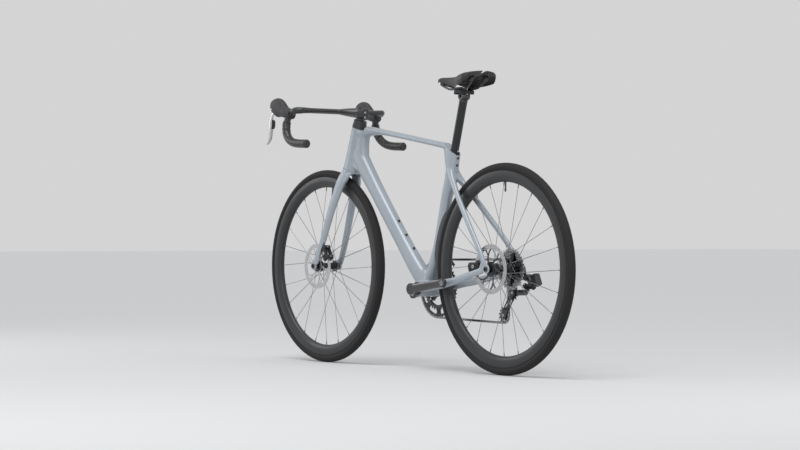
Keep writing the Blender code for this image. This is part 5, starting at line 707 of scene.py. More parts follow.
DOWN_TUBE = mm([(-90, 0, 288, 24.5, 33), (-38.2, 0, 340, 23.2, 30), (20, 0, 403.7, 21.8, 27.5),
                (77, 0, 468.3, 20.8, 26.5), (137.2, 0, 537.5, 20.6, 26.5), (196.1, 0, 606.6, 20.8, 27.2),
                (243.5, 0, 662, 21.2, 30), (280.5, 0, 707, 21.6, 32), (306, 0, 738, 21.6, 32)])
NECK = mm([(302, 0, 682, 20, 30), (293, 0, 700, 19.6, 40), (290, 0, 735, 19, 37), (287, 0, 765, 18.6, 34),
           (280, 0, 800, 18.4, 33)])
BRACKET_FILLET = mm([(-88, 0, 290, 23.5, 33), (-84, 0, 316, 20.5, 26), (-85, 0, 333, 18.8, 17)])
TOP_TUBE = mm([(290, 0, 807, 21.5, 20), (260, 0, 807, 21, 19.5), (230, 0, 809, 20.4, 16),
               (180, 0, 805.6, 19.6, 11.2), (130, 0, 799.2, 19, 9.3), (0, 0, 778, 18.6, 9),
               (-125, 0, 756.8, 18.1, 8.9), (-185, 0, 746.8, 17.7, 9.9), (-232, 0, 737.5, 17.2, 12)])
SEAT_SECTIONS = mm([(742, -187, -272, 17.8), (725.5, -191.3, -266.5, 18), (700, -195.8, -259.4, 18.1),
                    (668, -203, -252.4, 18.1), (645, -199.8, -248, 18), (612, -190, -237, 17.5),
                    (575, -179, -219, 16.8), (500, -159.5, -201, 16.6), (410, -137, -171.5, 18),
                    (340, -109, -146, 21.5), (285, -84, -126, 24)])
STAY_CROTCH = mm([(-256, -17, 627, 8.5, 11), (-249, 0, 637, 8.5, 11), (-256, 17, 627, 8.5, 11)])
CHAIN_STAY = [(BB.x - 0.004, 0.0270, BB.z + 0.006, 0.0115, 0.0190)] + mm([
    (-160, 30, 283, 9.5, 17.2), (-230, 35, 290.5, 8, 15), (-310, 49, 301.5, 7.8, 12.5),
    (-400, 64, 321, 7, 11),
    (-445, 70, 330, 5.8, 10.6), (-476, 71.6, 336.5, 4.5, 11)])
SEAT_STAY = mm([(-223, 6, 686, 9, 12), (-233, 11.5, 656, 9.8, 13.5), (-252, 18, 629, 8.8, 12),
                (-285, 29, 592, 7.8, 10.4), (-318.7, 38, 554.3, 7.4, 9.9), (-386.4, 54, 479.3, 7, 9.5),
                (-422, 61, 439, 6.6, 9.2), (-450, 66.5, 407, 6, 9), (-468, 70, 383, 5.2, 9.2),
                (-482, 71.6, 357, 4.5, 10)])
FORK_LEG = mm([(348, 19, 664, 14, 24), (360, 32.5, 638, 10, 22.5), (374, 36.2, 610, 9.2, 21.2),
               (388.5, 38.8, 580, 8.6, 19.8), (407, 42.2, 540, 8.1, 18.2), (424, 45, 496, 7.6, 16.8),
               (460, 49.7, 408, 6.6, 14.8), (488, 53.7, 354, 4.6, 14)])


def lofted(rows, sides, power, side=1, across=Y_AXIS):
    """Smooth tube through rows for one side of the bike, as a shape."""
    return lambda bm: loft(bm, mirrored(rows, side), 6, sides, power, across)


def swept_ovals(bm, start, direction, rows, steps, sides, power_at):
    """Smooth run of ovals through (reach, half side, half rise) rows along a direction."""
    sizes = smooth_values([Vector(row) for row in rows], steps)
    skin(bm, [oval(start(v.x), direction, v.y, v.z, sides, power_at(v.x)) for v in sizes])


def head_tube(bm):
    """Head tube by (share of its height, half width, half depth), slightly boxy."""
    rows = [(-0.06, 0.0292, 0.0334), (0.08, 0.0283, 0.0326), (0.30, 0.0266, 0.0312), (0.55, 0.0252, 0.0300),
            (0.80, 0.0244, 0.0286), (1.08, 0.0240, 0.0270)]
    back = STEER_NORMAL * -0.006
    swept_ovals(bm, lambda share: LOW.lerp(TOP, share) + back, STEER_DIR, rows, 6, 48, lambda share: 2.25)


def seat_tube(bm):
    """Tube with its front and rear edges given at each height, narrow ahead of the rear tyre."""
    loft(bm, [((front + back) / 2, 0, z, half, (front - back) * 0.48)
              for z, front, back, half in SEAT_SECTIONS],
         6, 36, 2.4)


def bb_shell(bm):
    lathe(bm, BB, mm([(24.5, -43), (25.5, -42), (26.2, -20), (26.2, 20), (25.5, 42), (24.5, 43)]), 48,
          closed=False)


def end_plate(axle, radius, first, last, rows, near, far):
    """Flat plate round an axle: an arc, and a smooth line through (x, z) rows beside the axle."""
    def shape(bm):
        edge = [(axle.x + radius * math.cos(math.radians(a)),
                 TYRE_RADIUS + radius * math.sin(math.radians(a)))
                for a in range(first, last, 10)]
        edge += smooth_outline([(axle.x + x, TYRE_RADIUS + z) for x, z in mm(rows)])
        skin(bm, [[Vector((x, y, z)) for x, z in edge] for y in sorted((near, far))])
    return shape


def dropout(side):
    return end_plate(REAR_AXLE, 0.0150, 130, 331, [(30, -14), (37, -2), (34, 10), (24, 26), (8, 26)],
                     side * 0.0711, side * 0.0753)


def fork_end(side):
    return end_plate(FRONT_AXLE, 0.0140, 170, 371, [(11, 12), (2, 24), (-14, 22), (-20, 10)],
                     side * 0.0502, side * 0.0578)


def wheel_room(axle, chamfer, corner):
    """Space round a tyre, with its corners taken off, as a shape."""
    reach, half = TYRE_RADIUS + TYRE_ROOM, TYRE_HALF + TYRE_ROOM
    rows = [(reach - chamfer, -half), (reach - chamfer * 0.3, -half + corner * 0.4), (reach, -half + corner)]
    return lambda bm: lathe(bm, axle, rows + [(r, -y) for r, y in rows[::-1]], 160, closed=False)


def flat_cut(place):
    """Flat seat for a caliper, as a shape."""
    spot, turn = place
    return lambda bm: block(bm, spot + turn @ Vector((0.0, 0.0, 0.02)), (0.060, 0.040, 0.040), turn)


def wedge_pocket(bm):
    centre = seat_point(SEAT_CUT_Z - 0.012) - SEAT_NORMAL * (POST_RADIUS + 0.004)
    block(bm, centre, (0.010, 0.0156, 0.060), Matrix.Rotation(SEAT_ANGLE - math.pi / 2, 3, "Y"))


def make_frame():
    shapes = [lofted(DOWN_TUBE, 40, 2.7), head_tube, lofted(NECK, 36, 3.0), lofted(BRACKET_FILLET, 32, 2.4),
              lofted(TOP_TUBE, 36, 2.6), seat_tube, bb_shell, lofted(STAY_CROTCH, 24, 2.0, across=X_AXIS)]
    for side in SIDES.values():
        shapes += [lofted(CHAIN_STAY, 28, 2.5, side), lofted(SEAT_STAY, 28, 2.4, side), dropout(side)]
    far = STEER_DIR * 0.02
    post = seat_point(0.600)
    cuts = [bar_cut(LOW - far, TOP + far, STEERER_RADIUS + 0.0027),
            bar_cut(LOW - far, LOW + STEER_DIR * BEARING_HEIGHT, 0.0238),
            bar_cut(TOP - STEER_DIR * BEARING_HEIGHT, TOP + far, 0.0208),
            slanted_box(LOW, -STEER_DIR, 0.12, 0.06), slanted_box(TOP, STEER_DIR, 0.12, 0.06),
            bar_cut(post, post + SEAT_DIR * 0.25, POST_RADIUS + 0.0003),
            wedge_pocket, slanted_box(seat_point(SEAT_CUT_Z), CUT_AXIS, 0.08, 0.06),
            bore_y(BB, 0.0208, -0.06, 0.06), bore_y(REAR_AXLE, AXLE_BORE, -0.1, 0.1, 40),
            wheel_room(REAR_AXLE, 0.004, 0.006), flat_cut(REAR_FLAT)]
    fused("frame_dressed", shapes, 0.0021, 5, cuts, PAINT, "frame", ["frame"])


def onto_frame(place, out):
    """Point of the frame's skin that is met on the way in towards a place."""
    hit, point, _, _ = bpy.data.objects["frame_dressed"].ray_cast(place + out * 0.05, -out)
    return point if hit else place


def make_bosses():
    """Bottle cage bolts, each a thin washer and a socket head, and two plugs behind the seat tube."""
    bolts, plugs = bmesh.new(), bmesh.new()
    bolt = mm([(5.2, 0), (5.2, 1.2), (4.6, 1.7), (4.1, 1.7), (4.1, 4), (3.5, 4.8), (1.9, 4.8), (1.9, 2.4),
               (0.2, 2.4)])
    plug = mm([(4.6, 0), (4.6, 1.9), (3.9, 2.3), (0.2, 2.4)])
    for made, out, sink, profile, places in (
            (bolts, Vector((-0.4500, 0.0, 0.3960)).normalized(), 0.0006, bolt,
             [(65.8, 0, 499.2), (22.7, 0, 452.5), (-18.5, 0, 406.1)]),
            (bolts, Vector((0.9492, 0.0, 0.3146)), 0.0006, bolt, [(-148.5, 0, 482), (-165.5, 0, 544)]),
            (plugs, -SEAT_NORMAL, 0.0015, plug, [(-257.2, 0, 702.3), (-250.8, 0, 679.2)])):
        for place in mm(places):
            turned(made, onto_frame(Vector(place), out) - out * sink, out, profile, 28)
    new_piece("bottle_bolts", bolts, BLACK_ALLOY, "frame", 30.0)
    new_piece("seat_tube_plugs", plugs, PLASTIC, "frame", 30.0)


def crown(bm):
    """Fork crown from the head tube's oval to a wide, boxier foot."""
    rows = mm([(-6, 28.5, 32.5), (6, 29.2, 32.5), (14, 32.5, 30.5), (20, 36, 26.5), (26, 38, 21.5)])
    back = STEER_NORMAL * -0.004
    swept_ovals(bm, lambda reach: CROWN_TOP + back - STEER_DIR * reach, -STEER_DIR, rows, 5, 48,
                lambda reach: 2.2 + 18 * max(reach, 0.0))


def crown_arch(bm):
    """Room between the fork legs behind the steerer."""
    block(bm, Vector((0.3017, 0.0, 0.6213)), (0.1233, 0.0450, 0.0825), None, 0.0080, 4)


def make_fork():
    shapes = [crown] + [lofted(FORK_LEG, 32, 2.3, side) for side in SIDES.values()]
    shapes += [fork_end(side) for side in SIDES.values()]
    cuts = [bore_y(FRONT_AXLE, AXLE_BORE, -0.1, 0.1, 40), wheel_room(FRONT_AXLE, 0.006, 0.008),
            flat_cut(FRONT_FLAT), crown_arch, slanted_box(CROWN_TOP, STEER_DIR, 0.12, 0.06)]
    fused("fork_dressed", shapes, 0.0019, 5, cuts, PAINT, "steering", ["fork"])
    bm = bmesh.new()
    rod(bm, CROWN_TOP - STEER_DIR * 0.020, steer_point(0.884), STEERER_RADIUS, 40)
    new_piece("steerer_tube", bm, CARBON, "steering", 30.0)
    make_crown_seam()


def make_crown_seam():
    """Dark ring that fills the joint between head tube and crown."""
    bm = bmesh.new()
    seam = LOW - STEER_NORMAL * 0.0045
    skin(bm, [oval(seam + STEER_DIR * reach, STEER_DIR, 0.0283 * grow, 0.0322 * grow, 64, 2.22)
              for reach, grow in ((-0.0007, 1.0), (-0.0005, 1.03), (0.0005, 1.03), (0.0007, 1.0))])
    ring = new_piece("crown_seam", bm, PLASTIC, None, 30.0)
    carve(ring, [bar_cut(LOW - STEER_DIR * 0.01, LOW + STEER_DIR * 0.01, STEERER_RADIUS + 0.0004, 40)])
    crisp(ring)
    settle(ring, "steering")


def make_headset():
    """Cover between the stem and the head tube, in three rings with shadow lines between them."""
    start = TOP + STEER_DIR * 0.0008
    back = STEER_NORMAL * -0.004
    outer = mm([(0, 23.1, 26.1), (0.6, 23.5, 26.5), (5.8, 22.8, 25.8), (6.4, 22.3, 25.3), (6.8, 22.3, 25.3),
                (7.4, 22.6, 25.6), (15, 21.6, 24.6), (15.6, 21.1, 24.1), (16, 21.1, 24.1), (16.6, 21.4, 24.4),
                (25.4, 20.6, 23.6), (26, 20.1, 23.1)])
    rings = [oval(start + back + STEER_DIR * rise, STEER_DIR, a, b, 56, 2.2) for rise, a, b in outer]
    rings += [oval(start + STEER_DIR * rise, STEER_DIR, 0.0146, 0.0146, 56) for rise in (0.0260, 0.0)]
    bm = bmesh.new()
    skin(bm, rings, closed=True)
    new_piece("headset_cover_dressed", bm, PLASTIC, "steering", 28.0, ["headset_cover"])


make_frame()
make_bosses()
make_fork()
make_headset()


# Bar, stem, tape and levers
BAR_X, BAR_Z = 0.4030, 0.8840
BAR_HALF = 0.1850
BAR_RADIUS = 0.0118
HOOD_Y = 0.1850
LEVER_PIVOT = (0.5560, 0.8930)
COVER_TOP = TOP + STEER_DIR * (0.0008 + 0.0260 + 0.0003)
STEM_CLAMP = steer_point(0.8740)
TAPE_STEP = 0.0010
TAPE_PITCH = 0.0150
BAR_KNOTS = mm([(0, -40, 0), (3.5, -15, 0), (20, -1, -1), (42, 0, -8), (59, 3.5, -26), (63, 8, -53),
                (52, 13, -83), (25, 17.5, -105), (-15, 20.5, -116), (-80, 22, -120)])


def drop_path(side, steps):
    """Centre line of one drop, from the flat top to its end."""
    knots = [Vector((BAR_X + x, side * (BAR_HALF + y), BAR_Z + z)) for x, y, z in BAR_KNOTS]
    return smooth_values(knots, steps)


def drop_tube(side):
    sizes = smooth_values([Vector((0.0100, 0.0165, 0.0)), Vector((0.0109, 0.0140, 0.0))]
                          + [Vector((BAR_RADIUS, BAR_RADIUS, 0.0))] * 8, 8)
    radii = [(v.x, v.y) for v in sizes]
    return lambda bm: tube(bm, drop_path(side, 8), radii, 32, 2.0, across=Vector((0.0, -side, 1.0)))


def bar_top(bm):
    """Flat wing of the bar between the two bends, deepest where the stem meets it."""
    rings = []
    for k in range(41):
        share = -1.0 + k / 20
        centre = Vector((BAR_X + 0.004 * (1.0 - share * share), share * 0.1500, BAR_Z))
        rings.append(oval(centre, Y_AXIS, 0.0190 - 0.0030 * share * share, 0.0095, 40, 2.3, across=X_AXIS))
    skin(bm, rings)


def stem(bm):
    """Stem by (share of its reach, half width, half height), flattened towards the bar."""
    front = Vector((BAR_X + 0.002, 0.0, BAR_Z))
    rows = [(-0.20, 0.0172, 0.0162), (-0.10, 0.0196, 0.0185), (0.0, 0.0205, 0.0195), (0.35, 0.0200, 0.0165),
            (0.60, 0.0215, 0.0145), (0.80, 0.0250, 0.0122), (0.92, 0.0300, 0.0104), (1.0, 0.0345, 0.0093)]
    sizes = smooth_values([Vector(row) for row in rows], 6)
    tube(bm, [STEM_CLAMP.lerp(front, v.x) for v in sizes], [(v.y, v.z) for v in sizes], 40, 2.7)


def make_bar():
    """One-piece bar and stem, with the cap on its steerer and two bolts behind it."""
    far = STEER_DIR * 0.05
    cuts = [bar_cut(STEM_CLAMP - far, STEM_CLAMP + far, STEERER_RADIUS + 0.0003),
            slanted_box(COVER_TOP, -STEER_DIR, 0.05, 0.05)]
    fused("bar_stem_dressed", [bar_top, stem, drop_tube(1), drop_tube(-1)], 0.0014, 4, cuts, CARBON,
          "steering", ["handlebar_stem"])
    bm = bmesh.new()
    turned(bm, steer_point(0.884) + STEER_DIR * 0.0004, STEER_DIR,
           mm([(14, 0), (14, 1.6), (13.2, 2.4), (4, 2.6), (3.8, 1), (0.4, 1)]), 40)
    new_piece("steerer_cap", bm, PLASTIC, "steering", 30.0)
    bolts = bmesh.new()
    for z in (0.8750, 0.8580):
        hit, point, _, _ = bpy.data.objects["bar_stem_dressed"].ray_cast(Vector((0.20, 0.0, z)), X_AXIS)
        if hit:
            turned(bolts, point + X_AXIS * 0.0012, -X_AXIS,
                   mm([(3.4, -2), (3.4, 2), (2.9, 2.6), (1.7, 2.6), (1.7, 0.4), (0.2, 0.4)]), 20)
    new_piece("stem_bolts", bolts, STEEL, "steering", 30.0)


def even_path(points, step):
    """Evenly spaced points along a line of points."""
    out = [points[0].copy()]
    left = step
    for a, b in zip(points, points[1:]):
        span = (b - a).length
        while left <= span:
            out.append(a.lerp(b, left / span))
            left += step
        left -= span
    return out


def make_tape(label, side):
    """Cushioned tape wound round the drop: each turn laps over the last with a rounded edge."""
    path = even_path(drop_path(side, 12)[54:], TAPE_STEP)
    count = 44
    rings = []
    for k, point in enumerate(path):
        ring_side, rise = frame_at(tangent_at(path, k), Vector((0.0, -side, 1.0)))
        ring = []
        for i in range(count):
            angle = math.tau * i / count
            turn = (k * TAPE_STEP / TAPE_PITCH + side * i / count) % 1.0
            lap = 0.00115 * (1.0 - turn) ** 0.8 * min(1.0, turn / 0.09) ** 0.6
            radius = BAR_RADIUS + 0.0019 + lap + 0.00020 * math.sin(math.pi * turn)
            ring.append(point + ring_side * (radius * math.cos(angle)) + rise * (radius * math.sin(angle)))
        rings.append(ring)
    bm, plug = bmesh.new(), bmesh.new()
    skin(bm, rings)
    new_piece(f"bar_tape_{label}_dressed", bm, TAPE, "steering", 55.0, [f"bar_tape_{label}"])
    axis = (path[-1] - path[-3]).normalized()
    turned(plug, path[-1] + axis * 0.0002, axis,
           mm([(14, 0), (14.7, 0.8), (14.8, 2.6), (13.8, 4.4), (11.2, 5.6),
               (7, 6), (6.4, 5.2), (0.2, 5)]), 40)
    new_piece(f"bar_plug_{label}_dressed", plug, PLASTIC, "steering", 30.0, [f"bar_plug_{label}"])


def hood_rings(y):
    """Rings of the rubber hood, with fine grip ribs on its flanks."""
    places, sizes = stations_of([(x, y, z, wide, rise) for x, z, wide, rise in mm([
        (444, 870, 16.5, 16), (456, 872.2, 18.2, 18.2), (472, 876.5, 18.8, 19), (486, 881.5, 17.6, 20.5),
        (498, 887.5, 16.6, 24.8), (508, 892, 16.2, 29.5), (519, 896, 16, 32.8), (531, 899.5, 15.6, 32.5),
        (542, 902, 14.8, 30), (553, 904, 13.6, 25.2), (562, 905.2, 11.8, 19.8), (568.5, 905.8, 8.8, 14),
        (571.5, 906, 5, 8)])], 8)
    rings = []
    for i, point in enumerate(places):
        ring_side, rise = frame_at(tangent_at(places, i))
        ring = []
        for k in range(48):
            angle = math.tau * (k + 0.5) / 48
            u, v = squircle(angle, 2.35)
            c, s = math.cos(angle), math.sin(angle)
            spot = point + ring_side * (sizes[i][0] * u) + rise * (sizes[i][1] * v)
            grip = max(0.0, abs(c) - 0.35) * max(0.0, 1.0 - abs((spot.x - 0.492) / 0.026) ** 4)
            rib = 0.00055 * grip * max(0.0, math.sin((spot.x + 0.35 * spot.z) / 0.0042 * math.tau))
            ring.append(spot + (ring_side * c + rise * s) * rib)
        rings.append(ring)
    return rings


def make_hood(label, side):
    """Rubber hood with grip ribs, bored for the bar and slotted for the lever, and its pin."""
    bm = bmesh.new()
    skin(bm, hood_rings(side * HOOD_Y))
    hood = new_piece(f"brake_hood_{label}_dressed", bm, HOOD, None, 40.0)
    half = 0.0029
    centre = Vector((LEVER_PIVOT[0], side * HOOD_Y, LEVER_PIVOT[1]))
    path = drop_path(side, 8)
    for cut in (lambda bm: tube(bm, path, [(0.0122, 0.0122)] * len(path), 32, 2.0,
                                across=Vector((0.0, -side, 1.0))),
                bore_y(centre, 0.0066, -half, half, 36),
                lambda bm: block(bm, centre + Vector((0.0045, 0.0, -0.0120)), (0.0240, 2 * half, 0.0240))):
        carve(hood, [cut])
    crisp(hood, 40.0)
    settle(hood, "steering", [f"brake_hood_{label}"])
    bm = bmesh.new()
    for out in (1, -1):
        turned(bm, centre + Y_AXIS * (out * 0.0112), Y_AXIS * out,
               mm([(3, 0), (3, 1.6), (2.4, 2.1), (1.3, 2.1), (1.3, 0.8), (0.2, 0.8)]), 20)
    new_piece(f"lever_pin_{label}", bm, STEEL, "steering", 30.0)


def make_lever(label, side):
    """Lever blade: hooked outwards at its tip, full in its middle, on a flat lug."""
    y = side * HOOD_Y
    body = f"brake_lever_{label}"
    bm = bmesh.new()
    loft(bm, [(x, y, z, wide, rise) for x, z, wide, rise in mm([
        (564, 877, 2.6, 6), (566.8, 871.5, 3.4, 6.1), (570, 864, 4.4, 6.4), (573, 853, 5.6, 7.5),
        (575, 840, 6.4, 8.5), (575.8, 826, 6.7, 8.7), (576.8, 812, 6.6, 8.3), (578.6, 800, 6.2, 7.3),
        (582.2, 789.5, 5.5, 6.2), (587.8, 781.5, 4.7, 5.2), (594.5, 775.8, 3.9, 4.3), (599.5, 772.8, 3, 3.4),
        (602.2, 771.4, 1.6, 1.8)])], 7, 36, 2.4)
    new_piece(f"{body}_dressed", bm, SILVER, body, 40.0, [body])
    px, pz = LEVER_PIVOT
    outline = [(px + 0.0059 * math.cos(math.radians(a)), pz + 0.0059 * math.sin(math.radians(a)))
               for a in range(0, 211, 10)] + mm([(558.5, 874.5), (564, 872.5), (569.6, 874.5)])
    lug = plate("lug", [outline], y - 0.0025, y + 0.0025, 0.0004)
    new_piece(f"lever_lug_{label}", lug, SILVER, body, 30.0)


def make_paddle(label, side):
    """Shift paddle: a thin blade behind the lever, wider on its outer side."""
    y = side * HOOD_Y
    rings = []
    for z, reach_in, reach_out in mm([(856, 5.2, 4.8), (852, 5.4, 7.8), (847, 5.5, 9.4), (840, 5.5, 9.9),
                                      (832, 5.5, 9.9), (827.5, 5.4, 8.4), (824.3, 5, 6)]):
        x = 0.5625 + 0.14 * (0.8560 - z)
        low, high = sorted((y - side * reach_out, y + side * reach_in))
        rings.append([Vector((x - back, place, z)) for back, place in (
            (0.0026, low + 0.0006), (0.0026, high - 0.0006), (0.0019, high), (0.0008, high),
            (0.0002, high - 0.0008), (0.0002, low + 0.0008), (0.0008, low), (0.0019, low))])
    bm = bmesh.new()
    skin(bm, rings)
    body = f"shift_paddle_{label}"
    new_piece(f"{body}_dressed", bm, PLASTIC, body, 40.0, [body])


make_bar()
for label, side in SIDES.items():
    make_tape(label, side)
    make_hood(label, side)
    make_lever(label, side)
    make_paddle(label, side)


# Drivetrain
LINK_PITCH = 0.0127
COG_TEETH = (10, 11, 12, 13, 14, 15, 17, 19, 21, 24, 28, 33)
ENGAGED_COG = 5
LARGE_TEETH, LARGE_Y = 48, -0.0475
SMALL_TEETH, SMALL_Y = 35, -0.0410
PULLEY_TEETH = 12
GUIDE = Vector((-0.4830, 0.0, 0.2640))
PULLEY_SPACING = 0.0870
CAGE_GUESS = math.radians(-63.0)
ROLLER_RADIUS = 0.00385
RING_HOLE = 0.0560
CRANK_LENGTH = 0.1725
CRANK_TILT = math.radians(7.5)
CRANK_OUT, CRANK_IN = 0.0760, 0.0630
CARRIER_ARMS, RING_WINDOWS, SPIDER_ARMS = 6, 8, 4
CUP_FACE = 0.0430


def pitch_radius(teeth):
    return teeth * LINK_PITCH / math.tau


def cog_y(index):
    return -0.0665 + 0.0035 * index


CAGE_Y = cog_y(ENGAGED_COG)


def tangent_run(start, end):
    """Straight run between two circles, each (x, z, radius, turn), as two points."""
    ax, az, ar, turn_a = start
    bx, bz, br, turn_b = end
    dx, dz = bx - ax, bz - az
    span = math.hypot(dx, dz)
    k = turn_b * br - turn_a * ar
    run = math.sqrt(span * span - k * k)
    ux, uz = (run * dx - k * dz) / span ** 2, (run * dz + k * dx) / span ** 2
    return (ax - turn_a * ar * uz, az + turn_a * ar * ux), (bx - turn_b * br * uz, bz + turn_b * br * ux)


def tension_place(angle):
    return GUIDE + Vector((PULLEY_SPACING * math.cos(angle), 0.0, PULLEY_SPACING * math.sin(angle)))


def chain_course(angle):
    """Runs and arcs of the pitch line, from the top run round to the engaged cog."""
    wheels = ((REAR_AXLE, COG_TEETH[ENGAGED_COG], 1), (BB, LARGE_TEETH, 1),
              (tension_place(angle), PULLEY_TEETH, 1), (GUIDE, PULLEY_TEETH, -1))
    circles = [(centre.x, centre.z, pitch_radius(teeth), turn) for centre, teeth, turn in wheels]
    runs = [tangent_run(circles[i], circles[(i + 1) % 4]) for i in range(4)]
    pieces = []
    for i in range(4):
        first, last = runs[i]
        pieces.append(("run", (first, last, i), math.dist(first, last)))
        wheel = circles[(i + 1) % 4]
        leave = runs[(i + 1) % 4][0]
        a0 = math.atan2(last[1] - wheel[1], last[0] - wheel[0])
        a1 = math.atan2(leave[1] - wheel[1], leave[0] - wheel[0])
        sweep = (a0 - a1) % math.tau if wheel[3] > 0 else (a1 - a0) % math.tau
        pieces.append(("arc", (wheel, a0, i), sweep * wheel[2]))
    return pieces


def course_length(angle):
    return sum(piece[2] for piece in chain_course(angle))


def solve_cage():
    """Cage angle at which the chain holds a whole, even number of links."""
    links = 2 * round(course_length(CAGE_GUESS) / (2 * LINK_PITCH))
    low, high = CAGE_GUESS - 0.35, CAGE_GUESS + 0.35
    rising = course_length(high) > course_length(low)
    for _ in range(50):
        middle = (low + high) / 2
        if (course_length(middle) < links * LINK_PITCH) == rising:
            low = middle
        else:
            high = middle
    return (low + high) / 2, links


CAGE_ANGLE, LINKS = solve_cage()
TENSION = tension_place(CAGE_ANGLE)
COURSE = chain_course(CAGE_ANGLE)
RUN_Y = ((CAGE_Y, LARGE_Y), (LARGE_Y, CAGE_Y), (CAGE_Y, CAGE_Y), (CAGE_Y, CAGE_Y))


def on_course(distance):
    """Place on the chain's pitch line at a distance along it."""
    left = distance % (LINKS * LINK_PITCH)
    for kind, data, length in COURSE:
        if left > length:
            left -= length
            continue
        if kind == "run":
            (x0, z0), (x1, z1), i = data
            t = left / length
            y0, y1 = RUN_Y[i]
            return Vector((x0 + (x1 - x0) * t, y0 + (y1 - y0) * t, z0 + (z1 - z0) * t))
        wheel, a0, i = data
        angle = a0 - wheel[3] * left / wheel[2]
        return Vector((wheel[0] + wheel[2] * math.cos(angle), RUN_Y[i][1],
                       wheel[1] + wheel[2] * math.sin(angle)))
    return on_course(0.0)


def roller_angle(piece):
    """Angle of the first roller that lies on an arc of the course."""
    start = sum(length for _, _, length in COURSE[:piece])
    wheel, a0, _ = COURSE[piece][1]
    first = math.ceil(start / LINK_PITCH) * LINK_PITCH
    return a0 - wheel[3] * (first - start) / wheel[2]


def link_plate(bm, start, end, low, high):
    """Figure-of-eight plate between two rollers, from one depth to another."""
    half, waist = 0.0040, 0.0030
    along = (end - start).normalized()
    side = (Y_AXIS - along * along.dot(Y_AXIS)).normalized()
    rise = along.cross(side)
    edge = []
    for centre, turn, sign in ((end, 0.0, 1.0), (start, math.pi, -1.0)):
        for degrees in range(-75, 76, 30):
            a = turn + math.radians(degrees)
            edge.append(centre + along * (half * math.cos(a)) + rise * (half * math.sin(a)))
        edge.append((start + end) / 2 + rise * (waist * sign))
    skin(bm, [[p + side * depth for p in edge] for depth in (low, high)])


def make_chain():
    """Inner and outer plates by turns, with a roller and a riveted pin at each pitch."""
    plates, pins = bmesh.new(), bmesh.new()
    roller = [(0.0034, 0.0), (ROLLER_RADIUS, 0.0003), (ROLLER_RADIUS, 0.00194), (0.0034, 0.00224)]
    pin = mm([(1.1, 0), (1.7, 0.1), (1.7, 4.8), (1.1, 4.9)])
    stops = [on_course(k * LINK_PITCH) for k in range(LINKS)]
    for k, start in enumerate(stops):
        inner, outer = (0.00118, 0.00172) if k % 2 else (0.00178, 0.00238)
        for sign in (-1, 1):
            link_plate(plates, start, stops[(k + 1) % LINKS], sign * inner, sign * outer)
        turned(plates, start - Y_AXIS * 0.00112, Y_AXIS, roller, 14)
        turned(pins, start - Y_AXIS * 0.00245, Y_AXIS, pin, 10)
    new_piece("chain_dressed", plates, CHAIN_FINISH, "frame", 35.0, ["chain"])
    new_piece("chain_pins", pins, STEEL, "frame", 35.0)


def toothed(centre, teeth, phase):
    """Sprocket edge as (x, z) points: round roller seats and blunt teeth."""
    radius = pitch_radius(teeth)
    half = [(0.10, -0.00385), (0.19, -0.0033), (0.27, -0.0018), (0.35, 0.0006), (0.43, 0.0024)]
    tooth = [(-share, rise) for share, rise in reversed(half)] + half
    return [ring_point(centre, radius + rise, phase + math.tau * (k + share) / teeth)
            for k in range(teeth) for share, rise in tooth]


def window(centre, inner, outer, start, end, steps):
    """Rounded sector-shaped opening in a plate."""
    trim = 0.10 * (end - start)
    high, low = outer - 0.10 * (outer - inner), inner + 0.10 * (outer - inner)
    stops = [(outer, start + trim), (outer, end - trim), (high, end), (low, end), (inner, end - trim * 1.4),
             (inner, start + trim * 1.4), (low, start), (high, start)]
    points = []
    for (r0, a0), (r1, a1) in zip(stops, stops[1:] + stops[:1]):
        for k in range(steps if r0 == r1 else 1):
            t = k / steps
            points.append(ring_point(centre, r0 + (r1 - r0) * t, a0 + (a1 - a0) * t))
    return points


def windows(centre, inner, outer, count, offset, gap, steps=6):
    """Even ring of such openings, with a gap on each side of every arm."""
    made = []
    for k in range(count):
        start = math.tau * k / count + offset
        made.append(window(centre, inner, outer, start + gap, start + math.tau / count - gap, steps))
    return made


def make_cassette():
    """Twelve separate cogs, the large ones on a dark open carrier, with a lock ring outside."""
    bright, dark = bmesh.new(), bmesh.new()
    engaged = roller_angle(7)
    for i, teeth in enumerate(COG_TEETH):
        middle = cog_y(i)
        phase = engaged if i == ENGAGED_COG else 0.1 * i
        inner = max(0.0152, pitch_radius(teeth) - 0.0042 - 0.0065)
        loops = [toothed(REAR_AXLE, teeth, phase), circle(REAR_AXLE, inner, 72)]
        merge_in(bright, plate("cog", loops, middle - 0.0008, middle + 0.0008))
        if inner > 0.022:
            loops = [circle(REAR_AXLE, inner + 0.0006, 72), circle(REAR_AXLE, 0.0150, 48)]
            loops += windows(REAR_AXLE, 0.0182, inner - 0.0012, CARRIER_ARMS, 0.06 * i, 0.17)
            merge_in(dark, plate("cog_carrier", loops, middle - 0.0006, middle + 0.0006))
    lathe(dark, REAR_AXLE, mm([(10.4, -68.3), (10.4, -24.6), (15.2, -24.6), (15.2, -68.3)]), 48)
    lathe(bright, REAR_AXLE, mm([(10.8, -68.4), (10.8, -67.1), (14, -67.1), (15, -67.6), (15, -68.1),
                                 (14.5, -68.4)]), 48)
    new_piece("cassette_cogs", bright, COG_FINISH, "cassette", 30.0, ["cassette"])
    new_piece("cassette_carrier", dark, BLACK_ALLOY, "cassette", 30.0)


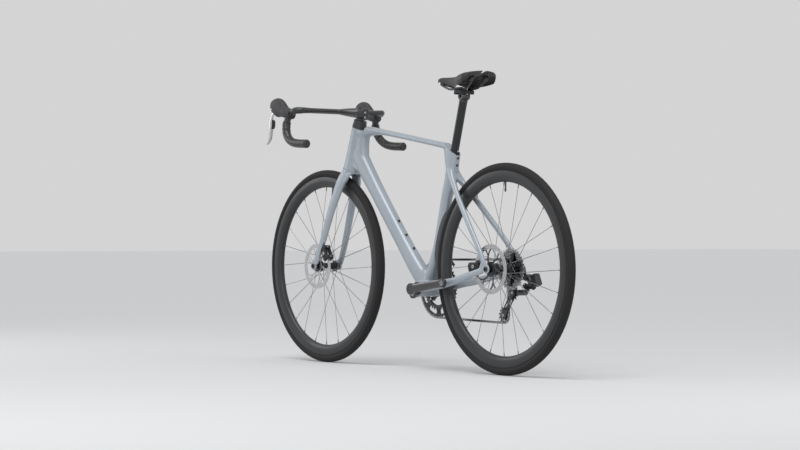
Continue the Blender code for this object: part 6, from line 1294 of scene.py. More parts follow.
def make_rings():
    """Two chainrings bolted to the spider, with chamfered teeth and lift pins."""
    pins = bmesh.new()
    for name, teeth, y, phase in (("large", LARGE_TEETH, LARGE_Y, roller_angle(1)),
                                  ("small", SMALL_TEETH, SMALL_Y, 0.0)):
        loops = [toothed(BB, teeth, phase), circle(BB, RING_HOLE, 96)]
        reach = pitch_radius(teeth) - 0.0048
        if name == "large":
            loops += windows(BB, RING_HOLE + 0.0085, reach - 0.0060, RING_WINDOWS, 0.0, 0.14, 8)
        bm = plate(f"ring_{name}", loops, y - 0.0009, y + 0.0009)
        new_piece(f"chainring_{name}_dressed", bm, RING_FINISH, "crankset", 30.0, [f"chainring_{name}"])
        for k in range(4):
            spot = around_y(BB, reach - 0.0025, y, phase + math.tau * (k + 0.2) / 4)
            rod(pins, spot - Y_AXIS * 0.0014, spot + Y_AXIS * 0.0014, 0.0014, 16, 0.0003)
    for k in range(SPIDER_ARMS):
        spot = around_y(BB, RING_HOLE - 0.0050, -0.0400, -math.tau * (k + 0.5) / SPIDER_ARMS)
        rod(pins, spot - Y_AXIS * 0.0012, spot + Y_AXIS * 0.0006, 0.0036, 24, 0.0004)
    new_piece("chainring_pins", pins, STEEL, "crankset", 30.0)


def crank_place(side, reach):
    return BB + Vector((-side * math.cos(CRANK_TILT), 0.0, side * math.sin(CRANK_TILT))) * reach


def crank_shape(side):
    """Arm wide at the axle and slimmer towards the pedal, as a shape."""
    rows = []
    for share, half, rise in ((0.0, 0.0062, 0.0165), (0.12, 0.0064, 0.0152), (0.35, 0.0063, 0.0140),
                              (0.65, 0.0061, 0.0130), (0.90, 0.0060, 0.0130), (1.0, 0.0058, 0.0128)):
        spot = crank_place(side, CRANK_LENGTH * share)
        rows.append((spot.x, side * (CRANK_OUT + CRANK_IN) / 2, spot.z, half, rise))
    return lambda bm: loft(bm, rows, 6, 32, 3.6)


def spider_arm(k):
    """Arm of the chainring spider with its stepped foot, as a shape."""
    def shape(bm):
        turn = Matrix.Rotation(-math.tau * (k + 0.5) / SPIDER_ARMS, 3, "Y")
        for reach, y, size, bevel in ((0.0230, -0.0575, (0.022, 0.0090, 0.0156), 0.0014),
                                      (0.0400, -0.0530, (0.020, 0.0090, 0.0132), 0.0014),
                                      (0.0503, -0.0487, (0.0088, 0.0172, 0.0122), 0.0010)):
            middle = BB + turn @ Vector((reach, 0.0, 0.0))
            middle.y = y
            block(bm, middle, size, turn, bevel)
    return shape


def make_cranks():
    """Both arms with their pedal threads, the spindle and the left arm's bolts."""
    for label, side in SIDES.items():
        pedal = crank_place(side, CRANK_LENGTH)
        low, high = sorted((side * CRANK_IN, side * CRANK_OUT))
        shapes = [crank_shape(side), boss(BB, 0.0195, low, high), boss(pedal, 0.0150, low, high, 0.0010)]
        if side < 0:
            shapes += [boss(BB, 0.0240, -0.0640, -0.0505)] + [spider_arm(k) for k in range(SPIDER_ARMS)]
        cuts = [boss(pedal, 0.0086, low - 0.01, high + 0.01, 0.0)]
        fused(f"crank_{label}_dressed", shapes, 0.0009, 3, cuts, CRANK_BLACK, "crankset",
              [f"crank_{label}"], 30.0)
        insert = bmesh.new()
        lathe(insert, pedal, [(0.0072, low + 0.0004), (0.0072, high - 0.0004), (0.0085, high - 0.0004),
                              (0.0085, low + 0.0004)], 48)
        new_piece(f"pedal_insert_{label}", insert, SILVER, "crankset", 30.0)
    spindle, caps = bmesh.new(), bmesh.new()
    rod(spindle, BB - Y_AXIS * 0.0640, BB + Y_AXIS * 0.0725, 0.0120, 40, 0.0006)
    new_piece("crank_spindle", spindle, SILVER, "crankset", 30.0)
    turned(caps, BB + Y_AXIS * 0.0738, Y_AXIS,
           mm([(10, 0), (10, 1.6), (9.2, 2.2), (5, 2.2), (4.6, 0.6), (0.4, 0.6)]), 40)
    up = Vector((math.sin(CRANK_TILT), 0.0, math.cos(CRANK_TILT)))
    for reach in (0.0245, 0.0345):
        turned(caps, crank_place(1, reach) + Y_AXIS * 0.0695 - up * 0.0158, -up,
               mm([(3, 0), (3, 1), (1.6, 1), (1.6, 0.2), (0.2, 0.2)]), 24)
    new_piece("crank_left_bolts", caps, BLACK_ALLOY, "crankset", 30.0)


def notches(side):
    """Sixteen small notches round a bracket cup, as a shape."""
    def shape(bm):
        for k in range(16):
            spot = around_y(BB, 0.0240, side * (CUP_FACE + 0.0030), math.tau * k / 16)
            rod(bm, spot - Y_AXIS * 0.0022, spot + Y_AXIS * 0.0022, 0.0017, 12)
    return shape


def make_cups():
    rows = mm([(20.5, -11), (20.5, 0.3), (22.6, 0.3), (23.2, 0.9), (23.2, 3.6), (22.2, 4.5), (17.5, 4.5),
               (17, 3.6), (13, 3.6), (12.3, 4), (12.3, -11)])
    for label, side in SIDES.items():
        bm = bmesh.new()
        lathe(bm, BB, [(r, side * (CUP_FACE + y)) for r, y in rows], 64)
        cup = new_piece(f"bottom_bracket_cup_{label}_dressed", bm, BLACK_ALLOY, None, 30.0)
        carve(cup, [notches(side)])
        crisp(cup)
        settle(cup, "frame", [f"bottom_bracket_cup_{label}"])


# Derailleurs and axles
BOLT = REAR_AXLE + Vector((-0.0100, 0.0, -0.0280))
BODY_Y = -0.0796
SHIFT_DIR = Vector((0.0, 0.0215, -0.0205)).normalized()
LINK_AXIS = X_AXIS.cross(SHIFT_DIR)
LINK_FRONT = Vector((GUIDE.x - 0.0140, -0.0900, GUIDE.z + 0.0200))
LINK_REAR = LINK_FRONT - X_AXIS * 0.0360
EYE_HALF = 0.0090
PLATE_LOW, PLATE_HIGH = 0.0040, 0.0056


def arc(centre, radius, start, end, steps):
    return [ring_point(centre, radius, math.radians(start + (end - start) * k / steps))
            for k in range(steps + 1)]


def make_hanger():
    edge = arc(REAR_AXLE, 0.0125, -20, 170, 24) + arc(BOLT, 0.0095, 170, 350, 20)
    bm = plate("hanger", [edge, circle(REAR_AXLE, AXLE_BORE, 32)], -0.0793, -0.0758, 0.0004)
    new_piece("derailleur_hanger_dressed", bm, BLACK_ALLOY, "frame", 30.0, ["derailleur_hanger"])


def make_derailleur_body():
    """Body that turns on the hanger bolt, with its rear ear over the link."""
    top = Vector((BOLT.x, BODY_Y - 0.0110, BOLT.z))
    face = LINK_REAR + LINK_AXIS * (EYE_HALF + 0.0003)
    ear = LINK_REAR + LINK_AXIS * (EYE_HALF + 0.0045)
    radii = mm([(8.4, 8.4), (7.4, 7.8), (8, 8.2)])
    shapes = [boss(BOLT, 0.0120, BODY_Y - 0.0240, BODY_Y, 0.0016),
              lambda bm: tube(bm, [top, top.lerp(ear, 0.5), ear], radii, 28, 2.6),
              lambda bm: rod(bm, face, ear + LINK_AXIS * 0.0038, 0.0085, 32, 0.0008)]
    fused("rear_derailleur_body_dressed", shapes, 0.0007, 3, [slanted_box(face, -LINK_AXIS, 0.0190, 0.0400)],
          CRANK_BLACK, "frame", ["rear_derailleur_body"], 30.0)
    bolts = bmesh.new()
    turned(bolts, Vector((BOLT.x, BODY_Y - 0.0238, BOLT.z)), -Y_AXIS,
           mm([(7.8, 0), (7.8, 0.6), (7, 1.2), (3.4, 1.2), (3.4, 0.2), (0.3, 0.2)]), 32)
    rod(bolts, LINK_REAR - LINK_AXIS * EYE_HALF, face + LINK_AXIS * 0.0002, 0.0031, 24)
    turned(bolts, ear + LINK_AXIS * 0.0036, LINK_AXIS,
           mm([(4, 0), (3.8, 0.5), (2, 0.5), (2, 0.1), (0.2, 0.1)]), 24)
    new_piece("rear_derailleur_bolts", bolts, STEEL, "frame", 30.0)


def make_battery():
    """Clip-on battery behind the derailleur's body."""
    turn = Matrix.Rotation(math.radians(24), 3, "Y")
    middle = Vector((BOLT.x - 0.0400, BODY_Y - 0.0125, BOLT.z - 0.0080))
    pack = bmesh.new()
    for x, z, size, bevel, segments in ((0.0, -0.0040, (0.0240, 0.0240, 0.0312), 0.0032, 4),
                                        (0.0, 0.0161, (0.0234, 0.0234, 0.0076), 0.0026, 4),
                                        (0.0, 0.0119, (0.0222, 0.0222, 0.0030), 0.0, 2),
                                        (-0.0112, 0.0120, (0.0022, 0.0100, 0.0110), 0.0008, 3)):
        block(pack, middle + turn @ Vector((x, 0.0, z)), size, turn, bevel, segments)
    new_piece("derailleur_battery_dressed", pack, PLASTIC, "frame", 30.0, ["derailleur_battery"])


def make_link():
    """Two eyes joined by a pair of bars and a web."""
    middle = (LINK_REAR + LINK_FRONT) / 2
    turn = Matrix((X_AXIS, SHIFT_DIR, LINK_AXIS)).transposed()
    far = LINK_AXIS * 0.02
    eye = LINK_AXIS * EYE_HALF
    shapes = [lambda bm, c=c: rod(bm, c - eye, c + eye, 0.0075, 40, 0.0006) for c in (LINK_REAR, LINK_FRONT)]
    for rise, size, bevel in ((-0.0048, (0.0300, 0.0110, 0.0058), 0.0012),
                              (0.0048, (0.0300, 0.0110, 0.0058), 0.0012),
                              (0.0, (0.0300, 0.0050, 0.0120), 0.0010)):
        shapes.append(lambda bm, spot=middle + LINK_AXIS * rise, size=size, bevel=bevel:
                      block(bm, spot, size, turn, bevel))
    fused("derailleur_link_dressed", shapes, 0.0006, 2,
          [bar_cut(c - far, c + far, 0.0035, 32) for c in (LINK_REAR, LINK_FRONT)],
          BLACK_ALLOY, "derailleur_link", ["derailleur_link"], 30.0)


def make_knuckle():
    """Knuckle between the link's front eye and the guide pulley's axle, and its pin."""
    foot = LINK_FRONT - LINK_AXIS * (EYE_HALF + 0.0003)
    plate_face = CAGE_Y - PLATE_HIGH - 0.0003
    low = Vector((GUIDE.x, foot.y - 0.0040, GUIDE.z))
    shapes = [boss(GUIDE, 0.0100, plate_face - 0.0497, plate_face),
              lambda bm: rod(bm, foot - LINK_AXIS * 0.0045, low, 0.0070, 32),
              lambda bm: rod(bm, foot - LINK_AXIS * 0.0060, foot, 0.0080, 32)]
    fused("derailleur_knuckle_dressed", shapes, 0.0007, 3, [slanted_box(foot, LINK_AXIS, 0.0250, 0.0110)],
          CRANK_BLACK, "derailleur_knuckle", ["derailleur_knuckle"], 30.0)
    pin = bmesh.new()
    rod(pin, foot - LINK_AXIS * 0.0010, LINK_FRONT + LINK_AXIS * EYE_HALF, 0.0031, 24, 0.0003)
    turned(pin, Vector((GUIDE.x, plate_face - 0.0496, GUIDE.z)), -Y_AXIS,
           mm([(6.8, 0), (6.8, 0.4), (6, 0.9), (2.8, 0.9), (2.8, 0.1), (0.3, 0.1)]), 32)
    new_piece("derailleur_knuckle_pin", pin, STEEL, "derailleur_knuckle", 30.0)


def cage_outline():
    """Edge and opening of a cage plate, waisted between the pulleys."""
    degrees = math.degrees(CAGE_ANGLE)
    along = Vector((math.cos(CAGE_ANGLE), 0.0, math.sin(CAGE_ANGLE)))
    across = Vector((-along.z, 0.0, along.x))

    def spots(rows, way=1):
        return [(p.x, p.z) for p in (GUIDE + along * reach + across * (off * way) for reach, off in rows)]

    waist = mm([(28, 9.8), (45, 8.6), (60, 10.2)])
    edge = (arc(GUIDE, 0.0122, degrees + 90, degrees + 270, 18) + spots(waist, -1)
            + arc(TENSION, 0.0146, degrees - 90, degrees + 90, 20) + spots(waist[::-1]))
    slot = mm([(20, 0), (26, 4.8), (45, 3.6), (60, 4.6), (66, 0), (60, -4.6), (45, -3.6), (26, -4.8)])
    return edge, smooth_outline(spots(slot))[:-1]


def make_cage():
    """Two waisted plates with an opening in each, joined by the pulley bolts."""
    bm = bmesh.new()
    for sign in (-1, 1):
        low, high = sorted((CAGE_Y + sign * PLATE_LOW, CAGE_Y + sign * PLATE_HIGH))
        merge_in(bm, plate("cage", cage_outline(), low, high))
    new_piece("derailleur_cage_dressed", bm, BLACK_ALLOY, "derailleur_cage", 30.0, ["derailleur_cage"])
    bolts = bmesh.new()
    for centre in (GUIDE, TENSION):
        spot = Vector((centre.x, CAGE_Y, centre.z))
        rod(bolts, spot - Y_AXIS * 0.0048, spot + Y_AXIS * 0.0056, 0.0029, 24)
        turned(bolts, spot + Y_AXIS * 0.0055, Y_AXIS,
               mm([(4.2, 0), (4.2, 0.6), (3.6, 1), (1.6, 1), (1.6, 0.1), (0.2, 0.1)]), 24)
    new_piece("derailleur_cage_bolts", bolts, STEEL, "derailleur_cage", 30.0)


def make_pulley(name, centre, piece):
    """Toothed pulley in step with the chain, with six openings and a bearing."""
    loops = [toothed(centre, PULLEY_TEETH, roller_angle(piece))]
    loops += windows(centre, 0.0100, 0.0172, 6, 0.0, 0.16)
    wheel = plate(name, loops + [circle(centre, 0.0070, 40)], CAGE_Y - 0.0010, CAGE_Y + 0.0010)
    lathe(wheel, Vector((centre.x, CAGE_Y, centre.z)),
          mm([(3.4, -3.1), (3.4, 3.1), (7, 3.1), (7.4, 2.7), (7.4, -2.7), (7, -3.1)]), 40)
    new_piece(f"{name}_dressed", wheel, PLASTIC, name, 30.0, [name])


def make_front_derailleur():
    """Compact motor body on the seat tube and the cage that straddles the chain."""
    middle = Vector((BB.x - 0.0395, -0.0345, BB.z + 0.1333))
    body, bolt, cage = bmesh.new(), bmesh.new(), bmesh.new()
    block(body, middle, (0.0340, 0.0336, 0.0256), None, 0.0046, 4)
    block(body, middle + Vector((0.0, -0.0020, 0.0108)), (0.0240, 0.0220, 0.0060), None, 0.0018, 3)
    new_piece("front_derailleur_body_dressed", body, CRANK_BLACK, "frame", 30.0, ["front_derailleur_body"])
    turned(bolt, middle + Vector((0.0060, -0.0166, 0.0)), -Y_AXIS,
           mm([(4, 0), (4, 1), (3.4, 1.5), (1.8, 1.5), (1.8, 0.4), (0.2, 0.4)]), 24)
    new_piece("front_derailleur_bolt", bolt, STEEL, "frame", 30.0)
    inner, outer = pitch_radius(LARGE_TEETH) + 0.0070, pitch_radius(LARGE_TEETH) + 0.0190
    edge = arc(BB, inner, 92, 136, 22) + arc(BB, outer - 0.0012, 135, 93, 20)
    for low, high in ((-0.0057, -0.0045), (0.0045, 0.0057)):
        merge_in(cage, plate("front_cage", [edge], LARGE_Y + low, LARGE_Y + high))
    block(cage, Vector((BB.x - 0.0295, LARGE_Y, BB.z + 0.1148)), (0.0140, 0.0112, 0.0096), None, 0.0014, 3)
    block(cage, Vector((BB.x - 0.0725, LARGE_Y, BB.z + 0.0843)), (0.0056, 0.0112, 0.0056), None, 0.0010, 3)
    new_piece("front_derailleur_cage_dressed", cage, BLACK_ALLOY, "front_derailleur_cage", 30.0,
              ["front_derailleur_cage"])


def make_thru_axles():
    """Both thru axles, hollow from the right and with a hexagon socket at the left."""
    for label, axle, low, head, body in (("rear", REAR_AXLE, -0.0790, 0.0758, "frame"),
                                         ("front", FRONT_AXLE, -0.0583, 0.0583, "steering")):
        profile = [(0.0050, low), (0.0060, low + 0.0010), (0.0060, head), (0.0085, head),
                   (0.0085, head + 0.0022), (0.0078, head + 0.0033), (0.0046, head + 0.0033)]
        bm = bmesh.new()
        lathe(bm, axle, profile, 48, closed=False)
        made = new_piece(f"{label}_thru_axle_dressed", bm, BLACK_ALLOY, None, 30.0)
        carve(made, [bore_y(axle, 0.0035, head - 0.0020, head + 0.01, 6),
                     bore_y(axle, 0.0034, low - 0.01, low + 0.0120, 32)])
        crisp(made)
        settle(made, body, [f"{label}_thru_axle"])


make_chain()
make_cassette()
make_rings()
make_cranks()
make_cups()
make_hanger()
make_derailleur_body()
make_battery()
make_link()
make_knuckle()
make_cage()
make_pulley("pulley_upper", GUIDE, 5)
make_pulley("pulley_lower", TENSION, 3)
make_front_derailleur()
make_thru_axles()


# Seatpost, saddle and brakes
SADDLE_TOP_Z = SEAT_CUT_Z + 0.2445
RAIL_Z = SADDLE_TOP_Z - 0.0420
RAIL_RADIUS, RAIL_SPACING = 0.0035, 0.0220
POST_TOP = seat_point(RAIL_Z - 0.0270)
HEAD = Vector((POST_TOP.x, 0.0, POST_TOP.z + 0.0030))
SADDLE_X = seat_point(SADDLE_TOP_Z).x
NOSE_X = SADDLE_X + 0.1620
NOSE_INSET = 0.010
SADDLE_LENGTH = 0.2520
SADDLE_HALF, NOSE_HALF = 0.0715, 0.0215
FRONT_CALIPER_TURN = Matrix.Rotation(math.radians(-60), 3, "Y")
CALIPERS = {"rear": (*REAR_FLAT, "frame"),
            "front": (FRONT_AXLE + FRONT_CALIPER_TURN @ Vector((0.0100, ROTOR_Y["front"], 0.0600)),
                      FRONT_CALIPER_TURN, "steering")}


def clamped(value):
    return max(0.0, min(1.0, value))


def saddle_half(share):
    """Half width along the saddle; share runs from the nose, 0, to the tail, 1."""
    flare = 1.0 / (1.0 + math.exp(-13.0 * (share - 0.60)))
    nose = math.sqrt(min(1.0, share / 0.10)) if share < 0.10 else 1.0
    tail = math.sqrt(max(0.0, 1.0 - ((share - 0.84) / 0.16) ** 2)) if share > 0.84 else 1.0
    return max((NOSE_HALF + (SADDLE_HALF - NOSE_HALF) * flare) * nose * tail, 0.0030)


def saddle_ridge(share):
    """Height of the saddle's middle line, low at the nose and lifted at the tail."""
    dip = -0.0130 * max(0.0, 1.0 - share / 0.20) ** 2
    lift = 0.0095 * max(0.0, (share - 0.62) / 0.38) ** 1.5
    return SADDLE_TOP_Z + 0.0030 + dip + lift - 0.0030 * math.sin(math.pi * min(1.0, share / 0.8))


def saddle_line(share, sides, scale, drop, skirt=0.0):
    """One line of points across the saddle at a share of its length."""
    x = NOSE_X - NOSE_INSET - (SADDLE_LENGTH - NOSE_INSET) * share
    slim = (0.30 + 0.70 * min(1.0, share / 0.42)) * (0.45 + 0.55 * min(1.0, (1.0 - share) / 0.16))
    skirt *= clamped((share - 0.30) / 0.25) * clamped((1.0 - share) / 0.16)
    depth = slim * 0.0120 * (0.35 + 0.65 * math.sin(math.pi * min(1.0, 0.15 + share * 0.80)))
    fade = max(0.0, min(1.0, (share - 0.10) / 0.10, (0.95 - share) / 0.08))
    line = []
    for i in range(sides + 1):
        u = -1.0 + 2.0 * i / sides
        y = saddle_half(share) * math.sin(u * math.pi / 2)
        fall = slim * 0.0060 * (1.0 - math.cos(u * math.pi / 2))
        fall += depth * max(0.0, abs(u) - 0.62) ** 2 / 0.1444
        fall += skirt * max(0.0, abs(u) - 0.70) ** 2 / 0.09
        groove = 0.0080 * math.exp(-(y / 0.0100) ** 2) * fade
        line.append(Vector((x, y * scale, saddle_ridge(share) - fall - groove - drop * slim)))
    return line


def saddle_skin(top, low, skirt, trim=0.004, rows=72, sides=40):
    """Closed shell between two surfaces, each given as (scale, drop)."""
    rings = []
    for k in range(rows + 1):
        share = trim + (1.0 - 2.0 * trim) * (0.5 - 0.5 * math.cos(math.pi * k / rows))
        rings.append(saddle_line(share, sides, *top, skirt) + saddle_line(share, sides, *low, skirt)[::-1])
    bm = bmesh.new()
    skin(bm, rings)
    return bm


def saddle_slot(half, start):
    """Long opening down the middle, rounded at the nose end and open at the tail, as a shape."""
    front, back = NOSE_X - SADDLE_LENGTH * start, NOSE_X - SADDLE_LENGTH * 1.06
    edge = [(back, -half * 1.35), (front - 0.150, -half * 1.15)]
    edge += [(front - half + half * math.cos(a), half * math.sin(a))
             for a in (math.radians(-90 + 9 * k) for k in range(21))]
    edge += [(front - 0.150, half * 1.15), (back, half * 1.35)]
    return lambda bm: skin(bm, [[Vector((x, y, z)) for x, y in edge]
                                for z in (SADDLE_TOP_Z - 0.06, SADDLE_TOP_Z + 0.04)])


def make_saddle():
    """Padding over a shell, both open down the middle, and the sockets that hold the rails."""
    cover = saddle_skin((1.0, 0.0), (0.955, 0.0100), 0.010)
    made = new_piece("saddle_padding", cover, LEATHER, "saddle", 60.0, ["saddle_cover"])
    carve(made, [saddle_slot(0.0080, 0.26)])
    crisp(made, 55.0)
    shell = saddle_skin((0.950, 0.0103), (0.945, 0.0135), 0.004, trim=0.03)
    base = new_piece("saddle_base", shell, PLASTIC, "saddle", 50.0, ["saddle_shell"])
    carve(base, [saddle_slot(0.0095, 0.24)])
    crisp(base, 50.0)
    pods = bmesh.new()
    for side in (-1, 1):
        block(pods, Vector((SADDLE_X - 0.0560, side * 0.0290, RAIL_Z + 0.0300)), (0.0200, 0.0160, 0.0130),
              Matrix.Rotation(math.radians(35), 3, "Y"), 0.0040, 4)
    block(pods, Vector((SADDLE_X + 0.1190, 0.0, RAIL_Z + 0.0210)), (0.0240, 0.0300, 0.0120), None, 0.0045, 4)
    new_piece("saddle_rail_sockets", pods, PLASTIC, "saddle", 40.0)


def make_rails():
    """One bent rail that runs from the left tail socket round the nose to the right one."""
    path = mm([(125, 0, 17.5), (122, 10, 17), (110, 15, 13), (85, 19, 5), (60, 22, 0), (-15, 22, 0),
               (-40, 24, 11), (-62, 29, 30)])
    knots = [Vector((SADDLE_X + x, y, RAIL_Z + z)) for x, y, z in path]
    points = smooth_values(knots[::-1] + [Vector((p.x, -p.y, p.z)) for p in knots[1:]], 6)
    bm = bmesh.new()
    tube(bm, points, [(RAIL_RADIUS, RAIL_RADIUS)] * len(points), 20, across=Z_AXIS)
    new_piece("saddle_rails_dressed", bm, CARBON, "saddle", 60.0, ["saddle_rails"])


def make_seatpost():
    """Round post with a cross tube at its head."""
    foot = seat_point(0.632)
    direction = (POST_TOP - foot).normalized()
    length = (POST_TOP - foot).length
    bm, head = bmesh.new(), bmesh.new()
    turned(bm, foot, direction, [(0.0128, 0.0), (POST_RADIUS, 0.0008), (POST_RADIUS, length - 0.0120),
                                 (0.0133, length)], 64)
    new_piece("seatpost_dressed", bm, CARBON_POST, "seatpost", 40.0, ["seatpost"])
    barrel = mm([(12.3, -15.8), (12.5, -15.5), (12.5, 15.5), (12.3, 15.8), (6, 15.8), (6, -15.8)])
    lathe(head, HEAD, barrel, 64)
    turned(head, POST_TOP - direction * 0.0130, direction, mm([(14.1, 0), (14.1, 3), (13.8, 4)]), 64)
    new_piece("seatpost_head", head, BLACK_ALLOY, "seatpost", 40.0)


def make_clamp():
    """Lower cradle and upper yoke round the rails, with two bolts."""
    rail_cuts = []
    for side in (-1, 1):
        back, front = (Vector((HEAD.x + x, side * RAIL_SPACING, RAIL_Z)) for x in (-0.03, 0.03))
        rail_cuts.append(bar_cut(back, front, 0.0038, 24))
    low = [lambda bm: block(bm, Vector((HEAD.x, 0.0, RAIL_Z - 0.0112)), (0.0380, 0.0578, 0.0136), None,
                            0.0026, 3)]
    fused("saddle_clamp_lower", low, 0.0008, 1, [boss(HEAD, 0.0130, -0.05, 0.05, 0.0, 64)] + rail_cuts,
          BLACK_ALLOY, "saddle_clamp", ["saddle_clamp"], 34.0)
    high = [lambda bm, y=y, size=size, bevel=bevel:
            block(bm, Vector((HEAD.x, y, RAIL_Z + 0.0016)), size, None, bevel, 3)
            for y, size, bevel in ((-RAIL_SPACING, (0.0360, 0.0126, 0.0072), 0.0022),
                                   (RAIL_SPACING, (0.0360, 0.0126, 0.0072), 0.0022),
                                   (0.0, (0.0120, 0.0440, 0.0056), 0.0018))]
    fused("saddle_clamp_upper", high, 0.0008, 1, rail_cuts, BLACK_ALLOY, "saddle_clamp", [], 34.0)
    bolts = bmesh.new()
    for x in (-0.0150, 0.0150):
        turned(bolts, Vector((HEAD.x + x, 0.0, RAIL_Z - 0.0186)), Z_AXIS,
               mm([(3.6, 0), (3.6, 3.6), (2.4, 3.6), (2.4, 21.5)]), 20)
    new_piece("saddle_clamp_bolts", bolts, STEEL, "saddle_clamp", 35.0)


def make_wedge():
    """Clamp wedge behind the post, with its bolt facing up."""
    up = (seat_point(0.80) - seat_point(0.70)).normalized()
    back = Vector((-up.z, 0.0, up.x))
    centre = seat_point(SEAT_CUT_Z - 0.010) + back * 0.0169
    turn = Matrix((-back, Y_AXIS, up)).transposed()
    fused("seat_wedge_dressed", [lambda bm: block(bm, centre, (0.0055, 0.0150, 0.0260), turn, 0.0009)],
          0.0006, 1, [bar_cut(seat_point(0.66), seat_point(0.80), 0.0139, 64)], BLACK_ALLOY, "frame",
          ["seat_clamp_wedge"], 34.0)
    bolt = bmesh.new()
    turned(bolt, centre + up * 0.0128 + back * 0.0002, up,
           mm([(2.7, 0), (2.7, 2.6), (2.4, 3), (1.3, 3), (1.3, 1.4), (0.2, 1.4)]), 24)
    new_piece("seat_wedge_bolt", bolt, SILVER, "frame", 30.0)


def make_caliper(side):
    """Two-piece caliper: a half each side of the disc, joined by bridges with a window between them."""
    place, turn, body = CALIPERS[side]

    def at(x, y, z):
        return place + turn @ Vector((x, y, z))

    def box(x, y, z, size, bevel=0.0, segments=2):
        return lambda bm: block(bm, at(x, y, z), size, turn, bevel, segments)

    shapes = []
    for s in (-1, 1):
        shapes += [box(0.0, s * 0.0104, 0.0128, (0.0530, 0.0092, 0.0246), 0.0034, 4),
                   lambda bm, s=s: rod(bm, at(0.0, s * 0.0070, 0.0130), at(0.0, s * 0.0156, 0.0130), 0.0112,
                                       40, 0.0018),
                   box(s * 0.0190, 0.0, 0.0256, (0.0130, 0.0250, 0.0082), 0.0026, 3)]
    slot = [box(0.0, 0.0, 0.0065, (0.10, 0.0110, 0.0320)), box(0.0, 0.0, -0.0197, (0.10, 0.06, 0.0400))]
    if side == "front":
        middle, slope = FRONT_FLAT
        below = middle + slope @ Vector((0.0, 0.0, -0.0197))
        slot.append(lambda bm: block(bm, below, (0.112, 0.064, 0.040), slope))
    else:
        slot.append(boss(REAR_AXLE, 0.0715, place.y - 0.0055, place.y + 0.0055, 0.0, 64))
    fused(f"{side}_caliper_dressed", shapes, 0.0007, 3, slot, BLACK_ALLOY, body, [f"{side}_caliper"], 32.0)
    bolts = bmesh.new()
    cup = mm([(6, 0), (6, 0.4), (5.4, 0.9), (2.6, 0.9), (2.6, 0.2), (0.3, 0.2)])
    turned(bolts, at(0.0, 0.0150, 0.0130), turn @ Y_AXIS, cup, 32)
    for x in (-0.0190, 0.0190):
        turned(bolts, at(x, 0.0, 0.0288), turn @ Z_AXIS, [(r * 0.55, h * 1.4) for r, h in cup], 24)
    new_piece(f"{side}_caliper_bolts", bolts, STEEL, body, 32.0)


def dress_node(name, finish):
    """Finish for a solid that is shown as it is."""
    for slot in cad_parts[name].material_slots:
        slot.material = finish


make_seatpost()
make_clamp()
make_saddle()
make_rails()
make_wedge()
for side in CALIPERS:
    make_caliper(side)
    for label in ("inner", "outer"):
        dress_node(f"{side}_pad_{label}", PAD)
for label in ("upper", "lower"):
    dress_node(f"headset_bearing_{label}", STEEL)


# Floor, light and camera
FLOOR_GREY = 0.66
FLOOR_MOTTLE = 0.015


def pale_floor():
    """Matt pale floor with a faint mottle, in the backdrop's colour."""
    made = bpy.data.materials.new("floor_pale")
    made.use_nodes = True
    tree = made.node_tree
    shader = tree.nodes["Principled BSDF"]
    shader.inputs["Roughness"].default_value = 0.92
    shader.inputs["Specular IOR Level"].default_value = 0.2
    noise = add_node(tree, "ShaderNodeTexNoise", {"Scale": 3.0})
    ramp = add_node(tree, "ShaderNodeValToRGB", None, {0: noise.outputs[0]})
    for stop, way in zip(ramp.color_ramp.elements, (-1, 1)):
        grey = FLOOR_GREY * (1.0 + way * FLOOR_MOTTLE)
        stop.color = (grey, grey, grey, 1.0)
    tree.links.new(ramp.outputs[0], shader.inputs["Base Color"])
    return made


def make_stage():
    bm = bmesh.new()
    bmesh.ops.create_grid(bm, x_segments=8, y_segments=8, size=60.0)
    new_piece("floor", bm, pale_floor())


def place_lamp(name, lamp, place, aim):
    """Put a lamp in the scene, turned from its place to its aim."""
    obj = bpy.data.objects.new(name, lamp)
    obj.location = place
    obj.rotation_euler = (Vector(aim) - Vector(place)).to_track_quat("-Z", "Y").to_euler()
    bpy.context.scene.collection.objects.link(obj)


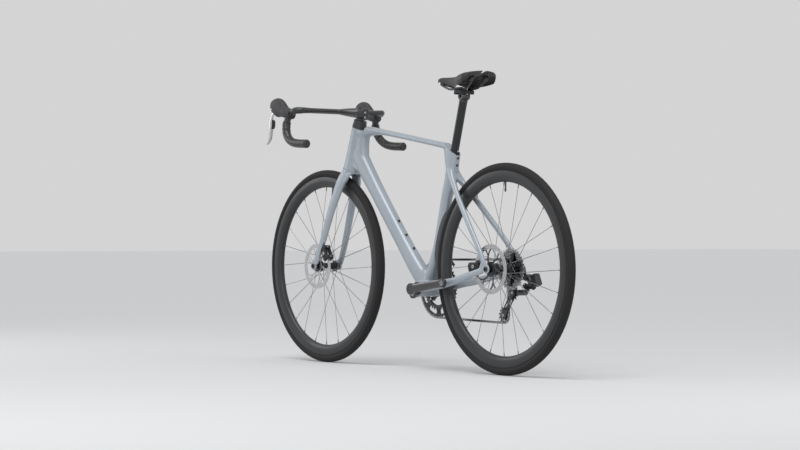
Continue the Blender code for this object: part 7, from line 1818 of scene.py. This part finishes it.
def make_lights():
    """A wide overhead sun and three strips that draw highlights along the tubes."""
    sun = bpy.data.lights.new("overhead_soft", "SUN")
    sun.energy = 1.7
    sun.angle = math.radians(40.0)
    place_lamp("overhead_soft", sun, (-0.15, 0.35, 1.0), (0.0, 0.0, 0.0))
    for name, energy, place, aim, size in (
            ("side_strip", 26.0, (-1.4, 3.2, 1.9), (0.0, 0.0, 0.4), (2.6, 0.9)),
            ("rear_strip", 16.0, (-3.2, -0.6, 1.8), (0.0, 0.0, 0.4), (0.8, 1.8)),
            ("front_strip", 14.0, (3.0, 1.6, 1.7), (0.2, 0.0, 0.5), (0.8, 1.8))):
        lamp = bpy.data.lights.new(name, "AREA")
        lamp.energy = energy
        lamp.shape = "RECTANGLE"
        lamp.size, lamp.size_y = size
        place_lamp(name, lamp, place, aim)


def make_world():
    """Soft sky light on the bike; camera, glossy and transmission rays see the plain backdrop."""
    world = bpy.data.worlds.new("studio")
    bpy.context.scene.world = world
    world.use_nodes = True
    tree = world.node_tree
    light = tree.nodes["Background"]
    light.inputs["Color"].default_value = (0.90, 0.93, 0.97, 1.0)
    light.inputs["Strength"].default_value = 0.42
    shown = add_node(tree, "ShaderNodeBackground", {"Color": (FLOOR_GREY, FLOOR_GREY, FLOOR_GREY, 1.0),
                                                    "Strength": 1.0})
    rays = add_node(tree, "ShaderNodeLightPath").outputs
    seen = rays["Is Camera Ray"]
    for kind in ("Is Glossy Ray", "Is Transmission Ray"):
        either = add_node(tree, "ShaderNodeMath", None, {0: seen, 1: rays[kind]}, operation="MAXIMUM")
        seen = either.outputs[0]
    mix = add_node(tree, "ShaderNodeMixShader", None, {0: seen, 1: light.outputs[0], 2: shown.outputs[0]})
    tree.links.new(mix.outputs[0], tree.nodes["World Output"].inputs["Surface"])


def make_camera():
    data = bpy.data.cameras.new("camera")
    data.lens = 102.73
    data.sensor_width = 36.0
    camera = bpy.data.objects.new("camera", data)
    camera.location = (-6.1636, 4.6298, 0.4402)
    look = Vector((0.80238, -0.59678, 0.00568))
    camera.rotation_euler = look.to_track_quat("-Z", "Y").to_euler()
    bpy.context.scene.collection.objects.link(camera)
    bpy.context.scene.camera = camera


make_stage()
make_lights()
make_world()
make_camera()
bpy.context.scene.view_settings.view_transform = "Standard"
